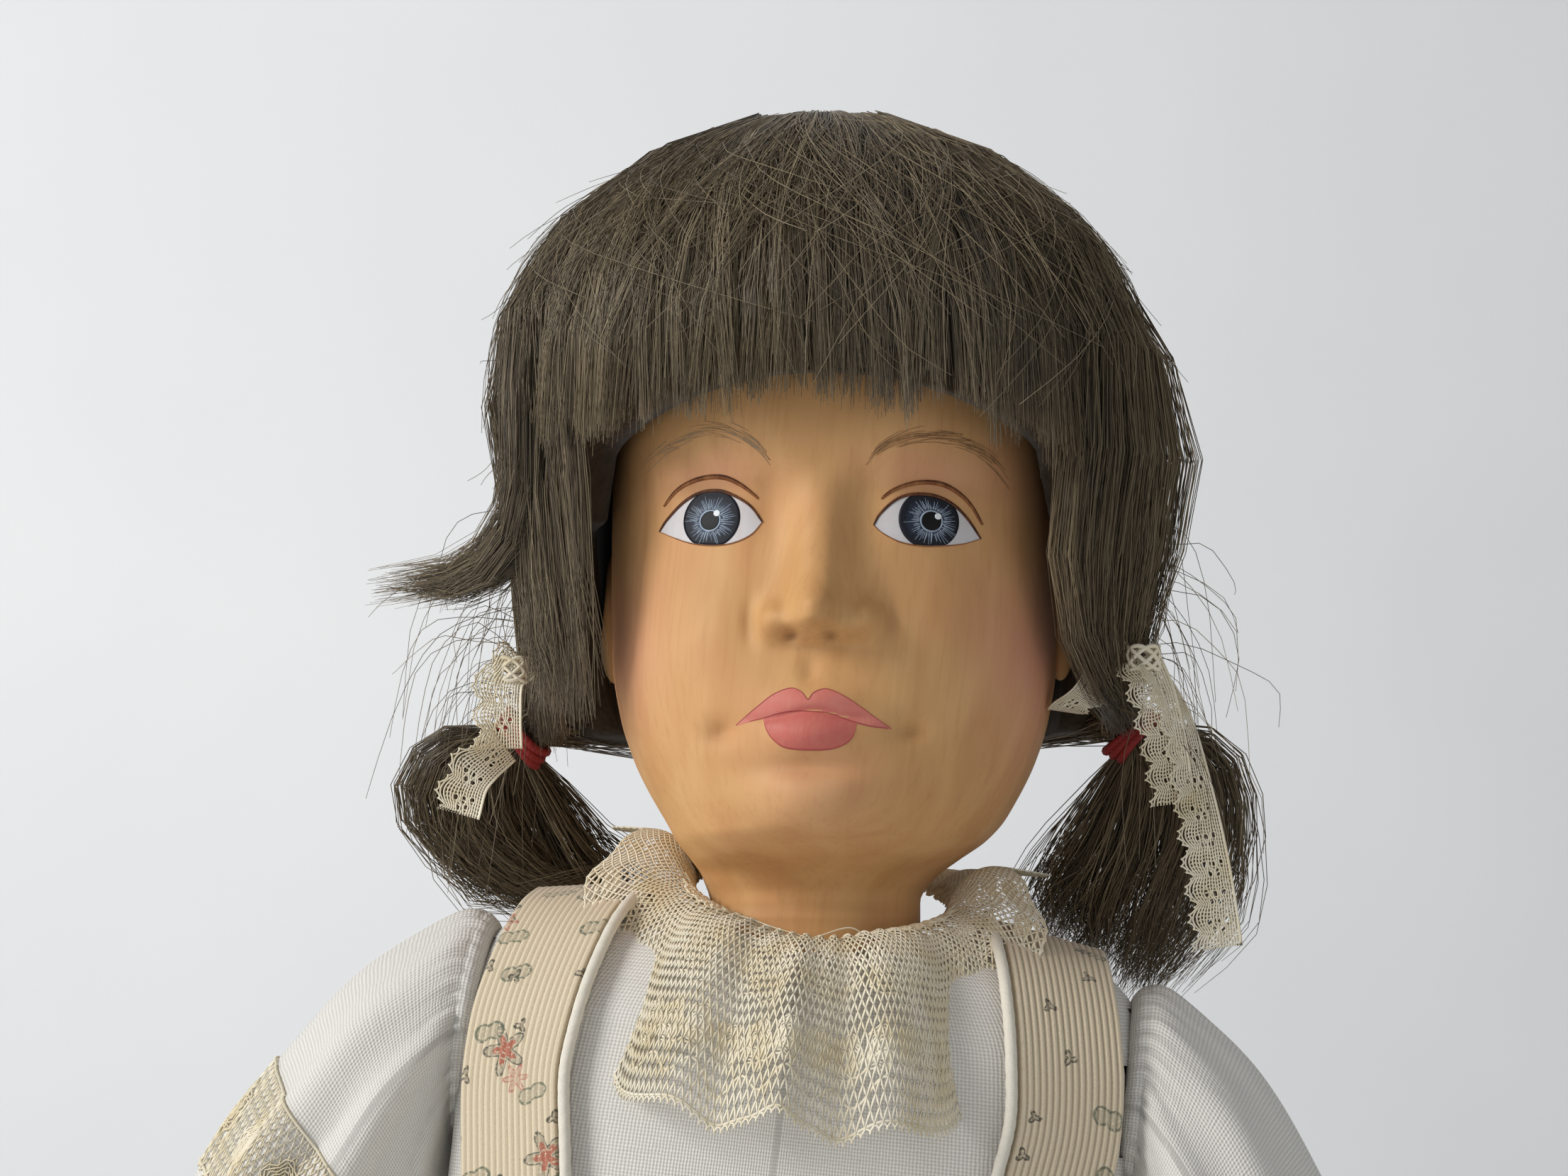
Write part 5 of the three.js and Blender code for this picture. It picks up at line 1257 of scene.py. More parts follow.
    def eye(
        self, eye: PaintedEye, side: str, paints: dict[str, bpy.types.Material],
        rng: np.random.Generator
    ) -> list[bpy.types.Object]:
        """The pieces of one eye, from the white to the glint.

        Args:
            eye: the eye's sizes and place.
            side: "left" or "right".
            paints: the paints by their names.
            rng: the source of chance.

        Returns:
            The pieces of the eye.
        """
        shares = np.linspace(0, 1, 64)
        low, high = catmull(eye.lower, shares), catmull(eye.upper, shares)
        rim = np.concatenate([low, high[::-1]]) - eye.iris_at
        order = np.argsort(np.arctan2(rim[:, 1], rim[:, 0]))
        bearing = np.arctan2(rim[:, 1], rim[:, 0])[order]
        turns = circle(96)
        wrapped = (turns + math.pi) % (2 * math.pi) - math.pi
        limit = np.minimum(
            np.interp(wrapped, bearing, np.linalg.norm(rim, axis=1)[order], period=2 * math.pi) - 0.12,
            eye.iris_r
        )
        iris = self.disc(eye.iris_at, limit, 0.09)
        pupil = self.disc(eye.pupil_at, np.full(48, eye.pupil_r), 0.15)
        glint = self.disc(eye.glint_at, np.full(24, eye.glint_r), 0.2)
        pale = joined([self.iris_strokes(eye, limit, rng), self.ring(eye)])
        lash = joined([self.line(eye.upper, 0.5, 0.16), self.line(eye.crease, 0.2, 0.14, 0.06, 0.96)])
        made = [
            object_of(
                f"eye_white_{side}", placed(HEAD, self.patch(low, high, 0.05)[0]),
                self.patch(low, high, 0.05)[1], paints["white"]
            ),
            object_of(f"iris_{side}", placed(HEAD, iris[0]), iris[1], paints["iris"], uv=iris[2]),
            object_of(f"iris_strokes_{side}", placed(HEAD, pale[0]), pale[1], paints["pale"]),
            object_of(f"pupil_{side}", placed(HEAD, pupil[0]), pupil[1], paints["pupil"]),
            object_of(f"glint_{side}", placed(HEAD, glint[0]), glint[1], paints["glint"]),
            object_of(f"lid_lines_{side}", placed(HEAD, lash[0]), lash[1], paints["lid"]),
        ]
        # The thin line under the eye is painted on the doll; the broad stroke just below the crease is
        # painted shade of the lid fold.
        faint = joined(
            [
                self.line(eye.lower, 0.16, 0.12),
                self.line(np.array(eye.crease) - (0, 0.22), 0.75, 0.1, 0.04, 0.98)
            ]
        )
        made.append(object_of(f"lid_shading_{side}", placed(HEAD, faint[0]), faint[1], paints["fold"]))
        return made

    def brow(
        self, path: Sequence[Sequence[float]], outwards: int, count: int, rng: np.random.Generator
    ) -> Mesh:
        """Fine strokes laid along a brow, each starting below the line and sweeping up and out.

        Args:
            path: points along the brow, from the nose outwards.
            outwards: the sign of x away from the nose.
            count: how many strokes.
            rng: the source of chance.

        Returns:
            The closed mesh of the strokes.
        """
        start = np.sort(rng.uniform(0, 0.84, count))
        length = rng.uniform(0.1, 0.22, count)
        shares = np.linspace(0, 1, 9)
        base = catmull(path, start[:, None] + length[:, None] * shares)
        spread = (
            rng.normal(0, 0.62, count)[:, None]
            + 0.5 * (shares - 0.5) * rng.uniform(0.2, 1.6, count)[:, None]
        )
        base = base + np.stack([0.15 * outwards * spread, spread], axis=-1)
        widths = (
            rng.uniform(0.04, 0.085, count)[:, None] * np.sin(math.pi * np.linspace(0.12, 0.97, 9))
            + 0.012
        )
        return self.strokes(base, widths, 0.07)

    def lips(self, paints: dict[str, bpy.types.Material]) -> list[bpy.types.Object]:
        """The two lips, with a darker line where the brush went round their edges."""
        shares = np.linspace(0, 1, 90)
        top, line, low = (
            catmull(points, shares) for points in (self.lip_top, self.lip_line, self.lip_low)
        )
        part = catmull(self.lip_line, np.interp(np.linspace(-8.9, 5.7, 90), line[:, 0], shares))
        upper, lower = self.patch(line - (0, 0.12), top, 0.06), self.patch(low, part + (0, 0.12), 0.07)
        edges = joined(
            [
                self.line(self.lip_top, 0.12, 0.09),
                self.line(self.lip_low, 0.12, 0.09, 0.05, 0.95),
                self.line(self.lip_line, 0.2, 0.09, 0.1, 0.98),
            ]
        )
        return [
            object_of("lip_upper", placed(HEAD, upper[0]), upper[1], paints["lip"]),
            object_of("lip_lower", placed(HEAD, lower[0]), lower[1], paints["lip_low"]),
            object_of("lip_edges", placed(HEAD, edges[0]), edges[1], paints["lip_edge"]),
        ]

    def make(self) -> list[bpy.types.Object]:
        """All the painted pieces, riding on the head."""
        paints = {
            "white": Paint("eye_white_paint", "#d6d2d2", "#c8b8ae", 0.5, 0.5, 0.3).material(),
            "iris": IrisPaint().material(),
            "pale": Paint("pale_blue_paint", "#a9b6c4", "#7286a0", 0.55).material(),
            "pupil": Paint("black_brown_paint", "#0c0b0c", "#161414", 0.5).material(),
            "glint": Paint("white_paint", "#eef1f3", "#cfd6da", 0.5, cover=0.2).material(),
            "lid": Paint("dark_brown_paint", "#45291c", "#7a4c30", 0.55, cover=0.8).material(),
            # fold: the lower lid line, and the painted shade under the crease.
            "fold": Paint("red_brown_lid_line_and_fold_shade", "#7c4a2b", "#a36c41", 0.6, cover=0.9).material(),
            # The brows are one paint in two copies: the paler one on the lit side is painted light, the
            # darker one on the shaded side is painted shade.
            "brow_left": Paint("brow_paint_lit", "#9c8874", "#bb9a70", 0.6, cover=1.0).material(),
            "brow_right": Paint("brow_paint_shaded", "#86664a", "#ab8358", 0.6, cover=1.0).material(),
            "lip": Paint("rose_paint", "#d0786c", "#d28e7a", 0.5, 0.3, 0.45).material(),
            "lip_low": Paint("deep_rose_paint", "#c66a60", "#cd8270", 0.5, 0.3, 0.45).material(),
            "lip_edge": Paint("crimson_paint", "#aa4f4f", "#bb665c", 0.5, cover=0.6).material(),
        }
        rng = np.random.default_rng(7)
        made = (
            self.eye(VIEWER_LEFT_EYE, "right", paints, rng)
            + self.eye(VIEWER_RIGHT_EYE, "left", paints, rng)
        )
        for side, path, outwards, count in (
            ("right", self.brow_left, -1, 60), ("left", self.brow_right, 1, 70)
        ):
            points, faces = self.brow(path, outwards, count, rng)
            # The brow on the lit side takes the paler copy and the one on the shaded side the darker.
            paint = paints["brow_left"] if side == "right" else paints["brow_right"]
            made.append(object_of(f"brow_{side}", placed(HEAD, points), faces, paint))
        made += self.lips(paints)
        for piece in made:
            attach(piece, "head")
        return made


# Hair


@dataclass(frozen=True)
class WigHair:
    """Ash-brown mohair: a silky sheen along each strand, strands of unlike shade side by side, and
    paler, drier ends."""

    name: str = "ash_brown_mohair"
    dark: str = "#352c1f"
    middle: str = "#67583f"
    pale: str = "#a39274"
    fibre_mm: float = 0.12
    ground: bool = False

    def material(self) -> bpy.types.Material:
        """The material. The attribute shade goes from dark strands, 0, to pale ones, 1; the ground
        under the strands has drawn-out streaks in the darker half of the shades instead, as painted shade of
        the deeper hair."""
        material, tree = blank(self.name)
        place = add(tree, "TexCoord").outputs["Object"]
        long = add(tree, "Mapping", {"Vector": place, "Scale": (1, 1, 0.06)})
        streaks = add(
            tree, "TexNoise", {"Vector": long, "Scale": 1 / (self.fibre_mm * 8 * MM), "Detail": 3.0}
        )
        if self.ground:
            # The ground keeps to the dark half of the ramp: painted shade of the hair's deeper layers.
            shade = ranged(tree, streaks, (0.3, 0.8), (0.0, 0.45))
        else:
            own = add(tree, "Attribute", attribute_name="shade").outputs["Fac"]
            darker = worked(tree, "SUBTRACT", own, 0.15)
            shade = worked(tree, "MULTIPLY_ADD", streaks, 0.3, darker)
        ramp = add(
            tree, "ValToRGB", {"Fac": shade},
            stops=((0.0, self.dark), (0.5, self.middle), (1.0, self.pale))
        )
        relief = add(
            tree, "Bump",
            {"Height": streaks, "Strength": 0.4 if self.ground else 0.1, "Distance": 0.3 * MM}
        )
        shader = add(
            tree,
            "BsdfPrincipled",
            {
                "Base Color": ramp, "Roughness": 0.75 if self.ground else 0.42,
                "Specular IOR Level": 0.15 if self.ground else 0.45, "Normal": relief,
                "Sheen Weight": 0.15, "Sheen Roughness": 0.4
            },
        )
        surfaced(tree, shader)
        return material


def pressed_in(piece: bpy.types.Object) -> None:
    """Gives a finished piece of soft hair or ribbon its own copy of its mesh.

    Args:
        piece: the finished piece.
    """
    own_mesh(piece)


@dataclass(frozen=True)
class Wig:
    """The wig: crown, fringe, sides drawn back to two ties, loose locks, pigtails and flyaways."""

    half: float = 54.4
    front: float = 53.0
    back: float = 62.0
    top: float = 74.0
    lean: float = -2.0
    chin_drop: float = 53.0
    fringe: float = 18.0
    fringe_half_turn: float = 46.0
    tie_at: tuple[float, float, float] = (51.0, 6.0, -30.0)
    strand_r: float = 0.105

    def sections(self) -> Sections:
        """The wig's outer form, closed at the crown."""
        half, front, back, top, chin = self.half, self.front, self.back, self.top, self.chin_drop
        return Sections(
            (
                (-chin - 6, 0.5 * half, 0.4 * front, 0.42 * back, 2.1),
                (-chin + 11, 0.72 * half, 0.6 * front, 0.58 * back, 2.2),
                (-chin + 20, 0.9 * half, 0.78 * front, 0.78 * back, 2.25),
                (-20, 0.93 * half, 0.9 * front, 0.9 * back, 2.3),
                (-5, 0.96 * half, 0.97 * front, 0.97 * back, 2.3),
                (0.12 * top, half, front, back, 2.3),
                (0.35 * top, half, front, back, 2.25),
                (0.49 * top, 0.97 * half, 0.97 * front, 0.97 * back, 2.2),
                (0.62 * top, 0.9 * half, 0.91 * front, 0.9 * back, 2.15),
                (0.74 * top, 0.78 * half, 0.8 * front, 0.81 * back, 2.1),
                (0.84 * top, 0.62 * half, 0.64 * front, 0.66 * back, 2),
                (0.92 * top, 0.44 * half, 0.45 * front, 0.47 * back, 2),
                (0.98 * top, 0.22 * half, 0.22 * front, 0.24 * back, 2),
                (0.998 * top, 0.06 * half, 0.06 * front, 0.06 * back, 2),
            )
        )

    def shell(self, angle: Array, height: Array, depth: Array | float) -> Array:
        """Points a depth inside the wig's form, at an angle from the front and a height."""
        points = self.sections().ring(angle, height, -np.asarray(depth, float))
        points[..., 0] += self.lean
        return points

    def tie(self, side: int) -> Array:
        """The middle of a tie."""
        return np.array(self.tie_at) * (side, 1, 1) + (self.lean, 0, 0)

    def fringe_edge(self, angle: Array) -> Array:
        """The height of the fringe's cut edge: 18 mm in the middle, lower to both sides."""
        across = self.front * np.sin(angle)
        return self.fringe - 0.0052 * across**2

    def strands(
        self, name: str, paths: Array, shade: Array, material: bpy.types.Material, root: float = 1.0,
        tip: float = 0.45
    ) -> bpy.types.Object:
        """Strands as tapered closed tubes of three sides.

        Args:
            name: of the piece.
            paths: N x K x 3 in the head's frame.
            shade: N shares from dark to pale.
            material: the hair.
            root: the radius at the root, in strand radii.
            tip: the radius at the tip, in strand radii.

        Returns:
            The piece, whose shade rises by a seventh towards the tips.
        """
        length = paths.shape[1]
        shares = np.linspace(0, 1, length)
        radii = self.strand_r * (root + (tip - root) * shares**2)
        points, faces = tubes(placed(HEAD, paths), radii[None])
        along = np.clip(shade[:, None] + 0.14 * shares[None], 0, 1)
        piece = object_of(name, points, faces, material, {"shade": np.repeat(along.ravel(), 3)})
        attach(piece, "head")
        return piece

    def ground(self, material: bpy.types.Material, head: HeadShape) -> bpy.types.Object:
        """The closed mass under the strands, from 3 mm below the wig's form in to the skull, dark as painted
        shade of the deeper hair. Its hem rises in front of the ears, where only loose locks hang.

        Args:
            material: the material of the dark ground.
            head: the head that it lies on.

        Returns:
            The piece.
        """
        turns = circle(120)[None]
        away = np.minimum(turns, 2 * math.pi - turns)
        open_face = 1 - smooth(math.radians(50), math.radians(58), away)
        side_hem = mix(2.0, -29.0, smooth(math.radians(72), math.radians(110), away))
        hem = mix(side_hem, self.fringe_edge(away) + 3.5, open_face)
        shares = np.linspace(0, 1, 46)[:, None]
        height = hem + (self.top * 0.95 - hem) * np.cos(shares * math.pi / 2) ** 0.8
        ripple = 0.5 * np.sin(23 * turns + 2 * np.sin(3 * turns))
        outer = self.shell(turns, height, 3.6 + ripple)
        inner_shares = shares[::-3]
        inner_height = np.minimum(hem + (60 - hem) * np.cos(inner_shares * math.pi / 2) ** 0.8, 60)
        inner = head.sections().ring(turns, inner_height, 2.8)
        points, faces = capped(np.concatenate([outer, inner]))
        piece = object_of("hair_ground", placed(HEAD, points), faces, material)
        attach(piece, "head")
        return piece

    def fall(
        self, start: Array, end: Array, top: Array, low: Array, per: int, samples: int,
        rng: np.random.Generator, spread: float, pinch: float, lift: float = 0.0,
    ) -> tuple[Array, Array]:
        """Locks that fall over the wig's form.

        Args:
            start: C angles at the crown.
            end: C angles at the ends.
            top: C heights of the roots.
            low: C heights of the ends.
            per: strands in a lock.
            samples: points of a strand.
            rng: the source of chance.
            spread: half the width of a lock in radians.
            pinch: how far a lock draws together towards its end, from 0 to 1.
            lift: how far the locks stand off the form.

        Returns:
            The strands' points in the head's frame and their shades. Along a strand the height
            falls as the cosine of a quarter turn, so that points are even along the dome, and the
            angle moves from start to end by a smooth share. Each lock has its own lift and wave.
        """
        count = len(start)
        t = np.linspace(0, 1, samples)[None, None]
        each = (count, per, 1)
        place = rng.uniform(-1, 1, each)
        lock_height = low[:, None, None] + rng.normal(0, 0.8, each) + 1.6 * np.abs(place) ** 1.5
        height = lock_height + (
            top[:, None, None] + rng.normal(0, 0.5, each) - lock_height
        ) * np.cos(t * math.pi / 2) ** 0.85
        sway = start[:, None, None] + (end - start)[:, None, None] * smooth(0.25, 1.0, t)
        phase = rng.uniform(0, 2 * math.pi, (count, 1, 1)) + rng.normal(0, 0.5, each)
        wave = 0.032 * np.sin(2 * math.pi * t * rng.uniform(0.5, 1.5, (count, 1, 1)) + phase) * t
        own = place * spread * (1 - pinch * smooth(0.5, 1.02, t))
        angle = sway + wave + own + rng.normal(0, 0.012, each) * t
        clump = rng.uniform(-0.5, 1.5, (count, 1, 1)) - lift
        depth = (
            clump + rng.uniform(0, 1, each) ** 1.4 * 2.6
            + 1.4 * smooth(0.7, 1, t) * rng.uniform(-0.3, 1.2, each)
        )
        paths = self.shell(angle, height, depth).reshape(count * per, samples, 3)
        shade = np.clip(rng.normal(0.48, 0.15, (count, 1)) + rng.normal(0, 0.17, (count, per)), 0, 1)
        return paths, shade.ravel()

    def bundle(
        self, control: Array, profile: Array, per: int, samples: int, rng: np.random.Generator,
        loose: float = 0.4
    ) -> tuple[Array, Array]:
        """Strands round many middle lines at once.

        Args:
            control: P x C x 3 points that the C middle lines pass through.
            profile: the radius of the bundle at even steps along it.
            per: strands in each.
            samples: points of a strand.
            rng: the source of chance.
            loose: how far a strand wanders, in mm.

        Returns:
            The strands' points and shades. A strand keeps its place in the bundle's section, whose
            radius follows the profile, wanders by two slow waves, and stops a little before or
            after its neighbours. Strands at the bundle's rim are paler than those at its core, as painted
            light and shade.
        """
        t = np.linspace(0, 1, samples)
        middle = np.moveaxis(catmull(control, t), 0, 1)
        along = unit(np.gradient(middle, axis=1))
        side = unit(np.cross(along, [0.2, 0.9, 0.35]))
        up = np.cross(side, along)
        radius = np.interp(t, np.linspace(0, 1, len(profile)), profile)
        count = middle.shape[0]
        reach = np.sqrt(rng.uniform(0, 1, (count, per, 1)))
        round_it = rng.uniform(0, 2 * math.pi, (count, per, 1))
        phase = rng.uniform(0, 2 * math.pi, (2, count, per, 1))
        wander = loose * t * np.sin(phase + 4 * t)
        across = (radius * reach * np.cos(round_it) + wander[0])[..., None]
        upward = (radius * reach * np.sin(round_it) + wander[1])[..., None]
        paths = middle[:, None] + across * side[:, None] + upward * up[:, None]
        ahead = (along[:, -1] * loose)[:, None] * rng.normal(0, 1.6, (count, per, 1))
        paths += ahead[:, :, None] * (t**6)[:, None]
        # Strands at the rim of a bundle come out paler and those at its core darker: painted light and shade
        # of the lock.
        shade = rng.normal(0.42, 0.1, (count, 1)) + 0.16 * reach[..., 0] - 0.1
        shade = np.clip(shade + rng.normal(0, 0.17, (count, per)), 0, 1)
        return paths.reshape(count * per, samples, 3), shade.ravel()

    def make_fringe(
        self, material: bpy.types.Material, rng: np.random.Generator
    ) -> list[bpy.types.Object]:
        """The fringe in three layers: an even one beneath, locks that draw to points above the
        brows, and a few that cross them at a slant.

        Args:
            material: the hair's material.
            rng: the source of chance.

        Returns:
            A piece for each layer.
        """
        limit = math.radians(self.fringe_half_turn)
        made = []
        layers = (
            ("under", 84, 20, 8, 0.036, 0.8, 0.035, 1.3, 0.0),
            ("locks", 70, 22, 9, 0.05, 0.95, 0.08, 2.2, 0.4),
            ("crossing", 42, 18, 9, 0.05, 0.8, 0.26, 2.6, 1.1),
        )
        for name, count, per, samples, spread, pinch, slant, uneven, lift in layers:
            start = np.linspace(-limit, limit, count) + rng.normal(0, 0.03, count)
            end = np.clip(start * 1.03 + rng.normal(0, slant, count), -1.07 * limit, 1.07 * limit)
            low = self.fringe_edge(end) + rng.normal(0.0, uneven, count)
            if name != "locks":
                low += rng.uniform(0.5, 3.5 if name == "under" else 11, count)
            top = rng.uniform(70.5, 73.7, count)
            paths, shade = self.fall(start, end, top, low, per, samples, rng, spread, pinch, lift)
            made.append(self.strands(f"hair_fringe_{name}", paths, shade, material, tip=0.4))
        return made

    def make_side(
        self, side: int, material: bpy.types.Material, rng: np.random.Generator
    ) -> bpy.types.Object:
        """Side and back of one half, drawn over the head to its tie.

        Args:
            side: 1 on the doll's left, -1 on its right.
            material: the hair's material.
            rng: the source of chance.

        Returns:
            The piece.
        """
        crown, nape = 112, 64
        share = np.concatenate([np.sort(rng.uniform(0, 1, crown)), np.linspace(0.99, 1.0, nape)])
        start = np.radians(mix(60, 181, share))
        end = np.radians(
            np.concatenate([mix(88, 128, share[:crown] ** 1.2), np.linspace(126, 142, nape)])
        )
        low = mix(-22, -33, smooth(0, 0.5, share)) + rng.normal(0, 1.2, crown + nape)
        root = np.concatenate([rng.uniform(70.5, 73.7, crown), np.linspace(58, -27, nape)])
        paths, shade = self.fall(side * start, side * end, root, low, 12, 10, rng, 0.06, 0.25)
        t = smooth(0.66, 1.0, np.linspace(0, 1, paths.shape[1]))[None, :, None] ** 1.3
        place = rng.normal(0, 1, (len(paths), 1, 3))
        goal = (
            self.tie(side) + unit(place) * rng.uniform(0, 3.6, (len(paths), 1, 1))
            + (-side * 2.0, 0, 1.5)
        )
        name = side_name(side)
        return self.strands(f"hair_side_{name}_swept", mix(paths, goal, t), shade, material, tip=0.8)

    def lanes(
        self, side: int, count: int, low: Sequence[Sequence[float]], high: Sequence[Sequence[float]],
        rng: np.random.Generator
    ) -> Array:
        """Middle lines of locks that come down from the crown on one side.

        Args:
            side: 1 or -1.
            count: of the locks.
            low: the points, below the temple, of the lock nearest the face, for the doll's left.
            high: those of the one farthest from it.
            rng: the source of chance.

        Returns:
            P x C x 3 points; the first three of a line lie on the wig's form.
        """
        lane = np.sort(rng.uniform(0, 1, count))
        near, far = np.array(low, float)[:, None], np.array(high, float)[:, None]
        below = mix(near, far, lane[None, :, None]) + rng.normal(0, 0.9, (len(near), count, 3))
        heights = np.array([71.0, 60.0, 42.0])[:, None]
        angle = (
            side * np.radians(mix(46, 84, lane)) * np.array([0.9, 0.95, 1.0])[:, None]
            + rng.normal(0, 0.03, count)
        )
        above = self.shell(
            angle, heights, rng.uniform(0.2, 2.2, count) + np.array([3.5, 0.6, 0.0])[:, None]
        )
        return np.concatenate([above, below * (side, 1, 1)])

    def make_locks(
        self, side: int, material: bpy.types.Material, rng: np.random.Generator
    ) -> bpy.types.Object:
        """Locks in front of the ear. On the doll's left all of them flow back to the tie; on its
        right the ones at the face hang free and draw to points below the ear.

        Args:
            side: 1 on the doll's left, -1 on its right.
            material: the hair's material.
            rng: the source of chance.

        Returns:
            The piece.
        """
        back = (48.0, 2.0, -28.0)
        if side > 0:
            near = [(40, -35, 22), (36.8, -33, 2), (37.2, -28, -14), (42, -17, -24), back]
            far = [(57, -8, 22), (57.5, -6, 6), (53, -5, -10), (49.5, -3, -20), back]
            profile = np.array([2.6, 2.5, 2.6, 2.8, 2.8, 2.4, 1.9, 1.2])
            groups = [self.bundle(self.lanes(side, 54, near, far, rng), profile, 22, 9, rng, 1.2)]
        else:
            near = [(39.5, -36, 22), (39.0, -34, 2), (38.6, -30, -14), (38, -26, -31)]
            far = [(50, -22, 22), (48.5, -22, 2), (48, -20, -14), (47, -17, -27)]
            free = self.lanes(side, 30, near, far, rng)
            free[-1, :, 2] += rng.uniform(-3, 14, free.shape[1])
            near = [(52, -20, 24), (49, -18, 4), (48, -12, -12), back]
            tied = self.lanes(side, 26, near, [(55, -4, 24), (52, -3, 3), (49.5, -1, -13), back], rng)
            groups = [
                self.bundle(free, np.array([2.6, 2.5, 2.5, 2.5, 2.3, 1.7, 0.5]), 24, 9, rng, 1.3),
                self.bundle(tied, np.array([2.6, 2.5, 2.5, 2.5, 2.2, 1.6, 1.2]), 20, 9, rng, 1.2),
            ]
        name = side_name(side)
        paths, shade = (np.concatenate(both) for both in zip(*groups))
        return self.strands(f"hair_lock_{name}", paths, shade, material, tip=0.35)

    def make_flick(self, material: bpy.types.Material, rng: np.random.Generator) -> bpy.types.Object:
        """The wing on the doll's right: it leaves the temple, crosses the ear at a slant and turns
        out above the tie.

        Args:
            material: the hair's material.
            rng: the source of chance.

        Returns:
            The piece.
        """
        count = 30
        lane = rng.uniform(-1, 1, (2, count))
        knots = np.array(
            [(-46.5, -28, 22), (-47, -27, 9), (-51, -22, -1), (-59, -16, -5.5), (-69, -12.5, -6)], float
        )
        grow = np.array([1.3, 1.2, 1.0, 0.8, 0.6])[:, None, None]
        below = knots[:, None] + np.stack(
            [2.6 * lane[0], 2.5 * lane[0], 4.0 * lane[1]], axis=-1
        )[None] * grow
        above = self.shell(
            -1.02 + 0.12 * lane[0] * np.array([1.0, 1.1, 1.2])[:, None],
            np.array([71.0, 60.0, 42.0])[:, None], np.array([3.5, 1.2, 0.8])[:, None]
        )
        control = np.concatenate([above, below])
        control[-1, :, 0] += rng.uniform(-4.0, 8, count)
        control[-1, :, 2] += rng.uniform(-2.0, 1.5, count)
        paths, shade = self.bundle(control, np.array([2.2, 2.6, 2.4, 2.0, 1.4, 0.5]), 24, 10, rng, 1.2)
        piece = self.strands("hair_flick", paths, shade, material, tip=0.3)
        pressed_in(piece)
        return piece

    def make_pigtail(
        self, side: int, material: bpy.types.Material, rng: np.random.Generator
    ) -> bpy.types.Object:
        """One pigtail: strands fan out of the tie and hang in a fat curl; the inner ones turn in
        under the ear. The doll's left one hangs lower.

        Args:
            side: 1 on the doll's left, -1 on its right.
            material: the hair's material.
            rng: the source of chance.

        Returns:
            The piece.
        """
        tie = self.tie(side)
        count = 64
        turns = rng.uniform(0, 2 * math.pi, count)
        reach = np.sqrt(rng.uniform(0, 1, count))
        lane = np.stack([reach * np.cos(turns), reach * np.sin(turns)], axis=-1)
        if side > 0:
            widths = np.array([2.2, 2.6, 10.0, 13.0, 12.0, 6.0])
            outer = np.array(
                [(-6, -1, 5.5), (0.5, 0, 0), (9, 4, -7), (11.5, 7, -20), (8, 10, -34), (4, 11, -44)],
                float
            )
        else:
            widths = np.array([2.2, 2.6, 8.5, 11.0, 9.5, 5.0])
            outer = np.array(
                [
                    (-6, -1, 5.5), (0.5, 0, 0), (10, 2, -5), (13.5, 5, -16), (6.5, 8, -26),
                    (-5, 8.5, -28.5)
                ],
                float
            )
        inner = np.array(
            [(-6, -1, 5.5), (0.5, 0, 0), (-2, 9, -5), (-8, 13, -12), (-13, 15, -18), (-17, 16, -22)],
            float
        )
        outwards = ((1 + lane[:, 0]) / 2)[None, :, None] ** 0.7
        knots = mix(inner[:, None], outer[:, None], outwards) * (side, 1, 1) + tie
        across, away = np.array([0.75, 0, 0.66]) * (side, 1, 1), np.array([0, 1.0, 0])
        control = knots + widths[:, None, None] * (
            0.75 * lane[None, :, :1] * across + 0.8 * lane[None, :, 1:] * away
        )
        control[-2:] += rng.normal(0, 1.8, (2, count, 3))
        paths, shade = self.bundle(control, np.array([0.7, 0.9, 2.9, 3.6, 3.2, 1.4]), 23, 12, rng, 2.0)
        name = side_name(side)
        piece = self.strands(f"pigtail_{name}_strands", paths, shade - 0.08, material, tip=0.4)
        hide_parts(f"pigtail_{name}")
        pressed_in(piece)
        return piece

    def make_flyaways(self, material: bpy.types.Material, rng: np.random.Generator) -> bpy.types.Object:
        """Single hairs: short ones that stand off the crown, ones that lie across the locks at a
        slant, and long arcs round both ties.

        Args:
            material: the hair's material.
            rng: the source of chance.

        Returns:
            The piece.
        """
        over = 240
        angle = rng.uniform(0, 2 * math.pi, over)
        front = np.cos(angle) > 0.35
        height = np.where(front, rng.uniform(50, 72, over), rng.uniform(0, 71, over))
        t = np.linspace(0, 1, 5)[:, None]
        first = self.shell(
            angle + 0.5 * t * rng.uniform(-1, 1, over), height - 16 * t * rng.uniform(0.3, 1, over),
            0.5 - 6.0 * t * rng.uniform(0, 1, over) ** 2
        )
        lying = 330
        angle = rng.uniform(-1.5, 1.5, lying)
        fall = rng.uniform(12, 40, lying)
        height = rng.uniform(52, 72, lying)
        floor = self.fringe_edge(np.clip(angle, -0.8, 0.8)) + 1.0
        second = self.shell(
            angle + 0.45 * t**1.4 * rng.normal(0, 1, lying), np.maximum(height - fall * t, floor),
            -0.9 - 0.9 * rng.uniform(0, 1, lying)
        )
        around = 110
        side = np.where(rng.uniform(0, 1, around) < 0.6, -1, 1)
        base = np.stack(
            [
                side * rng.uniform(46, 52, around) - 2, rng.uniform(-12, 8, around),
                rng.uniform(-30, 8, around)
            ],
            axis=-1
        )
        out, drop = rng.uniform(2, 22, around) * side, rng.uniform(10, 34, around)
        lean = rng.normal(0, 2.5, around)
        steps = ((0, 0, 0), (0.35, 0.3, 0.02), (0.7, 0.6, -0.14), (0.95, 0.9, -0.5), (1.05, 1.2, -1.0))
        third = np.stack(
            [base + np.stack([out * x, lean * y, drop * z + 1.5 * y], axis=-1) for x, y, z in steps]
        )
        third[1:] += np.cumsum(rng.normal(0, 1.6, (4, around, 3)), axis=0)
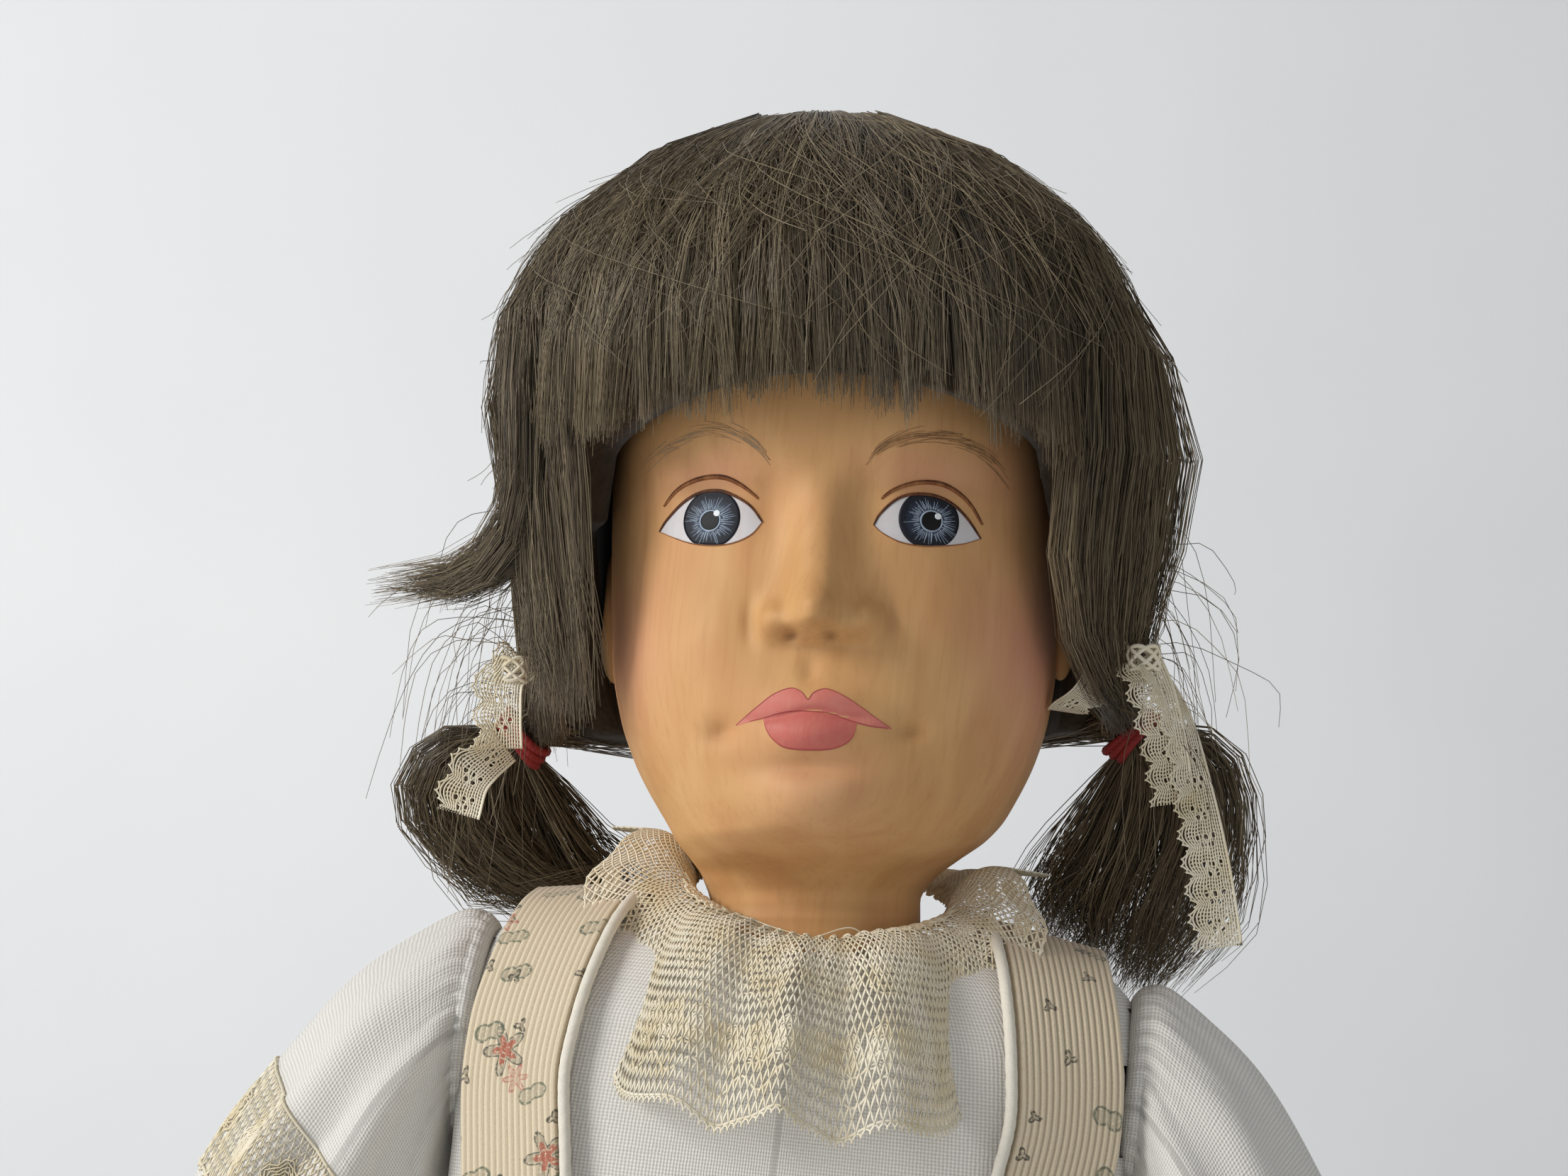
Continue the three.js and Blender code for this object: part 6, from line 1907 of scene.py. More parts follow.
        layers = [
            self.bundle(control, np.array([0.2, 0.2]), 1, 10, rng, 0.9)
            for control in (first, second, third)
        ]
        paths, shade = (np.concatenate(both) for both in zip(*layers))
        # The single hairs are paler by a step: painted highlight on the hairs that lie on top.
        return self.strands(
            "hair_flyaways", paths, np.clip(shade + 0.08, 0, 1), material, root=0.7, tip=0.45
        )

    def make(self) -> list[bpy.types.Object]:
        """Every piece of the wig."""
        rng = np.random.default_rng(21)
        hair = WigHair().material()
        # The ground's darker finish is painted shade of the hair's deeper layers.
        under = WigHair(name="mohair_ground_shade", middle="#4c4033", ground=True).material()
        ground = self.ground(under, HeadShape())
        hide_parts("hair_crown", "hair_bangs", "hair_side_left", "hair_side_right", "wig_cap")
        made = [
            ground, *self.make_fringe(hair, rng), self.make_flick(hair, rng),
            self.make_flyaways(hair, rng)
        ]
        for side in (1, -1):
            made += [
                self.make_side(side, hair, rng), self.make_locks(side, hair, rng),
                self.make_pigtail(side, hair, rng)
            ]
        return made


# Clothes


@dataclass(frozen=True)
class TorsoShape:
    """The torso's sizes above the hip pins, and the surfaces an even distance outside it."""

    chest_half: float = 52.0
    chest_depth: float = 30.0
    waist_half: float = 39.0
    pelvis_half: float = 43.0
    waist: float = 98.0
    shoulder: float = 177.0
    neck: float = 196.0
    hip_z: float = 275.0

    def sections(self) -> Sections:
        """The torso's sections from the crotch to the shoulders."""
        chest, depth, waist, pelvis = self.chest_half, self.chest_depth, self.waist_half, self.pelvis_half
        return Sections(
            (
                (-19, 13, 14, 15, 2.2),
                (0, 0.86 * pelvis, 24, 26, 2.3),
                (17.1, pelvis, 27, 31, 2.4),
                (44.1, 0.98 * pelvis, 27.5, 30, 2.4),
                (73.5, 1.06 * waist, 27, 25, 2.3),
                (self.waist, waist, 26, 22, 2.3),
                (125.65, 0.86 * chest, 0.97 * depth, 0.8 * depth, 2.5),
                (153.3, 1.04 * chest, depth, 0.87 * depth, 2.7),
                (181, 1.06 * chest, 0.92 * depth, 0.85 * depth, 2.7),
                (190, 0.99 * chest, 0.77 * depth, 0.77 * depth, 2.5),
                (self.neck, 0.86 * chest, 0.52 * depth, 0.56 * depth, 2.2),
                (199, 0.64 * chest, 0.2 * depth, 0.26 * depth, 2),
            )
        )

    def skin(self, angle: Array, height: Array, offset: Array | float, side: float = 200.0) -> Array:
        """Points an offset outside the torso, cut flat at +-side and lifted over the shoulders."""
        points = self.sections().ring(angle, height, offset)
        points[..., 0] = np.clip(points[..., 0], -side, side)
        points[..., 2] += offset * smooth(181, 199, points[..., 2])
        return points

    def world(self, points: Array) -> Array:
        """The points in the doll's frame."""
        return points + (0, 0, self.hip_z)


def shelled(front: Array, back: Array, faces: Array) -> Mesh:
    """A closed shell between two copies of the same open skin.

    Args:
        front: N x 3 points of the outer side.
        back: N x 3 points of the inner side.
        faces: M x 4, facing outward; edges that only one face uses become rims.

    Returns:
        Points and faces; every rim gets a quad between the two sides.
    """
    count = len(front)
    start, end = faces.ravel(), np.roll(faces, -1, axis=1).ravel()
    open_edge = ~np.isin(start * count + end, end * count + start)
    a, b = start[open_edge], end[open_edge]
    rims = np.stack([b, a, a + count, b + count], axis=-1)
    return np.concatenate([front, back]), [np.concatenate([faces, faces[:, ::-1] + count, rims])]


@dataclass(frozen=True)
class Blouse:
    """The blouse's body, lying on the torso from the neckline down into the waistband."""

    body: TorsoShape = TorsoShape()
    outer: float = 2.3
    wall: float = 0.8
    hem: float = 92.0
    neckline_r: float = 20.9
    armhole_r: float = 18.9
    columns: int = 196

    def surface(self, inset: float) -> Array:
        """The grid of one side of the cloth: up the torso, then in over the shoulders to the
        neckline. The height where a column leaves the torso is found by halving, where the
        section's radius falls to the neckline's."""
        turns = circle(self.columns)
        offset = self.outer - inset
        side = self.body.chest_half + offset - 0.7
        low, high = np.full(self.columns, 181.0), np.full(self.columns, 199.0)
        for _ in range(24):
            middle = (low + high) / 2
            wide = np.linalg.norm(
                self.body.skin(turns, middle, offset)[:, :2], axis=-1
            ) > self.neckline_r + 1
            low, high = np.where(wide, middle, low), np.where(wide, high, middle)
        share = np.linspace(0, 1, 68)[:, None]
        height = self.hem + (low - self.hem) * share
        gather = 0.35 * (1 - np.cos(34 * turns)) / 2 * smooth(135, 100, height)
        ripple = 0.25 * (1 + np.sin(3 * turns + height / 17) * np.cos(height / 11 - 2 * turns)) / 2
        rising = self.body.skin(turns, height, offset - gather - ripple, side)
        last = rising[-1]
        goal = last.copy()
        goal[:, :2] = unit(last[:, :2]) * self.neckline_r
        inward = mix(last, goal, np.linspace(0, 1, 8)[1:, None, None])
        return np.concatenate([rising, inward])

    def make(self, cotton: bpy.types.Material) -> list[bpy.types.Object]:
        """The blouse's body, open at neck, hem and both armholes."""
        front, back = self.surface(0), self.surface(self.wall)
        rows = front.shape[0]
        faces = quads(rows, self.columns, wrap_columns=True)
        centre = front.reshape(-1, 3)[faces].mean(axis=1)
        reach = np.hypot(centre[:, 1], centre[:, 2] - self.body.shoulder)
        faces = faces[~((reach < self.armhole_r) & (np.abs(centre[:, 0]) > self.body.chest_half + 0.3))]
        turns = circle(self.columns)
        uv = np.stack(
            [np.broadcast_to(turns * 42, (rows, self.columns)), front[..., 2]], axis=-1
        ).reshape(-1, 2)
        points, shell = shelled(front.reshape(-1, 3), back.reshape(-1, 3), faces)
        piece = object_of(
            "blouse_cloth", self.body.world(points), shell, cotton, uv=np.tile(uv, (2, 1))
        )
        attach(piece, "torso")
        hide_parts("blouse_body")
        return [piece]


@dataclass(frozen=True)
class Sleeve:
    """One full sleeve: gathered into the armhole, loose at the elbow and gathered on the wrist."""

    side: int = 1
    shoulder_x: float = 59.3
    shoulder_z: float = 452.0
    abduction: float = 26.0
    rest_bend: float = 15.0
    upper_arm: float = 88.0
    length: float = 79.0
    start_r: float = 17.4
    puff: float = 23.5
    end_r: float = 13.5
    wall: float = 0.8
    columns: int = 112
    forearm_rows: tuple[tuple[float, ...], ...] = (
        (0, 8.8, 9, 9, 2), (22, 9, 9.4, 9.4, 2), (66, 5.2, 6.2, 6.2, 2), (72, 5, 6.4, 6.4, 2.1),
    )

    @property
    def name(self) -> str:
        """Which of the doll's own sides it is on."""
        return side_name(self.side)

    def along_arm(self, distance: float, outwards: float) -> tuple[float, float]:
        """The place (x, z) at a distance down the arm and a distance outside its axis."""
        sine, cosine = math.sin(math.radians(self.abduction)), math.cos(math.radians(self.abduction))
        return (distance * sine + outwards * cosine, -distance * cosine + outwards * sine)

    def arm_frame(self) -> Array:
        """From the arm's frame, whose origin is the shoulder pin, to the doll's. The arm hangs
        along -Z in it."""
        return shift(
            self.side * self.shoulder_x, 0, self.shoulder_z
        ) @ turn("y", -self.side * self.abduction)

    def forearm_frame(self) -> Array:
        """From the forearm's frame, whose origin is the elbow pin, to the doll's."""
        return self.arm_frame() @ shift(0, 0, -self.upper_arm) @ turn("x", -self.rest_bend)

    def upper(self, turns: Array, share: Array, grow: Array | float = 0.0) -> Array:
        """Points of the upper sleeve in the doll's frame.

        Args:
            turns: round the sleeve.
            share: from the armhole, 0, to just above the elbow, 1; the turned-in edge starts at -1/3.
            grow: distance outside the sleeve's middle surface.

        Returns:
            The points. The section spans a top line, over the shoulder and down the outside of the
            arm, and a low line, from the armpit down its inside; the cloth between them falls in
            folds that run from the armhole's gathers to the elbow.
        """
        radius, wide = self.start_r, self.start_r + 1.6
        turned = [(-6.3, -14.4), (-6.7, -radius + 0.6), (-4.3, -wide)]
        line = (6 * share + 2) / 8
        share = np.maximum(share, 0)
        top = catmull(
            [*((x, -z) for x, z in turned), (1, radius - 0.3), (14, 6.5), (25, -9), (35, -26), (42, -46),
             self.along_arm(self.length, self.end_r)],
            line,
        )
        low = catmull(
            [*turned, (-4.2, -22.5), (-4.1, -29), (-2, -39), (4, -50.5), (13, -64),
             self.along_arm(self.length, -self.end_r)],
            line,
        )
        centre, across = (top + low) / 2, (top - low) / 2
        span = np.linalg.norm(across, axis=-1)
        ease = np.sin(math.pi * share)
        broad = 1.1 * ease * np.cos(8 * turns + np.sin(turns) + 2 * share)
        sharp = 0.85 * ease**0.5 * np.abs(
            np.sin(7.5 * turns + 1.4 * np.sin(2 * turns + 5 * share) + 2.6 * share)
        ) ** 0.6
        gathers = (
            0.55 * np.cos(38 * turns + 3 * np.sin(3 * turns)) * smooth(0.3, 0.02, share)
            * smooth(0.12, 0.25, line)
        )
        fold = broad + sharp - 0.5 * smooth(0.12, 0.25, line) + gathers + grow
        puffed = mix(mix(14.4, wide, smooth(0.0, 0.22, line)), self.puff, smooth(0, 0.4, share))
        depth = mix(puffed, self.end_r, smooth(0.6, 1, share))
        scale = ((span + fold) / span * np.sin(turns))[..., None]
        flat = centre + across * scale
        points = np.stack([flat[..., 0], -(depth + fold) * np.cos(turns), flat[..., 1]], axis=-1)
        return points * (self.side, 1, 1) + (self.side * self.shoulder_x, 0, self.shoulder_z)

    def lower(self, turns: Array, share: Array) -> Array:
        """Points of the lower sleeve in the doll's frame, from above the elbow to the wrist.

        Args:
            turns: angles round the sleeve.
            share: from above the elbow (0) to the wrist (1).

        Returns:
            The points.
        """
        distance = mix(-3.0, 68.0, share)
        full = np.sin(math.pi * np.minimum(share + 0.35, 1))
        fold = 0.9 * np.sin(math.pi * share) * np.cos(8 * turns + 2 * share)
        fold += (
            0.4 * np.sin(math.pi * share) ** 0.5 * np.cos(17 * turns + 3 * share + np.sin(4 * turns))
        )
        fold += 0.25 * np.cos(30 * turns) * smooth(0.75, 1, share)
        ease = (
            mix(0.6, 0.3, smooth(0.8, 1, share)) + 4.4 * full + fold + 0.5
            + 0.25 * smooth(0.75, 1, share)
        )
        points = Sections(self.forearm_rows).ring(turns, distance, ease)
        points[..., 2] *= -1
        return placed(self.forearm_frame(), points * (self.side, 1, 1))

    def cloth(self) -> tuple[Array, Array]:
        """The sleeve's grid from armhole to cuff and its pattern coordinates. The upper sleeve's
        angle starts at the front and its top is a quarter turn on, as the lower one's is."""
        turns = circle(self.columns)[None]
        upper = self.upper(turns, np.linspace(-1 / 3, 0.985, 92)[:, None])
        lower = self.lower(turns, np.linspace(0.05, 1, 48)[:, None])
        t = np.linspace(0, 1, 12)[1:-1, None, None]
        slope_a, slope_b = (upper[-1] - upper[-2]) * 11, (lower[1] - lower[0]) * 11
        seam = (2 * t**3 - 3 * t**2 + 1) * upper[-1] + (t**3 - 2 * t**2 + t) * slope_a
        seam = seam + (3 * t**2 - 2 * t**3) * lower[0] + (t**3 - t**2) * slope_b
        grid = np.concatenate([upper, seam, lower])
        down = running(grid[:, 0])[:, None]
        uv = stacked(turns * 21, down)
        return grid, uv

    def make(self, cotton: bpy.types.Material, thread: bpy.types.Material) -> list[bpy.types.Object]:
        """The sleeve and its insertion of lace.

        Args:
            cotton: the sleeve's cloth.
            thread: the thread of its lace.

        Returns:
            The pieces.
        """
        grid, uv = self.cloth()
        points, faces = walled(grid, self.wall, wrap_columns=True)
        both = np.concatenate([uv, uv[::-1]]).reshape(-1, 2)
        piece = object_of(f"sleeve_cloth_{self.name}", points, faces, cotton, uv=both)
        elbow = placed(self.forearm_frame(), np.zeros(3)) * MM
        down = placed(self.arm_frame(), np.array([0, 0, -self.upper_arm - 14.0])) * MM
        up = placed(self.arm_frame(), np.array([0, 0, -self.upper_arm + 14.0])) * MM
        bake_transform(piece)
        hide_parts(f"sleeve_{self.name}", f"lower_sleeve_{self.name}")
        return [piece, *self.insertion(thread)]

    def insertion(self, thread: bpy.types.Material) -> list[bpy.types.Object]:
        """The lace band let into the sleeve, worked in the same net as the collar."""
        lace = LaceWork(pitch=1.45, thread_r=0.18)
        around, wide = 140.0, 15.0

        def surface(u: Array, v: Array) -> Array:
            """The middle of the insertion, from flat (u, v)."""
            turns = u / around * 2 * math.pi
            slant = 0.5 + (v + 0.8 * np.sin(2 * turns)) / wide / 6
            return self.upper(turns, slant, 0.75)

        parts = [lace.laid(surface, lace.ground(around, wide), 0.0)]
        parts += [
            lace.laid(surface, lace.rail(around, level, 0.0, 1.0), 0.1, 0.3) for level in (0.1, wide)
        ]
        parts.append(lace.laid(surface, lace.picots(around, wide, 1.3), 0.0))
        parts.append(lace.laid(surface, lace.blossoms(around, wide, 11.0), 0.1, 0.2))
        points, faces = joined(parts)
        piece = object_of(f"sleeve_lace_work_{self.name}", points, faces, thread)
        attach(piece, f"upper_arm_{self.name}")
        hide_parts(f"sleeve_lace_{self.name}")
        return [piece]


@dataclass(frozen=True)
class LaceWork:
    """Bobbin lace worked flat in mm, u along the band and v across it, then laid on a surface."""

    pitch: float = 1.3
    thread_r: float = 0.17

    def ground(self, length: float, width: float) -> Array:
        """The net: threads that run along the band in waves. Neighbours are in opposite phase, so
        they meet at every half wave and leave one round hole between two meetings."""
        lanes = max(int(round(width / self.pitch)), 1)
        waves = int(round(length / self.pitch))
        u = np.linspace(0, length, waves * 4 + 1)
        lane = np.arange(lanes)[:, None]
        v = (
            lane + 0.5 + 0.56 * np.cos(2 * math.pi * u / length * waves) * (1 - 2 * (lane % 2))
        ) * width / lanes
        return stacked(u[None], v)

    def rail(self, length: float, level: float, sway: float, period: float) -> Array:
        """One thread along the band at a level, swaying by a wave."""
        u = np.linspace(0, length, int(length * 1.6) + 2)
        return np.stack([u, level + sway * np.sin(2 * math.pi * u / period)], axis=-1)[None]

    def picots(self, length: float, level: float, period: float) -> Array:
        """Small loops along the outer edge."""
        u = np.linspace(0, length, int(length / period) * 6 + 1)
        phase = math.pi * u / period
        return np.stack(
            [u + 0.25 * period * np.sin(2 * phase), level + 0.75 * np.abs(np.sin(phase))], axis=-1
        )[None]

    def blossoms(self, length: float, width: float, apart: float) -> Array:
        """Small closed spirals of thread in a row, as the denser figures of the lace.

        Args:
            length: of the row.
            width: of the lace.
            apart: from one spiral to the next.

        Returns:
            Their paths, flat.
        """
        count = max(int(length / apart), 1)
        t = np.linspace(0, 1, 104)
        centres = (np.arange(count) + 0.5) * length / count
        reach = width * 0.24 * (0.15 + 0.85 * t) * (1 + 0.16 * np.cos(5 * 2 * math.pi * t * 6.2))
        turns = 2 * math.pi * 6.2 * t
        return np.stack(
            [
                centres[:, None] + reach * np.cos(turns),
                width * 0.5 + reach * np.sin(turns) + 0 * centres[:, None]
            ],
            axis=-1
        )

    def laid(
        self, surface: Callable[[Array, Array], Array], paths: Array, lift: float,
        radius: float | None = None
    ) -> Mesh:
        """Threads as tubes on a surface.

        Args:
            surface: gives the point of (u, v).
            paths: N x K x 2.
            lift: distance in front of the surface.
            radius: of the thread; the usual one without it.

        Returns:
            The tubes. The normal is the cross product of the surface's two slopes over 0.1 mm.
        """
        u, v = paths[..., 0], paths[..., 1]
        here = surface(u, v)
        normal = unit(np.cross(surface(u + 0.1, v) - here, surface(u, v + 0.1) - here))
        return tubes(here + normal * lift, radius or self.thread_r, 3, normal)


@dataclass(frozen=True)
class LaceCollar:
    """The gathered lace collar: a heading drawn in round the neck, a net that falls over the chest
    and stands up at both sides and behind, and a picot edge."""

    body: TorsoShape = TorsoShape()
    neckline_r: float = 20.5
    reach: float = 45.0
    folds: int = 11
    length: float = 300.0
    width: float = 34.0

    def surface(self, u: Array, v: Array) -> Array:
        """The collar's middle surface in the doll's frame, from flat (u, v). The ruffle is a wave
        round the neck that grows outwards, with a finer crinkle near the gathers.

        Args:
            u: lengths along the gathered edge.
            v: widths out from it.

        Returns:
            The points.
        """
        turns = u / self.length * 2 * math.pi + math.pi
        share = v / self.width
        front = (1 + np.cos(turns)) / 2
        fall = smooth(0.5, 0.95, front)
        held = np.clip(share, 0, 1.2)
        band = self.body.neck + 0.5 + 13.5 * (1 - front) ** 0.6
        reach = mix(mix(33, 38.5, smooth(0.1, 0.5, front)), self.reach, fall)
        edge = self.body.neck + mix(17, -27, fall)
        ruffle = mix(4.3, 3.0, fall) * share * np.cos(self.folds * turns + 1.2 * np.sin(3 * turns))
        ruffle += 0.9 * held * (1 - 0.4 * held) * np.cos(29 * turns + 2 * np.sin(5 * turns))
        crinkle = 0.45 * smooth(0.3, 0.05, share) * np.cos(61 * turns + 3 * np.sin(4 * turns))
        radius = mix(
            self.neckline_r + 0.8, reach, held ** mix(1.25, 0.8, fall)
        ) + ruffle * (0.55 + 0.45 * (1 - fall)) + crinkle
        hump = 4 * np.sin(math.pi * share) * front
        height = mix(band, edge, held ** mix(0.75, 1.6, fall)) + hump + 0.6 * ruffle * fall + crinkle
        slim = mix(1, 0.9, share)
        return np.stack(
            [radius * np.sin(turns) * slim, -radius * np.cos(turns), height + self.body.hip_z], axis=-1
        )

    def heading(self) -> Array:
        """The drawn-in threads of the neck edge, each wandering in short waves."""
        rng = np.random.default_rng(5)
        u = np.linspace(0, self.length, 700)
        lanes = np.linspace(-0.6, 3.4, 9)[:, None]
        phase = rng.uniform(0, 6, (9, 1))
        wave = (
            0.5 * np.sin(u * 2.1 + phase) * np.cos(u * 0.37 + 2 * phase)
            + 0.25 * np.sin(u * 4.4 + 3 * phase)
        )
        return np.stack([np.broadcast_to(u, (9, 700)), lanes + wave], axis=-1)

    def loose(self) -> Mesh:
        """A few thread ends that have come away from the heading in front."""
        control = np.array(
            [
                [
                    (-17, -13, 470), (-13, -22, 474.5), (-4, -25, 473), (6, -25.5, 471.5),
                    (13, -23, 473.2)
                ],
                [(-12, -17, 469), (-8, -24, 472.5), (0, -26.5, 472), (7, -25, 474.5), (11, -22, 471)],
                [(-15, -15, 468), (-10, -23.5, 470.5), (-3, -27, 470), (2, -27, 468.5), (5, -26, 471)],
            ],
            float,
        )
        paths = np.moveaxis(catmull(np.moveaxis(control, 0, 1), np.linspace(0, 1, 40)), 1, 0)
        return tubes(paths, 0.11)

    def make(self, thread: bpy.types.Material) -> list[bpy.types.Object]:
        """The net with its edges, the denser figures and the heading."""
        lace = LaceWork(pitch=1.38, thread_r=0.215)
        net = lace.laid(self.surface, lace.ground(self.length, self.width), 0.0)
        edge = [
            lace.laid(self.surface, lace.picots(self.length, self.width, 1.35), 0.0, 0.19),
            lace.laid(self.surface, lace.rail(self.length, self.width, 0.0, 1.0), 0.05, 0.27),
            lace.laid(self.surface, lace.rail(self.length, self.width - 3.2, 0.9, 9.0), 0.12, 0.26),
            lace.laid(self.surface, lace.rail(self.length, self.width - 6.0, 0.9, 9.0), 0.12, 0.26),
            lace.laid(self.surface, lace.blossoms(self.length, self.width * 0.9, 15.0), 0.15, 0.24),
            lace.laid(
                self.surface, lace.blossoms(self.length, self.width * 0.34, 6.0) + (3.0, 21.0), 0.15,
                0.2
            ),
        ]
        gathers = [lace.laid(self.surface, self.heading(), 0.0, 0.34), self.loose()]
        made = []
        for name, (points, faces) in (
            ("collar_net", net), ("collar_figures", joined(edge)), ("collar_heading", joined(gathers))
        ):
            piece = object_of(name, points, faces, thread)
            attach(piece, "torso")
            made.append(piece)
        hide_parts("collar")
        return made


@dataclass(frozen=True)
class Straps:
    """The corduroy straps with their piping and buttons, and the waistband they button on."""

    body: TorsoShape = TorsoShape()
    width: float = 18.0
    wall: float = 1.4
    wales: int = 16
    wale_rise: float = 0.32
    piping_r: float = 0.9
    button_r: float = 4.5
    under: float = 2.7
    band_low: float = 90.0
    band_high: float = 106.0
    rows: int = 200

    def middle(self, share: Array, across: float, lift: float) -> Array:
        """The strap's middle line, in the torso's frame: up the chest, over the shoulder and down
        the back. A height is found by halving, where the section is as wide as the strap's x.

        Args:
            share: from the front end (0) to the back one (1).
            across: how far outside the strap's middle, away from the chest's middle.
            lift: how far outside the strap's own place.

        Returns:
            The points.
        """
        front = share < 0.5
        climb = np.where(front, 2 * share, 2 - 2 * share)
        chest = mix(34, 44, np.minimum(1.9 * climb, 1))
        x = np.where(front, mix(chest, 38, smooth(0.55, 1, climb)), mix(24, 38, climb)) + across
        offset = self.under + self.wall / 2 + 2.1 * smooth(0.2, 0.1, climb) + lift
        low, high = np.full(share.shape, self.body.shoulder), np.full(share.shape, 199.0)
        sections = self.body.sections()
        for _ in range(26):
            middle = (low + high) / 2
            wide = sections.at(middle)[..., 0] + offset > x
            low, high = np.where(wide, middle, low), np.where(wide, high, middle)
        height = mix(93.0, low, np.sin(climb * math.pi / 2))
        half, ahead, behind, power = np.moveaxis(sections.at(height), -1, 0)
        part = np.minimum(np.abs(x) / (half + offset), 1)
        reach = (np.where(front, ahead, behind) + offset) * (1 - part**power) ** (1 / power)
        return np.stack(
            [x, np.where(front, -reach, reach), height + offset * smooth(181, 199, height)], axis=-1
        )

    def frames(self) -> tuple[Array, Array, Array]:
        """Even points along the strap, the direction across it, and the direction out of it."""
        dense = np.linspace(0, 1, 900)
        line = self.middle(dense, 0, 0)
        kernel = np.hanning(61) / np.hanning(61).sum()
        padded_line = np.concatenate(
            [line[:1] + (line[:1] - line[30:0:-1]), line, line[-1:] + (line[-1:] - line[-2:-32:-1])]
        )
        line = np.stack(
            [np.convolve(padded_line[:, axis], kernel, "valid") for axis in range(3)], axis=-1
        )
        run = running(line)
        even = np.interp(np.linspace(0, run[-1], self.rows), run, dense)
        centre = between(even, dense, line)
        along = unit(np.gradient(centre, axis=0))
        sideways = self.middle(even, 4.0, 0) - self.middle(even, -4.0, 0)
        window = np.hanning(17) / np.hanning(17).sum()
        sideways = np.stack(
            [
                np.convolve(np.pad(sideways[:, axis], 8, "edge"), window, "valid") for axis in range(3)
            ], axis=-1
        )
        sideways = unit(sideways)
        across = unit(sideways - (sideways * along).sum(-1, keepdims=True) * along)
        out = unit(np.cross(along, across))
        outward = centre * (1, 1, 0) + (0, 0, 1) * (centre[:, 2:] - 150) * 0.5
        out = out * np.sign((out * outward).sum(-1, keepdims=True))
        return centre, across, out

    def strap(self, side: int, corduroy: bpy.types.Material) -> bpy.types.Object:
        """One strap with its wales in relief.

        Args:
            side: 1 on the doll's left, -1 on its right.
            corduroy: the printed corduroy.

        Returns:
            The piece.
        """
        centre, across, out = self.frames()
        wide = np.linspace(-0.5, 0.5, self.wales * 4 + 1)[None, :, None]
        ribs = np.abs(np.cos(math.pi * (self.wales * (wide + 0.5) + 0.5))) ** 0.6
        edge = 1 - smooth(0.47, 0.5, np.abs(wide))
        run = np.arange(len(centre))[:, None, None]
        sag = 0.25 * np.sin(run / 9.0) * np.cos(run / 23.0 + 4 * wide)
        face = centre[:, None] + across[:, None] * wide * self.width
        front = face + out[:, None] * (self.wall / 2 - 0.15 + self.wale_rise * ribs * edge + 0.3 * sag)
        back = face - out[:, None] * self.wall / 2 * (0.9 + 0 * wide)
        spacing = np.linalg.norm(np.diff(centre, axis=0), axis=1)
        down = np.concatenate([[0], np.cumsum(spacing)])
        uv = stacked(wide[..., 0] * self.width, down[:, None] + 40 * side).reshape(-1, 2)
        points, faces = shelled(
            front.reshape(-1, 3), back.reshape(-1, 3), quads(*front.shape[:2])[:, ::-1]
        )
        points = self.body.world(points * (side, 1, 1))
        name = side_name(side)
        piece = object_of(f"strap_cloth_{name}", points, faces, corduroy, uv=np.tile(uv, (2, 1)))
        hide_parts(f"strap_{name}")
        return piece

    def cord(self, side: int, cotton: bpy.types.Material) -> bpy.types.Object:
        """The white piping along the strap's inner edge, with the spiral of a laid cord.

        Args:
            side: 1 on the doll's left, -1 on its right.
            cotton: the white cotton.

        Returns:
            The piece.
        """
        centre, across, out = self.frames()
        line = centre - across * (self.width / 2 + self.piping_r + 0.45) + out * 0.2
        steps = 440
        even, rows = np.linspace(0, self.rows - 1, steps), np.arange(self.rows)
        line, up = between(even, rows, line), between(even, rows, out)
        angle = circle(10)
        along = unit(np.gradient(line, axis=0))
        up = unit(up - (up * along).sum(-1, keepdims=True) * along)
        sideways = np.cross(along, up)
        twist = 1 + 0.1 * np.abs(np.sin(1.5 * angle[None] + np.arange(steps)[:, None] * 0.61))
        radius = (self.piping_r * twist)[..., None]
        rings = line[:, None] + radius * (
            np.cos(angle)[None, :, None] * up[:, None]
            + np.sin(angle)[None, :, None] * sideways[:, None]
        )
        points, faces = capped(rings)
        name = side_name(side)
        piece = object_of(f"piping_cord_{name}", self.body.world(points * (side, 1, 1)), faces, cotton)
        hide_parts(f"strap_piping_{name}")
        return piece

    def button(self, side: int, shell: bpy.types.Material) -> bpy.types.Object:
        """A button with a raised rim and a dished middle, and a thread stitched over it whose ends sink into
        it.

        Args:
            side: 1 on the doll's left, -1 on its right.
            shell: the button's material.

        Returns:
            The piece.
        """
        centre, across, out = self.frames()
        at, rim = 6, self.button_r
        profile = np.array(
            [
                (0.02, 1.2), (2.4, 1.2), (3.0, 1.35), (3.5, 1.95), (4.1, 2.0), (rim, 1.6), (rim, 0.9),
                (3.9, 0.35), (2.5, 0.2), (0.02, 0.2)
            ]
        )
        angle = circle(48)
        axis, side_a = out[at], across[at]
        side_b = np.cross(axis, side_a)
        base = centre[at] + axis * (self.wall / 2 + 0.1)
        flat = np.cos(angle)[:, None] * side_a + np.sin(angle)[:, None] * side_b
        rings = base + profile[:, None, :1] * flat[None] + profile[:, None, 1:] * axis
        stitch = ((-1.0, 0.4), (-0.9, 1.45), (0.0, 1.7), (0.9, 1.45), (1.0, 0.4))
        thread = np.stack([base + side_a * wide + axis * high for wide, high in stitch])
        threads = tubes(np.stack([thread, thread + side_b * 0.35]), 0.22, 6)
        points, faces = joined([capped(rings), threads])
        name = side_name(side)
        piece = object_of(f"shell_button_{name}", self.body.world(points * (side, 1, 1)), faces, shell)
        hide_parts(f"strap_button_{name}")
        return piece

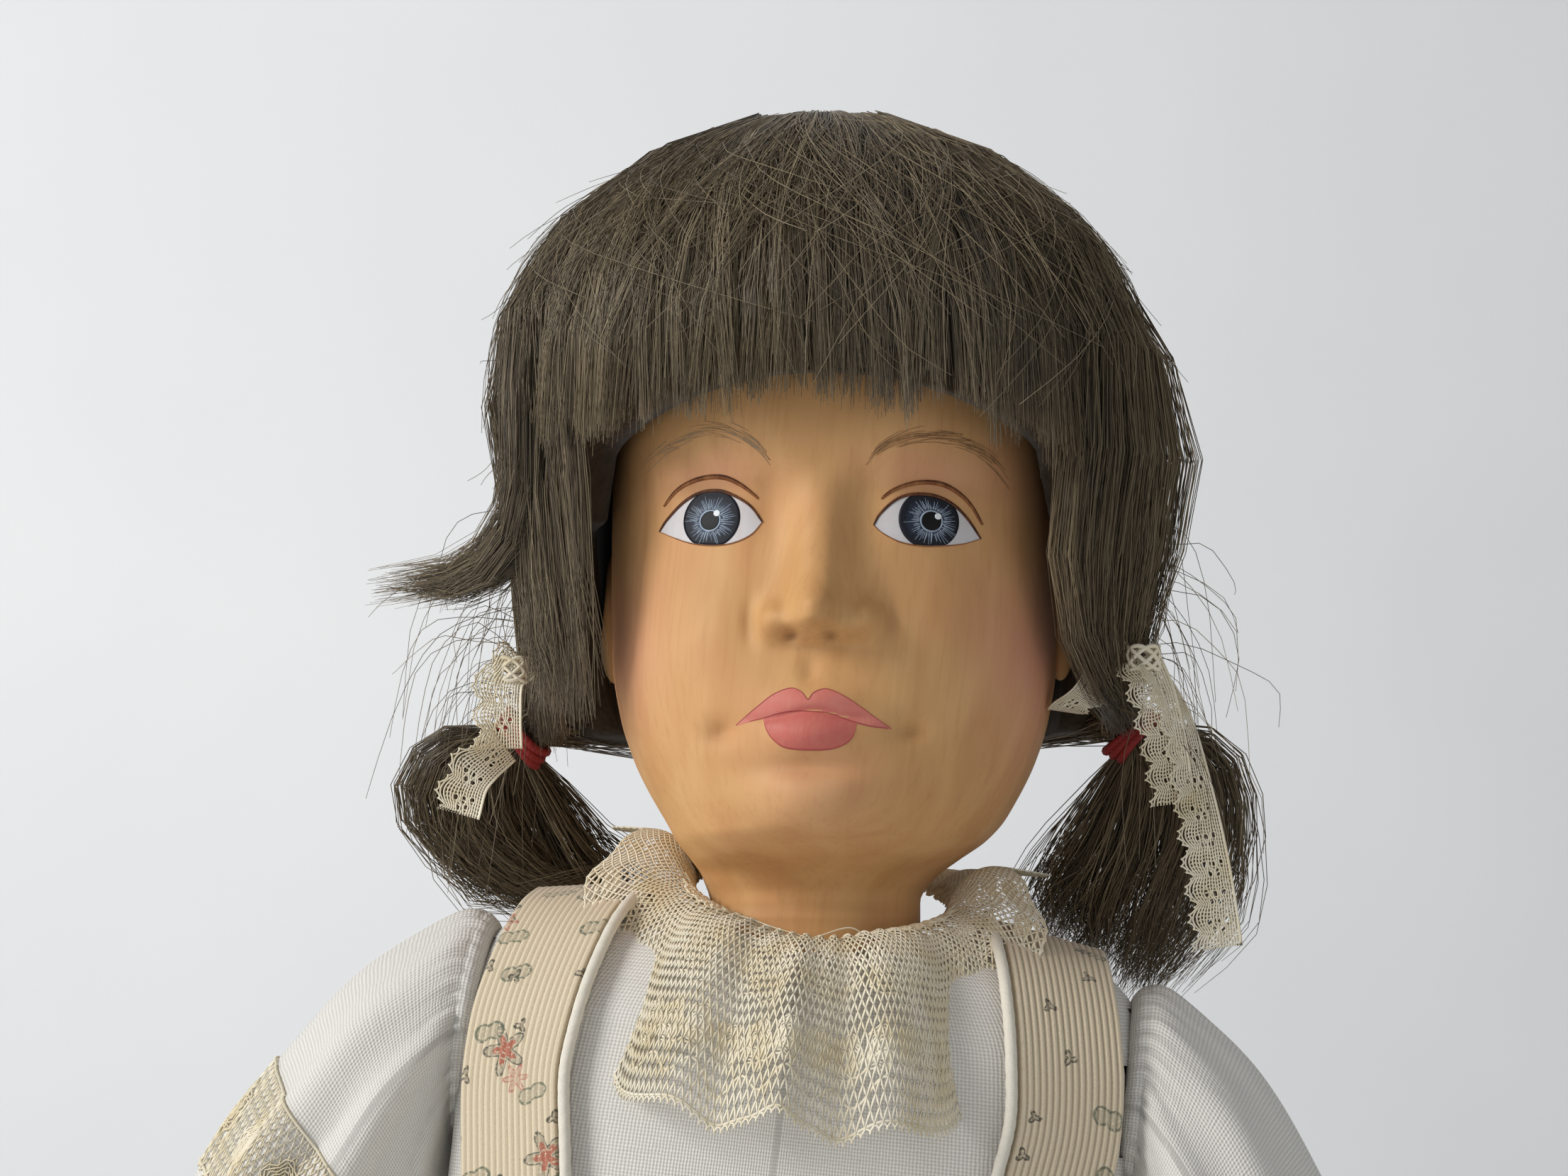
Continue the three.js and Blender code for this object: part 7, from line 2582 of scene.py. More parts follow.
    def waistband(self, corduroy: bpy.types.Material) -> bpy.types.Object:
        """The band: upright wales, with both edges turned in."""
        wales = 200
        turns = circle(wales * 4)[None]
        share = np.linspace(0, 1, 12)[:, None]
        height = mix(self.band_low, self.band_high, share)
        ribs = np.abs(np.cos(wales * turns / 2)) ** 0.6
        turned = (
            np.sin(math.pi * np.clip(share * 6, 0, 0.5))
            * np.sin(math.pi * np.clip((1 - share) * 6, 0, 0.5))
        )
        outer = self.body.skin(turns, height, 3.5 + (0.6 + 0.3 * ribs) * turned)
        inner = self.body.skin(turns, height, 2.9 + 0 * turns)
        uv = stacked(turns * wales * 1.14 / (2 * math.pi), height).reshape(-1, 2)
        points, faces = shelled(
            outer.reshape(-1, 3), inner.reshape(-1, 3), quads(12, wales * 4, wrap_columns=True)
        )
        piece = object_of(
            "waistband_cloth", self.body.world(points), faces, corduroy, uv=np.tile(uv, (2, 1))
        )
        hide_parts("waistband")
        return piece

    def make(self, finishes: dict[str, bpy.types.Material]) -> list[bpy.types.Object]:
        """Band, straps, piping and buttons, all on the torso."""
        made = [self.waistband(finishes["corduroy"])]
        for side in (1, -1):
            made += [
                self.strap(side, finishes["corduroy"]), self.cord(side, finishes["piping"]),
                self.button(side, finishes["button"])
            ]
        for piece in made:
            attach(piece, "torso")
        return made


@dataclass(frozen=True)
class DividedSkirt:
    """The divided skirt: two flared halves of corduroy that hang from the waistband in folds."""

    body: TorsoShape = TorsoShape()
    top: float = 89.7
    length: float = 175.0
    hem_half: float = 66.0
    hem_depth: float = 64.0
    folds: int = 7
    wall: float = 1.2
    crotch: float = -21.0
    seam: float = 0.5
    outer_columns: int = 156
    inner_columns: int = 36

    def surface(self, share: Array) -> Array:
        """The grid of one half: round the outside from front to back, then forward on the seam's
        flat side. A fold is a wave round the half that grows from waist to hem."""
        height = self.top - self.length * share
        swell = share**0.8
        start = self.body.sections().at(np.array(self.top))
        half = mix(start[0] + 5.3, self.hem_half, swell)
        front = mix(start[1] + 5.3, self.hem_depth, swell)
        back = mix(start[2] + 7.3, self.hem_depth, swell)
        angle = np.linspace(0, math.pi, self.outer_columns)[None]
        even = 1 - smooth(0.98, 1, np.abs(np.cos(angle)))
        fold = mix(0.8, 4, share) * np.cos(
            2 * self.folds * angle + 0.5 * np.sin(6 * share + 3 * angle)
        ) - 1
        small = mix(0.1, 0.7, share) * np.sin(31 * angle + 4 * share)
        ease = (fold + small) * even - (1 - even) * 0.2
        x, y = np.sin(angle), -np.cos(angle)
        depth = np.where(y < 0, front, back) + ease
        radius = (np.abs(x / (half + ease)) ** 2.1 + np.abs(y / depth) ** 2.1) ** (-1 / 2.1)
        outer = np.stack([np.maximum(radius * x, self.seam), radius * y, height + 0 * angle], axis=-1)
        t = np.linspace(0, 1, self.inner_columns + 2)[None, 1:-1, None]
        flat = mix(outer[:, -1:], outer[:, :1], t)
        wave = 1.2 * np.abs(np.sin(5 * math.pi * t[..., 0])) * smooth(0.6, 1, share)
        flat[..., 0] = self.seam + wave * np.sin(math.pi * t[..., 0])
        return np.concatenate([outer, flat], axis=1)

    def half(self, side: int, corduroy: bpy.types.Material) -> bpy.types.Object:
        """One half of the skirt.

        Args:
            side: 1 on the doll's left, -1 on its right.
            corduroy: the printed corduroy.

        Returns:
            The piece.
        """
        share = np.linspace(0, 1, 60)[:, None]
        front = self.surface(share)
        normal = grid_normals(front, wrap_columns=True)
        middle = front.mean(axis=1, keepdims=True)
        inward = normal * -np.sign((normal * (front - middle)).sum(-1, keepdims=True))
        inward[:, self.outer_columns :] = (1, 0, 0)
        inward[:, [0, self.outer_columns - 1]] = unit(
            inward[:, [0, self.outer_columns - 1]] + (1, 0, 0)
        )
        back = front + inward * self.wall
        rows, columns = front.shape[:2]
        faces = quads(rows, columns, wrap_columns=True)
        place = front.reshape(-1, 3)[faces].mean(axis=1)
        column = faces.min(axis=1) % columns
        faces = faces[~((column >= self.outer_columns - 1) & (place[:, 2] > self.crotch))]
        points, shell = shelled(front.reshape(-1, 3), back.reshape(-1, 3), faces)
        around = running(front[40])
        uv = stacked(around[None], share * self.length).reshape(-1, 2)
        name = side_name(side)
        piece = object_of(
            f"skirt_half_{name}", self.body.world(points * (side, 1, 1)), shell, corduroy,
            uv=np.tile(uv, (2, 1))
        )
        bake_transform(piece)
        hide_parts(f"culotte_{name}")
        return piece

    def make(self, corduroy: bpy.types.Material) -> list[bpy.types.Object]:
        """Both halves."""
        return [self.half(side, corduroy) for side in (1, -1)]


# Limbs and shoes


def hinged_end(radius: float, tongue: float, half_depth: float, length: float) -> list[Mesh]:
    """The carved end that turns on a joint's pin, with the pin along X at the origin.

    Args:
        radius: of the round end.
        tongue: its thickness along the pin.
        half_depth: half the depth of the square neck below it.
        length: of the neck, downwards.

    Returns:
        The round end and its neck.
    """
    angle = circle(40)
    disc = np.stack([0 * angle, radius * np.cos(angle), radius * np.sin(angle)], axis=-1)
    half, deep = tongue / 2, half_depth
    square = np.array([(-half, -deep, 0), (half, -deep, 0), (half, deep, 0), (-half, deep, 0)], float)
    return [
        capped(np.stack([disc + (-half, 0, 0), disc + (half, 0, 0)])),
        capped(np.stack([square, square + (0, 0, -length)])),
    ]


@dataclass(frozen=True)
class Forearm:
    """A carved forearm and hand: a tapered arm, a cupped palm, four fingers and a thumb."""

    sleeve: Sleeve
    rows: tuple[tuple[float, ...], ...] = (
        (0, 8.8, 9, 9, 2), (22, 9, 9.4, 9.4, 2), (66, 5.2, 6.2, 6.2, 2), (72, 5, 6.4, 6.4, 2.1),
        (84, 5, 9.2, 8.6, 2.3), (96, 4.4, 9.4, 8.8, 2.5), (100, 3.6, 8.8, 8.4, 2.5),
    )
    fingers: tuple[tuple[float, float, float], ...] = (
        (-6.8, 17, 2.3), (-2.3, 20, 2.4), (2.3, 19, 2.4), (6.4, 15, 2.1)
    )
    palm_end: float = 98.0
    hub_r: float = 8.7
    tongue: float = 6.0
    bend: float = 120.0

    def arm(self) -> Mesh:
        """Arm and palm. The top is cut back on the front side by the corner that the bent elbow
        needs, at half of what is left of a straight angle."""
        turns = circle(72)[None]
        ahead = np.maximum(np.cos(turns), 0)
        cut = 9.2 * ahead / math.tan(math.radians(90 - self.bend / 2)) + 0.3
        top = np.maximum(10.0, cut)
        share = np.linspace(0, 1, 70)[:, None]
        distance = mix(top, 100.0, share)
        points = Sections(self.rows).ring(turns, distance, 0.0)
        x, y = points[..., 0], points[..., 1]
        cupped = 1.2 * smooth(80, 92, distance) * np.exp(-((y / 5) ** 2)) * (x < 0)
        points[..., 0] = x + cupped
        points[..., 2] *= -1
        return capped(points)

    def finger(self, y: float, length: float, radius: float) -> Mesh:
        """One finger, slightly bent, thicker at its joints and round at the tip.

        Args:
            y: its place across the palm.
            length: from the palm to its tip.
            radius: at its root.

        Returns:
            The closed mesh.
        """
        end = -self.palm_end
        shares = np.linspace(0, 1, 26)
        path = catmull(
            [
                (0, y * 0.9, end + 7), (-0.4, y, end - 0.45 * length), (-1.6, y, end - 0.8 * length),
                (-3.2, y, end - length)
            ],
            shares
        )
        joints = (
            0.12 * np.exp(-(((shares - 0.5) / 0.08) ** 2))
            + 0.08 * np.exp(-(((shares - 0.74) / 0.06) ** 2))
        )
        tip = np.sqrt(np.clip(1 - ((shares - 0.86) / 0.145).clip(0, 1) ** 2, 0.02, 1))
        return tubes(path[None], (radius * (1.06 - 0.16 * shares + joints) * tip)[None], 16)

    def make(self, wood: bpy.types.Material) -> bpy.types.Object:
        """The forearm's object."""
        thumb_path = catmull(
            [(0, -6, -78), (-2, -11, -87), (-3, -12, -92.5), (-3.6, -12.2, -97)], np.linspace(0, 1, 24)
        )
        thumb_r = np.interp(np.linspace(0, 1, 24), [0, 0.35, 0.7, 0.9, 1], [4.0, 3.2, 2.9, 2.2, 0.5])
        hub, neck = hinged_end(self.hub_r, self.tongue, 6, 14)
        parts = [self.arm(), hub, neck, tubes(thumb_path[None], thumb_r[None], 16)]
        parts += [self.finger(*size) for size in self.fingers]
        points, faces = joined(parts)
        name = self.sleeve.name
        points = placed(self.sleeve.forearm_frame(), points * (self.sleeve.side, 1, 1))
        zeros = np.zeros(len(points))
        piece = object_of(
            f"carved_forearm_{name}", points, faces, wood, {"blush": zeros, "hollow": zeros}
        )
        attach(piece, f"forearm_{name}")
        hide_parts(f"forearm_{name}")
        return piece


@dataclass(frozen=True)
class LowerLeg:
    """A carved shin and foot in a turned-down sock and a bar shoe on its sole."""

    side: int = 1
    leg_x: float = 27.8
    knee_z: float = 155.0
    knee_r: float = 12.0
    tongue: float = 8.0
    bend: float = 100.0
    heel_y: float = 21.0
    toe_y: float = -33.0
    foot_half: float = 10.5
    sole_wall: float = 4.0
    shoe_wall: float = 1.6
    sock_wall: float = 1.0
    rows: tuple[tuple[float, ...], ...] = (
        (0, 11.4, 12, 12, 2), (16, 11, 11.6, 12, 2), (38, 11.4, 11.2, 14, 2), (75, 9, 9, 10.4, 2),
        (110, 7.6, 7.8, 8.4, 2), (120, 8, 8.4, 9, 2), (134, 8.4, 9.5, 10, 2),
    )

    @property
    def name(self) -> str:
        """Which of the doll's own sides it is on."""
        return side_name(self.side)

    def world(self, points: Array) -> Array:
        """From the shin's frame, whose origin is the knee pin, to the doll's."""
        return points * (self.side, 1, 1) + (self.side * self.leg_x, 0, self.knee_z)

    def limb(self, turns: Array, distance: Array, offset: Array | float) -> Array:
        """Points round the shin at a distance below the knee."""
        points = Sections(self.rows).ring(turns, distance, offset)
        points[..., 2] *= -1
        return points

    def foot(self, share: Array, angle: Array, grow: float, low: float) -> Array:
        """Points round the foot from heel, 0, to toe, 1: a low arch whose width follows the ball
        and whose height follows the instep."""
        places = [0, 0.06, 0.2, 0.38, 0.58, 0.78, 0.92, 1]
        half = np.interp(share, places, [0.45, 0.66, 0.78, 0.8, 0.92, 1, 0.82, 0.5])
        tall = np.interp(share, places, [10, 14, 19.5, 24, 17, 13.5, 11, 7])
        y = mix(self.heel_y + grow, self.toe_y - grow, share)
        x = (half * self.foot_half + grow) * np.sign(np.cos(angle)) * np.abs(np.cos(angle)) ** 0.8
        z = low + (tall + grow) * ((1 + np.sin(angle)) / 2) ** 0.75
        return stacked(x, y, z)

    def rounded(self, count: int) -> Array:
        """Shares along the foot, crowded towards heel and toe."""
        return ((1 - np.cos(np.linspace(0, math.pi, count))) / 2)[:, None]

    def make_shin(self, wood: bpy.types.Material) -> bpy.types.Object:
        """Shin with its tongue; the back of its top is cut for the bent knee."""
        turns = circle(72)[None]
        behind = np.maximum(-np.cos(turns), 0)
        top = np.maximum(13.0, 12.3 * behind / math.tan(math.radians(90 - self.bend / 2)) + 0.3)
        shin = capped(self.limb(turns, mix(top, 134.0, np.linspace(0, 1, 80)[:, None]), 0.0))
        hub, neck = hinged_end(self.knee_r - 0.3, self.tongue, 8, 18)
        low = -self.knee_z + self.sole_wall + 0.6 + self.shoe_wall
        foot = capped(self.foot(self.rounded(40), turns, 0.0, low))
        points, faces = joined([shin, hub, neck, foot])
        zeros = np.zeros(len(points))
        piece = object_of(
            f"carved_shin_{self.name}", self.world(points), faces, wood,
            {"blush": zeros, "hollow": zeros}
        )
        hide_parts(f"shin_{self.name}")
        return piece

    def make_sock(self, knit: bpy.types.Material) -> list[bpy.types.Object]:
        """The sock's ribbed leg with its turned-down cuff, and its foot inside the shoe."""
        turns = circle(132)[None]
        share = np.linspace(0, 1, 50)[:, None]
        distance = mix(82.0, 126.0, share)
        cuff = 1.5 * smooth(0.34, 0.26, share) * smooth(-0.02, 0.05, share)
        rib = 0.22 * np.cos(33 * turns) * (0.6 + 0.4 * smooth(0.34, 0.3, share))
        slack = 0.35 * np.sin(distance / 2.3 + 1.2 * np.sin(turns)) * smooth(0.55, 0.95, share)
        leg = self.limb(turns, distance, 1.0 + cuff + rib + slack)
        low = -self.knee_z + self.sole_wall + 0.6 + self.shoe_wall
        foot = capped(self.foot(self.rounded(32), turns[:, ::3], 0.55, low))
        points, faces = walled(leg, 1.0, wrap_columns=True)
        tube = object_of(f"sock_leg_{self.name}", self.world(points), faces, knit)
        cover = object_of(f"sock_foot_{self.name}", self.world(foot[0]), foot[1], knit)
        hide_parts(f"sock_{self.name}")
        return [tube, cover]

    def make_shoe(self, leather: bpy.types.Material) -> bpy.types.Object:
        """A low shoe: open round the ankle and at the throat, with one bar across the instep."""
        low = -self.knee_z + self.sole_wall + 0.6
        turns = circle(84)[None]
        share = self.rounded(76)
        outer = self.foot(share, turns, self.shoe_wall + self.sock_wall, low - 0.3)
        inner = self.foot(share, turns, self.sock_wall, low + self.shoe_wall - 0.3)
        floor = -self.knee_z + self.sole_wall + 0.3
        outer[..., 2] = np.maximum(outer[..., 2], floor)
        inner[..., 2] = np.maximum(inner[..., 2], floor + 0.8)
        top = -self.knee_z + self.sole_wall + 21
        rows, columns = outer.shape[:2]
        half = np.arange(columns // 2 - 1)
        heel = np.stack([half + 1, half, columns - 1 - half, columns - 2 - half], axis=-1)
        toe = heel[:, [1, 0, 3, 2]] + (rows - 1) * columns
        faces = np.concatenate([quads(rows, columns, wrap_columns=True), heel, toe])
        x, y, z = np.moveaxis(outer.reshape(-1, 3)[faces].mean(axis=1), -1, 0)
        ankle = (np.hypot(x, y - 3) < 12.6) & (z > top - 7)
        throat = (np.abs(x) < 7) & (y > self.toe_y + 19) & (y < -2) & (z > top - 12)
        bar = (y > -16) & (y < -10)
        kept = faces[~(ankle | (throat & ~bar))]
        points, shell = shelled(outer.reshape(-1, 3), inner.reshape(-1, 3), kept)
        piece = object_of(f"bar_shoe_{self.name}", self.world(points), shell, leather)
        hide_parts(f"shoe_{self.name}")
        return piece

    def make_sole(self, rubber: bpy.types.Material) -> bpy.types.Object:
        """The sole, narrowed at the waist, with rounded edges."""
        angle = circle(96)[None]
        lift = np.array([0.0, 0.0, 0.5, 3.5, 4.0, 4.0])[:, None]
        inset = np.array([3.0, 0.5, 0.0, 0.0, 0.4, 3.0])[:, None]
        along = (1 - np.cos(angle)) / 2
        y = mix(self.heel_y + 4.4 - inset, self.toe_y - 4.4 + inset, along)
        waist = 1 - 0.16 * np.sin(math.pi * np.clip(1.6 * along - 0.1, 0, 1)) ** 2
        x = (
            np.sign(np.sin(angle)) * ((self.foot_half + 3.6) * waist - inset)
            * np.abs(np.sin(angle)) ** 0.7
        )
        points, faces = capped(stacked(x, y, -self.knee_z + lift))
        piece = object_of(f"shoe_sole_{self.name}", self.world(points), faces, rubber)
        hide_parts(f"sole_{self.name}")
        return piece

    def make(self, finishes: dict[str, bpy.types.Material]) -> list[bpy.types.Object]:
        """Every piece of the lower leg."""
        made = [self.make_shin(finishes["wood"]), *self.make_sock(finishes["sock"])]
        made += [self.make_shoe(finishes["leather"]), self.make_sole(finishes["sole"])]
        for piece in made:
            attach(piece, f"shin_{self.name}")
        return made


@dataclass(frozen=True)
class HairTie:
    """One red elastic band and the lace ribbon knotted over it."""

    side: int = 1
    wig: Wig = Wig()
    ribbon_width: float = 6.5

    @property
    def name(self) -> str:
        """Which of the doll's own sides it is on."""
        return side_name(self.side)

    def band(self, elastic: bpy.types.Material) -> bpy.types.Object:
        """The covered elastic: three turns side by side, with the wrapping's slanting ridges."""
        axis = unit(np.array([self.side * 0.75, 0.1, -0.65]))
        across = unit(np.cross(axis, [0, 1, 0]))
        other = np.cross(axis, across)
        turns = circle(144)[:, None]
        round_it = circle(8)[None]
        parts = []
        for step in (-1.1, 0.0, 1.1):
            tube = 0.75 + 0.07 * np.sin(36 * turns + 2 * round_it)
            wide = (4.6 + 0.3 * np.sin(3 * turns + step)) + tube * np.cos(round_it)
            along = step + 0.3 * np.sin(2 * turns + step) + tube * np.sin(round_it)
            ring = self.wig.tie(self.side) + wide[..., None] * (
                np.cos(turns)[..., None] * across + np.sin(turns)[..., None] * other
            )
            parts.append(((ring + along[..., None] * axis).reshape(-1, 3), [quads(144, 8, True, True)]))
        points, faces = joined(parts)
        piece = object_of(f"elastic_band_{self.name}", placed(HEAD, points), faces, elastic)
        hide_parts(f"hair_band_{self.name}")
        return piece

    def tails(self) -> list[tuple[tuple[tuple[float, float, float], ...], float, float]]:
        """Each length of ribbon as its line in the head's frame and its twist at start and end."""
        if self.side > 0:
            return [
                (
                    ((37.5, -8.5, -27.5), (41, -11.5, -25.5), (45, -12.5, -21), (49, -12.5, -19)), -70,
                    -20
                ),
                (((50, -12, -19.5), (52.5, -13, -26), (54.5, -12, -35), (55.5, -11.5, -43)), 10, 25),
                (
                    (
                        (51.5, -11.5, -20), (56, -11, -29), (59, -10, -42), (61, -9.5, -54),
                        (62.5, -9.5, -66)
                    ),
                    60, 0
                ),
            ]
        return [
            (((-50.5, -11.5, -19), (-53.5, -12.5, -22), (-54, -12.5, -28), (-54, -11.5, -33.5)), 0, 15),
            (((-53.5, -11, -33), (-57, -11.5, -36), (-59.5, -11, -39), (-61, -10.5, -44)), 40, 5),
        ]

    def scallop(self, u: Array) -> Array:
        """How far the lace's outer edge stands out at a length along it: one arch in 4.6 mm."""
        return 1.7 * np.abs(np.sin(math.pi * (u + 0.9) / 4.6)) - 0.6

    def ribbon(
        self, lace: LaceWork, line: Sequence[Sequence[float]], first: float, last: float
    ) -> list[Mesh]:
        """One length of lace: closely worked threads pushed apart by clusters of small holes, with
        a picot down one edge. A hole of radius a moves a thread at r out to (r^3 + a^3)^(1/3).

        Args:
            lace: the thread's sizes and stitches.
            line: points that the ribbon runs through.
            first: its turn about that line at the start, in degrees.
            last: its turn at the end.

        Returns:
            The meshes of its threads.
        """
        knots = np.array(line, float)
        dense = catmull(knots, np.linspace(0, 1, 200))
        run = running(dense)
        length, width = float(run[-1]), self.ribbon_width

        def surface(u: Array, v: Array) -> Array:
            """The ribbon's middle surface, from flat (u, v)."""
            centre = between(u, run, dense)
            along = unit(between(u + 0.4, run, dense) - between(u - 0.4, run, dense))
            level = unit(np.cross(along, [0.0, -1.0, 0.0]))
            out = np.cross(level, along)
            turned = np.radians(mix(first, last, u / length))[..., None]
            across = level * np.cos(turned) + out * np.sin(turned)
            curl = (0.8 * np.sin(u / 2.9) * (v / width) + 0.5 * np.sin(u / 5.3 + 1))[..., None] * out
            return centre + across * (v - width / 2)[..., None] + curl

        spots = np.arange(2.2, length - 1.2, 4.6)
        petals = np.array([(0, 0), (1.25, 0.55), (1.25, -0.75), (-0.15, 1.35), (-0.15, -1.45)])
        holes = (
            np.stack([spots, 3.1 + 0.25 * np.cos(spots)], axis=-1)[:, None] + petals
        ).reshape(-1, 2)
        warp_u = np.linspace(0, length, int(length / 0.42))
        lanes = np.linspace(0.2, width - 0.2, 15)[:, None]
        edge = self.scallop(warp_u) * (lanes / width) ** 3
        warp = stacked(warp_u[None], lanes + edge)
        weft_v = np.linspace(0.1, width - 0.1, 18)
        weft_u = np.arange(0.3, length - 0.2, 0.62)[:, None]
        weft = stacked(weft_u + 0.12 * np.sin(3 * weft_v), weft_v[None])
        parts = []
        for threads, lift in ((warp, 0.0), (weft, 0.12)):
            away = threads[..., None, :] - holes
            distance = np.linalg.norm(away, axis=-1)
            nearest = distance.argmin(axis=-1)[..., None]
            gap = np.take_along_axis(distance, nearest, axis=-1)
            way = np.take_along_axis(away, nearest[..., None], axis=-2)[..., 0, :]
            pushed = threads + way / np.maximum(gap, 0.05) * ((gap**3 + 0.52**3) ** (1 / 3) - gap)
            parts.append(lace.laid(surface, pushed, lift, 0.15))
        picots = lace.picots(length, width - 0.1, 1.15)
        picots[..., 1] += self.scallop(picots[..., 0])
        parts.append(lace.laid(surface, picots, 0.0, 0.17))
        parts.append(lace.laid(surface, lace.rail(length, 0.0, 0.0, 1.0), 0.0, 0.2))
        return parts

    def make_ribbon(self, thread: bpy.types.Material) -> bpy.types.Object:
        """The knotted ribbon with its tails; it goes with the pigtail when the neck tilts."""
        lace = LaceWork()
        parts = [
            part for line, first, last in self.tails() for part in self.ribbon(lace, line, first, last)
        ]
        turns = np.linspace(0, 2 * math.pi * 5, 420)
        middle = np.array([50.5, -12.5, -19.5]) if self.side > 0 else np.array([-52.5, -12.0, -20.5])
        wound = middle + np.stack(
            [2.6 * np.cos(turns), 1.3 * np.sin(turns), 1.9 * np.sin(turns * 1.21)], axis=-1
        )
        parts.append(tubes(wound[None], 0.35, 5))
        points, faces = joined(parts)
        piece = object_of(f"ribbon_lace_{self.name}", placed(HEAD, points), faces, thread)
        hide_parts(f"ribbon_{self.name}")
        pressed_in(piece)
        return piece

    def make(self, finishes: dict[str, bpy.types.Material]) -> list[bpy.types.Object]:
        """Elastic and ribbon, riding on the head."""
        made = [self.band(finishes["elastic"]), self.make_ribbon(finishes["lace"])]
        for piece in made:
            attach(piece, "head")
        return made


# Set


@dataclass(frozen=True)
class Studio:
    """A pale sweep, a camera at the photograph's angle and soft lamps at a plain level."""

    lens: float = 80.56
    camera_at: tuple[float, float, float] = (31.90, -578.25, -87.16)
    camera_right: tuple[float, float, float] = (0.99756, 0.06976, 0.0)
    camera_up: tuple[float, float, float] = (0.00971, -0.13883, 0.99027)
    backdrop: str = "#f4f4f3"
    aim: tuple[float, float, float] = (0.0, 0.0, 0.47)
    key_at: tuple[float, float, float] = (-5.7, -3.0, 2.66)
    key_size: float = 2.6
    key_watts: float = 330.0
    fill_at: tuple[float, float, float] = (5.12, -4.64, 1.14)
    fill_size: float = 4.2
    fill_watts: float = 24.0

    def camera(self) -> None:
        """The camera, set in the head's frame, so it leans with the head."""
        data = bpy.data.cameras.new("camera")
        data.lens, data.sensor_width, data.sensor_fit = self.lens, 36.0, "HORIZONTAL"
        data.clip_start, data.clip_end = 0.02, 30.0
        spin = HEAD[:3, :3]
        right, up = spin @ np.array(self.camera_right), spin @ np.array(self.camera_up)
        matrix = np.eye(4)
        matrix[:3, 0], matrix[:3, 1], matrix[:3, 2] = right, up, np.cross(right, up)
        matrix[:3, 3] = placed(HEAD, np.array(self.camera_at)) * MM
        camera = bpy.data.objects.new("camera", data)
        camera.matrix_world = Matrix(matrix.tolist())
        bpy.context.scene.collection.objects.link(camera)
        bpy.context.scene.camera = camera

    def sweep(self) -> bpy.types.Object:
        """The floor and the wall behind in one sheet: flat, then a quarter circle, then upright."""
        bend = np.radians(np.linspace(0, 90, 25))
        radius, wall_y, reach = 900.0, 3300.0, 4000.0
        y = np.concatenate([[-reach], wall_y - radius + radius * np.sin(bend), [wall_y]])
        z = np.concatenate([[0.0], radius - radius * np.cos(bend), [reach]])
        x = np.array([-reach, reach])
        points = stacked(x[None], y[:, None], z[:, None])
        skins = walled(points, 4.0)
        material, tree = blank("painted_sweep")
        noise = add(
            tree, "TexNoise",
            {"Vector": add(tree, "TexCoord").outputs["Object"], "Scale": 3.0, "Detail": 2.0}
        )
        colour = blended(tree, noise, linear(self.backdrop), linear("#ececec"))
        surfaced(tree, add(tree, "BsdfPrincipled", {"Base Color": colour, "Roughness": 0.9}))
        sweep = object_of("sweep", skins[0] - (0, 0, 2.0), skins[1], material)
        return sweep

    def lamp(self, name: str, at: tuple[float, float, float], size: float, watts: float) -> None:
        """A square area lamp that faces the aim.

        Args:
            name: The lamp's name.
            at: Its place, in metres.
            size: Its side, in metres.
            watts: Its power.
        """
        data = bpy.data.lights.new(name, "AREA")
        data.size, data.energy = size, watts
        back = unit(np.array(at) - np.array(self.aim))
        right = unit(np.cross([0, 0, 1], back))
        matrix = np.eye(4)
        matrix[:3, :4] = np.stack([right, np.cross(back, right), back, np.array(at)], axis=-1)
        lamp = bpy.data.objects.new(name, data)
        lamp.matrix_world = Matrix(matrix.tolist())
        bpy.context.scene.collection.objects.link(lamp)

    def lights(self) -> None:
        """A large key lamp at the viewer's left, a weak one at the right, and an even pale world,
        which the camera sees in the backdrop's colour."""
        self.lamp("key", self.key_at, self.key_size, self.key_watts)
        self.lamp("fill", self.fill_at, self.fill_size, self.fill_watts)
        world = bpy.data.worlds.new("world")
        bpy.context.scene.world = world
        world.use_nodes = True
        tree = world.node_tree
        background = tree.nodes["Background"]
        background.inputs["Color"].default_value = linear("#eef1f5")
        background.inputs["Strength"].default_value = 0.44
        seen = add(tree, "Background", {"Color": linear("#d6d8da")})
        path = add(tree, "LightPath")
        shown = add(tree, "MixShader", {0: path.outputs["Is Camera Ray"], 1: background, 2: seen})
        tree.links.new(shown.outputs[0], tree.nodes["World Output"].inputs["Surface"])

    def make(self) -> None:
        """Camera, sweep and lamps."""
        bpy.context.scene.view_settings.view_transform = "Standard"
        self.camera()
        self.sweep()
        self.lights()


CARRIED = {
    "steel": Plain("turned_steel", "#a9abad", "#8f9194", 0.32, 1.5, metallic=1.0, relief=0.05),
    "felt": Plain("wool_felt", "#b9ab94", "#a39681", 0.95, 0.6, relief=0.6),
    "leather": Plain("waxed_leather", "#6b4630", "#543422", 0.42, 0.9, relief=0.35),
    "sole": Plain("leather_sole", "#3c2b20", "#4d392b", 0.7, 0.8, relief=0.3),
    "button": Plain("shell_button", "#e9dfc8", "#d6cbb4", 0.3, 2.0, relief=0.05),
    "elastic": Plain("red_elastic", "#a02c28", "#7e1f1d", 0.75, 0.4, relief=0.5),
    "sock": Plain("cotton_knit", "#efeadf", "#ddd6c6", 0.9, 0.5, relief=0.4),
    "piping": Plain("cotton_cord", "#ece7da", "#d8d0bd", 0.85, 0.4, relief=0.5),
    "net": Plain("wig_net", "#4b4136", "#3a3229", 0.9, 0.5, relief=0.3),
}


class Side(Enum):
    """The doll's own sides, as the sign of x."""

    LEFT = 1
    RIGHT = -1


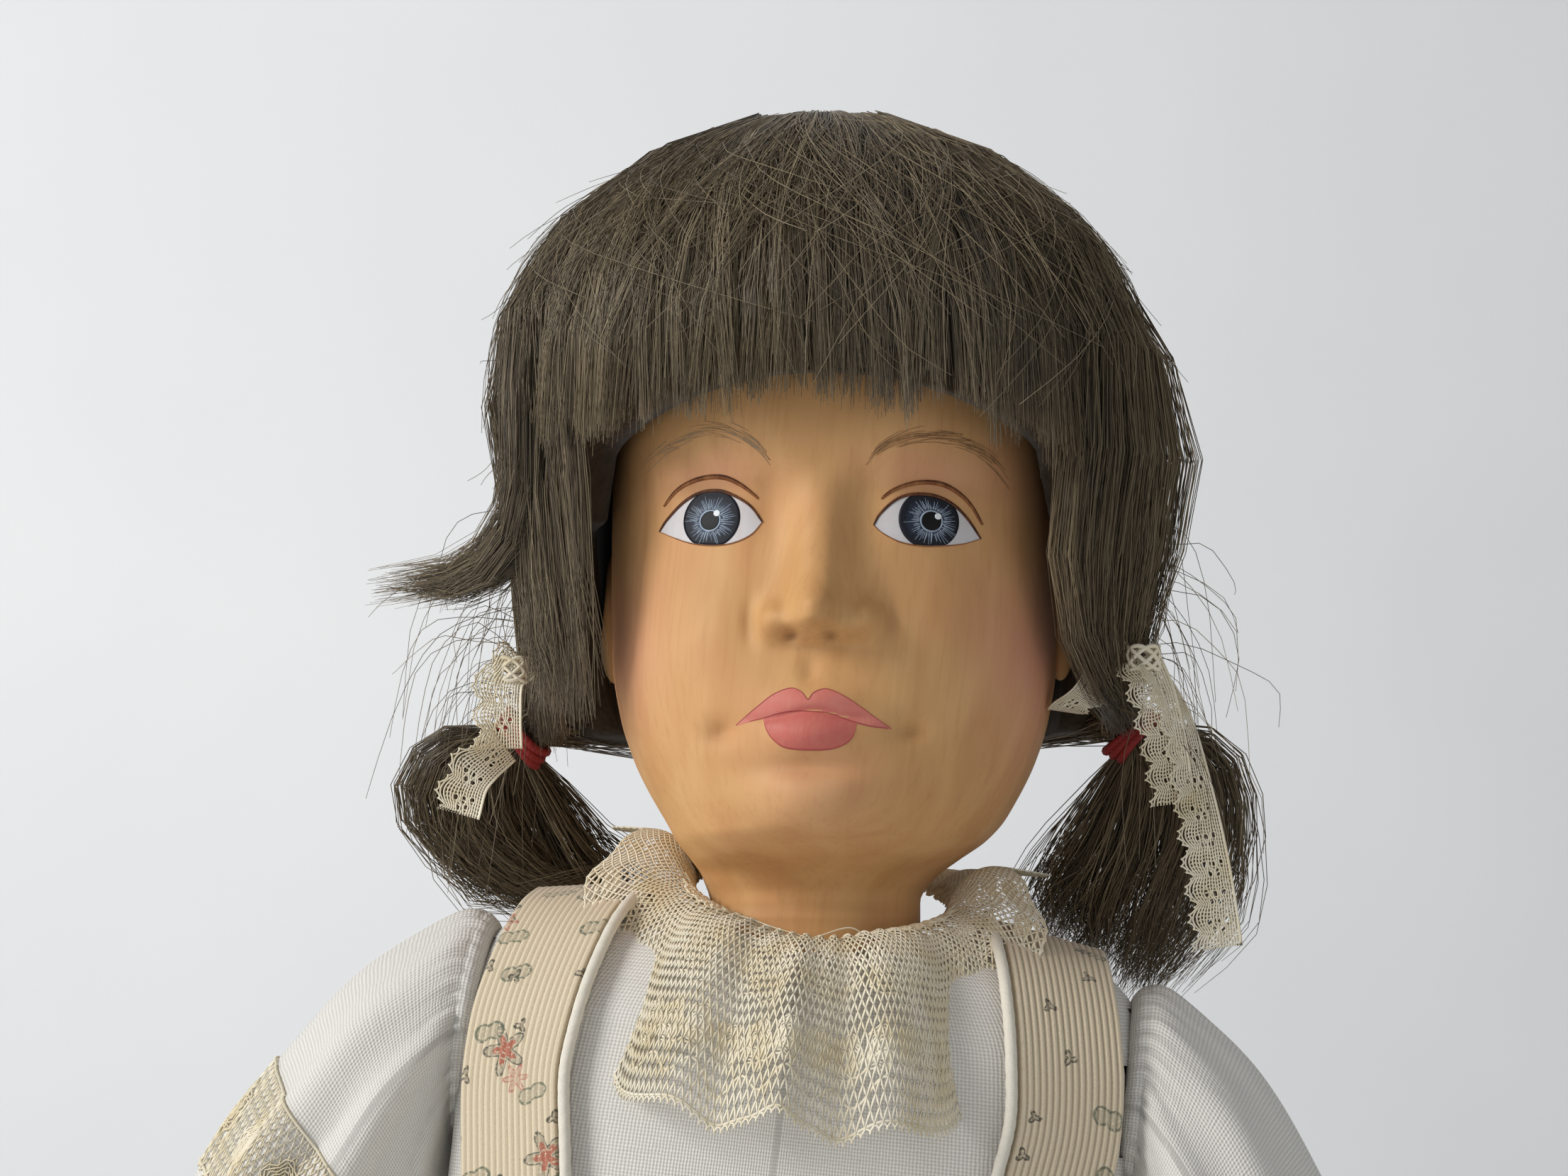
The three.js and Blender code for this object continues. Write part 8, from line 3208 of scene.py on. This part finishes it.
@dataclass(frozen=True)
class NeckFelt:
    """The felt ring that the ball of the neck turns on: a zone of a sphere with pressed edges."""

    centre_z: float = 471.0
    inner_r: float = 17.9
    wall: float = 1.0
    low: float = 28.0
    high: float = 74.0

    def make(self, felt: bpy.types.Material) -> list[bpy.types.Object]:
        """The ring. Its radius is the ball's and its ease, and its outer face is a little uneven;
        a point is (r sin a cos t, r sin a sin t, -r cos a)."""
        turns = circle(80)[None]
        polar = np.radians(np.linspace(self.low, self.high, 14))[:, None]
        pressed = np.sin(math.pi * np.linspace(0, 1, 14))[:, None] ** 0.3
        uneven = 0.08 * np.sin(13 * turns + 9 * polar) * np.cos(7 * turns)
        outer = self.inner_r + self.wall * (0.45 + 0.55 * pressed) - 0.08 + uneven * pressed
        rings = []
        for radius in (outer, (self.inner_r + 0 * outer)[::-1]):
            angle = polar if radius is outer else polar[::-1]
            flat = radius * np.sin(angle)
            rings.append(
                np.stack([flat * np.cos(turns), flat * np.sin(turns), -radius * np.cos(angle)], axis=-1)
            )
        grid = np.concatenate(rings)
        faces = quads(*grid.shape[:2], wrap_rows=True, wrap_columns=True)
        piece = object_of("felt_ring", grid.reshape(-1, 3) + (0, 0, self.centre_z), [faces], felt)
        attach(piece, "neck_felt")
        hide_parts("neck_felt")
        return [piece]


class Doll:
    """The whole doll: it makes the finishes once and dresses each sub-assembly in them."""

    def __init__(self) -> None:
        """Makes the finishes."""
        self.finishes = {slot: finish.material() for slot, finish in CARRIED.items()}
        self.finishes |= {
            "wood": StainedMaple().material(),
            "cotton": LinenCotton().material(),
            "lace": LaceThread().material(),
            "corduroy": Corduroy("printed_corduroy", wale_mm=18 / 16).material(),
            "skirt_corduroy": Corduroy("skirt_corduroy", drawn_wales=True, printed=False).material(),
        }

    def head(self) -> list[bpy.types.Object]:
        """Head, painted face, wig, elastic bands and ribbons."""
        made = [*CarvedHead().make(self.finishes["wood"]), *PaintedFace().make(), *Wig().make()]
        for side in Side:
            made += HairTie(side.value).make(self.finishes)
        return made

    def clothes(self) -> list[bpy.types.Object]:
        """Blouse, collar, sleeves, straps, waistband, the felt in the neck and the divided skirt."""
        cotton, lace = self.finishes["cotton"], self.finishes["lace"]
        made = [*Blouse().make(cotton), *LaceCollar().make(lace), *Straps().make(self.finishes)]
        for side in Side:
            made += Sleeve(side.value).make(cotton, lace)
        made += NeckFelt().make(self.finishes["felt"])
        return made + DividedSkirt().make(self.finishes["skirt_corduroy"])

    def limbs(self) -> list[bpy.types.Object]:
        """Forearms and lower legs."""
        made = []
        for side in Side:
            made += [
                Forearm(Sleeve(side.value)).make(self.finishes["wood"]),
                *LowerLeg(side.value).make(self.finishes)
            ]
        return made

    def dress_carried(self, frame: dict) -> None:
        """Gives each CAD node that stays the finish that the record names for it."""
        for part in frame["record"]["subparts"]:
            node = frame["nodes"].get(part["node"])
            if node is not None and part["material_slot"] in self.finishes:
                for slot in node.material_slots:
                    slot.material = self.finishes[part["material_slot"]]


def main() -> None:
    """Loads the frame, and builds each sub-assembly in order."""
    logging.basicConfig(level=logging.INFO, format="%(message)s")
    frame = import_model()
    Studio().make()
    doll = Doll()
    for piece in [*doll.head(), *doll.clothes(), *doll.limbs()]:
        LOG.info("made %s: %d faces", piece.name, len(piece.data.polygons))
    doll.dress_carried(frame)


if __name__ == "__main__":
    main()
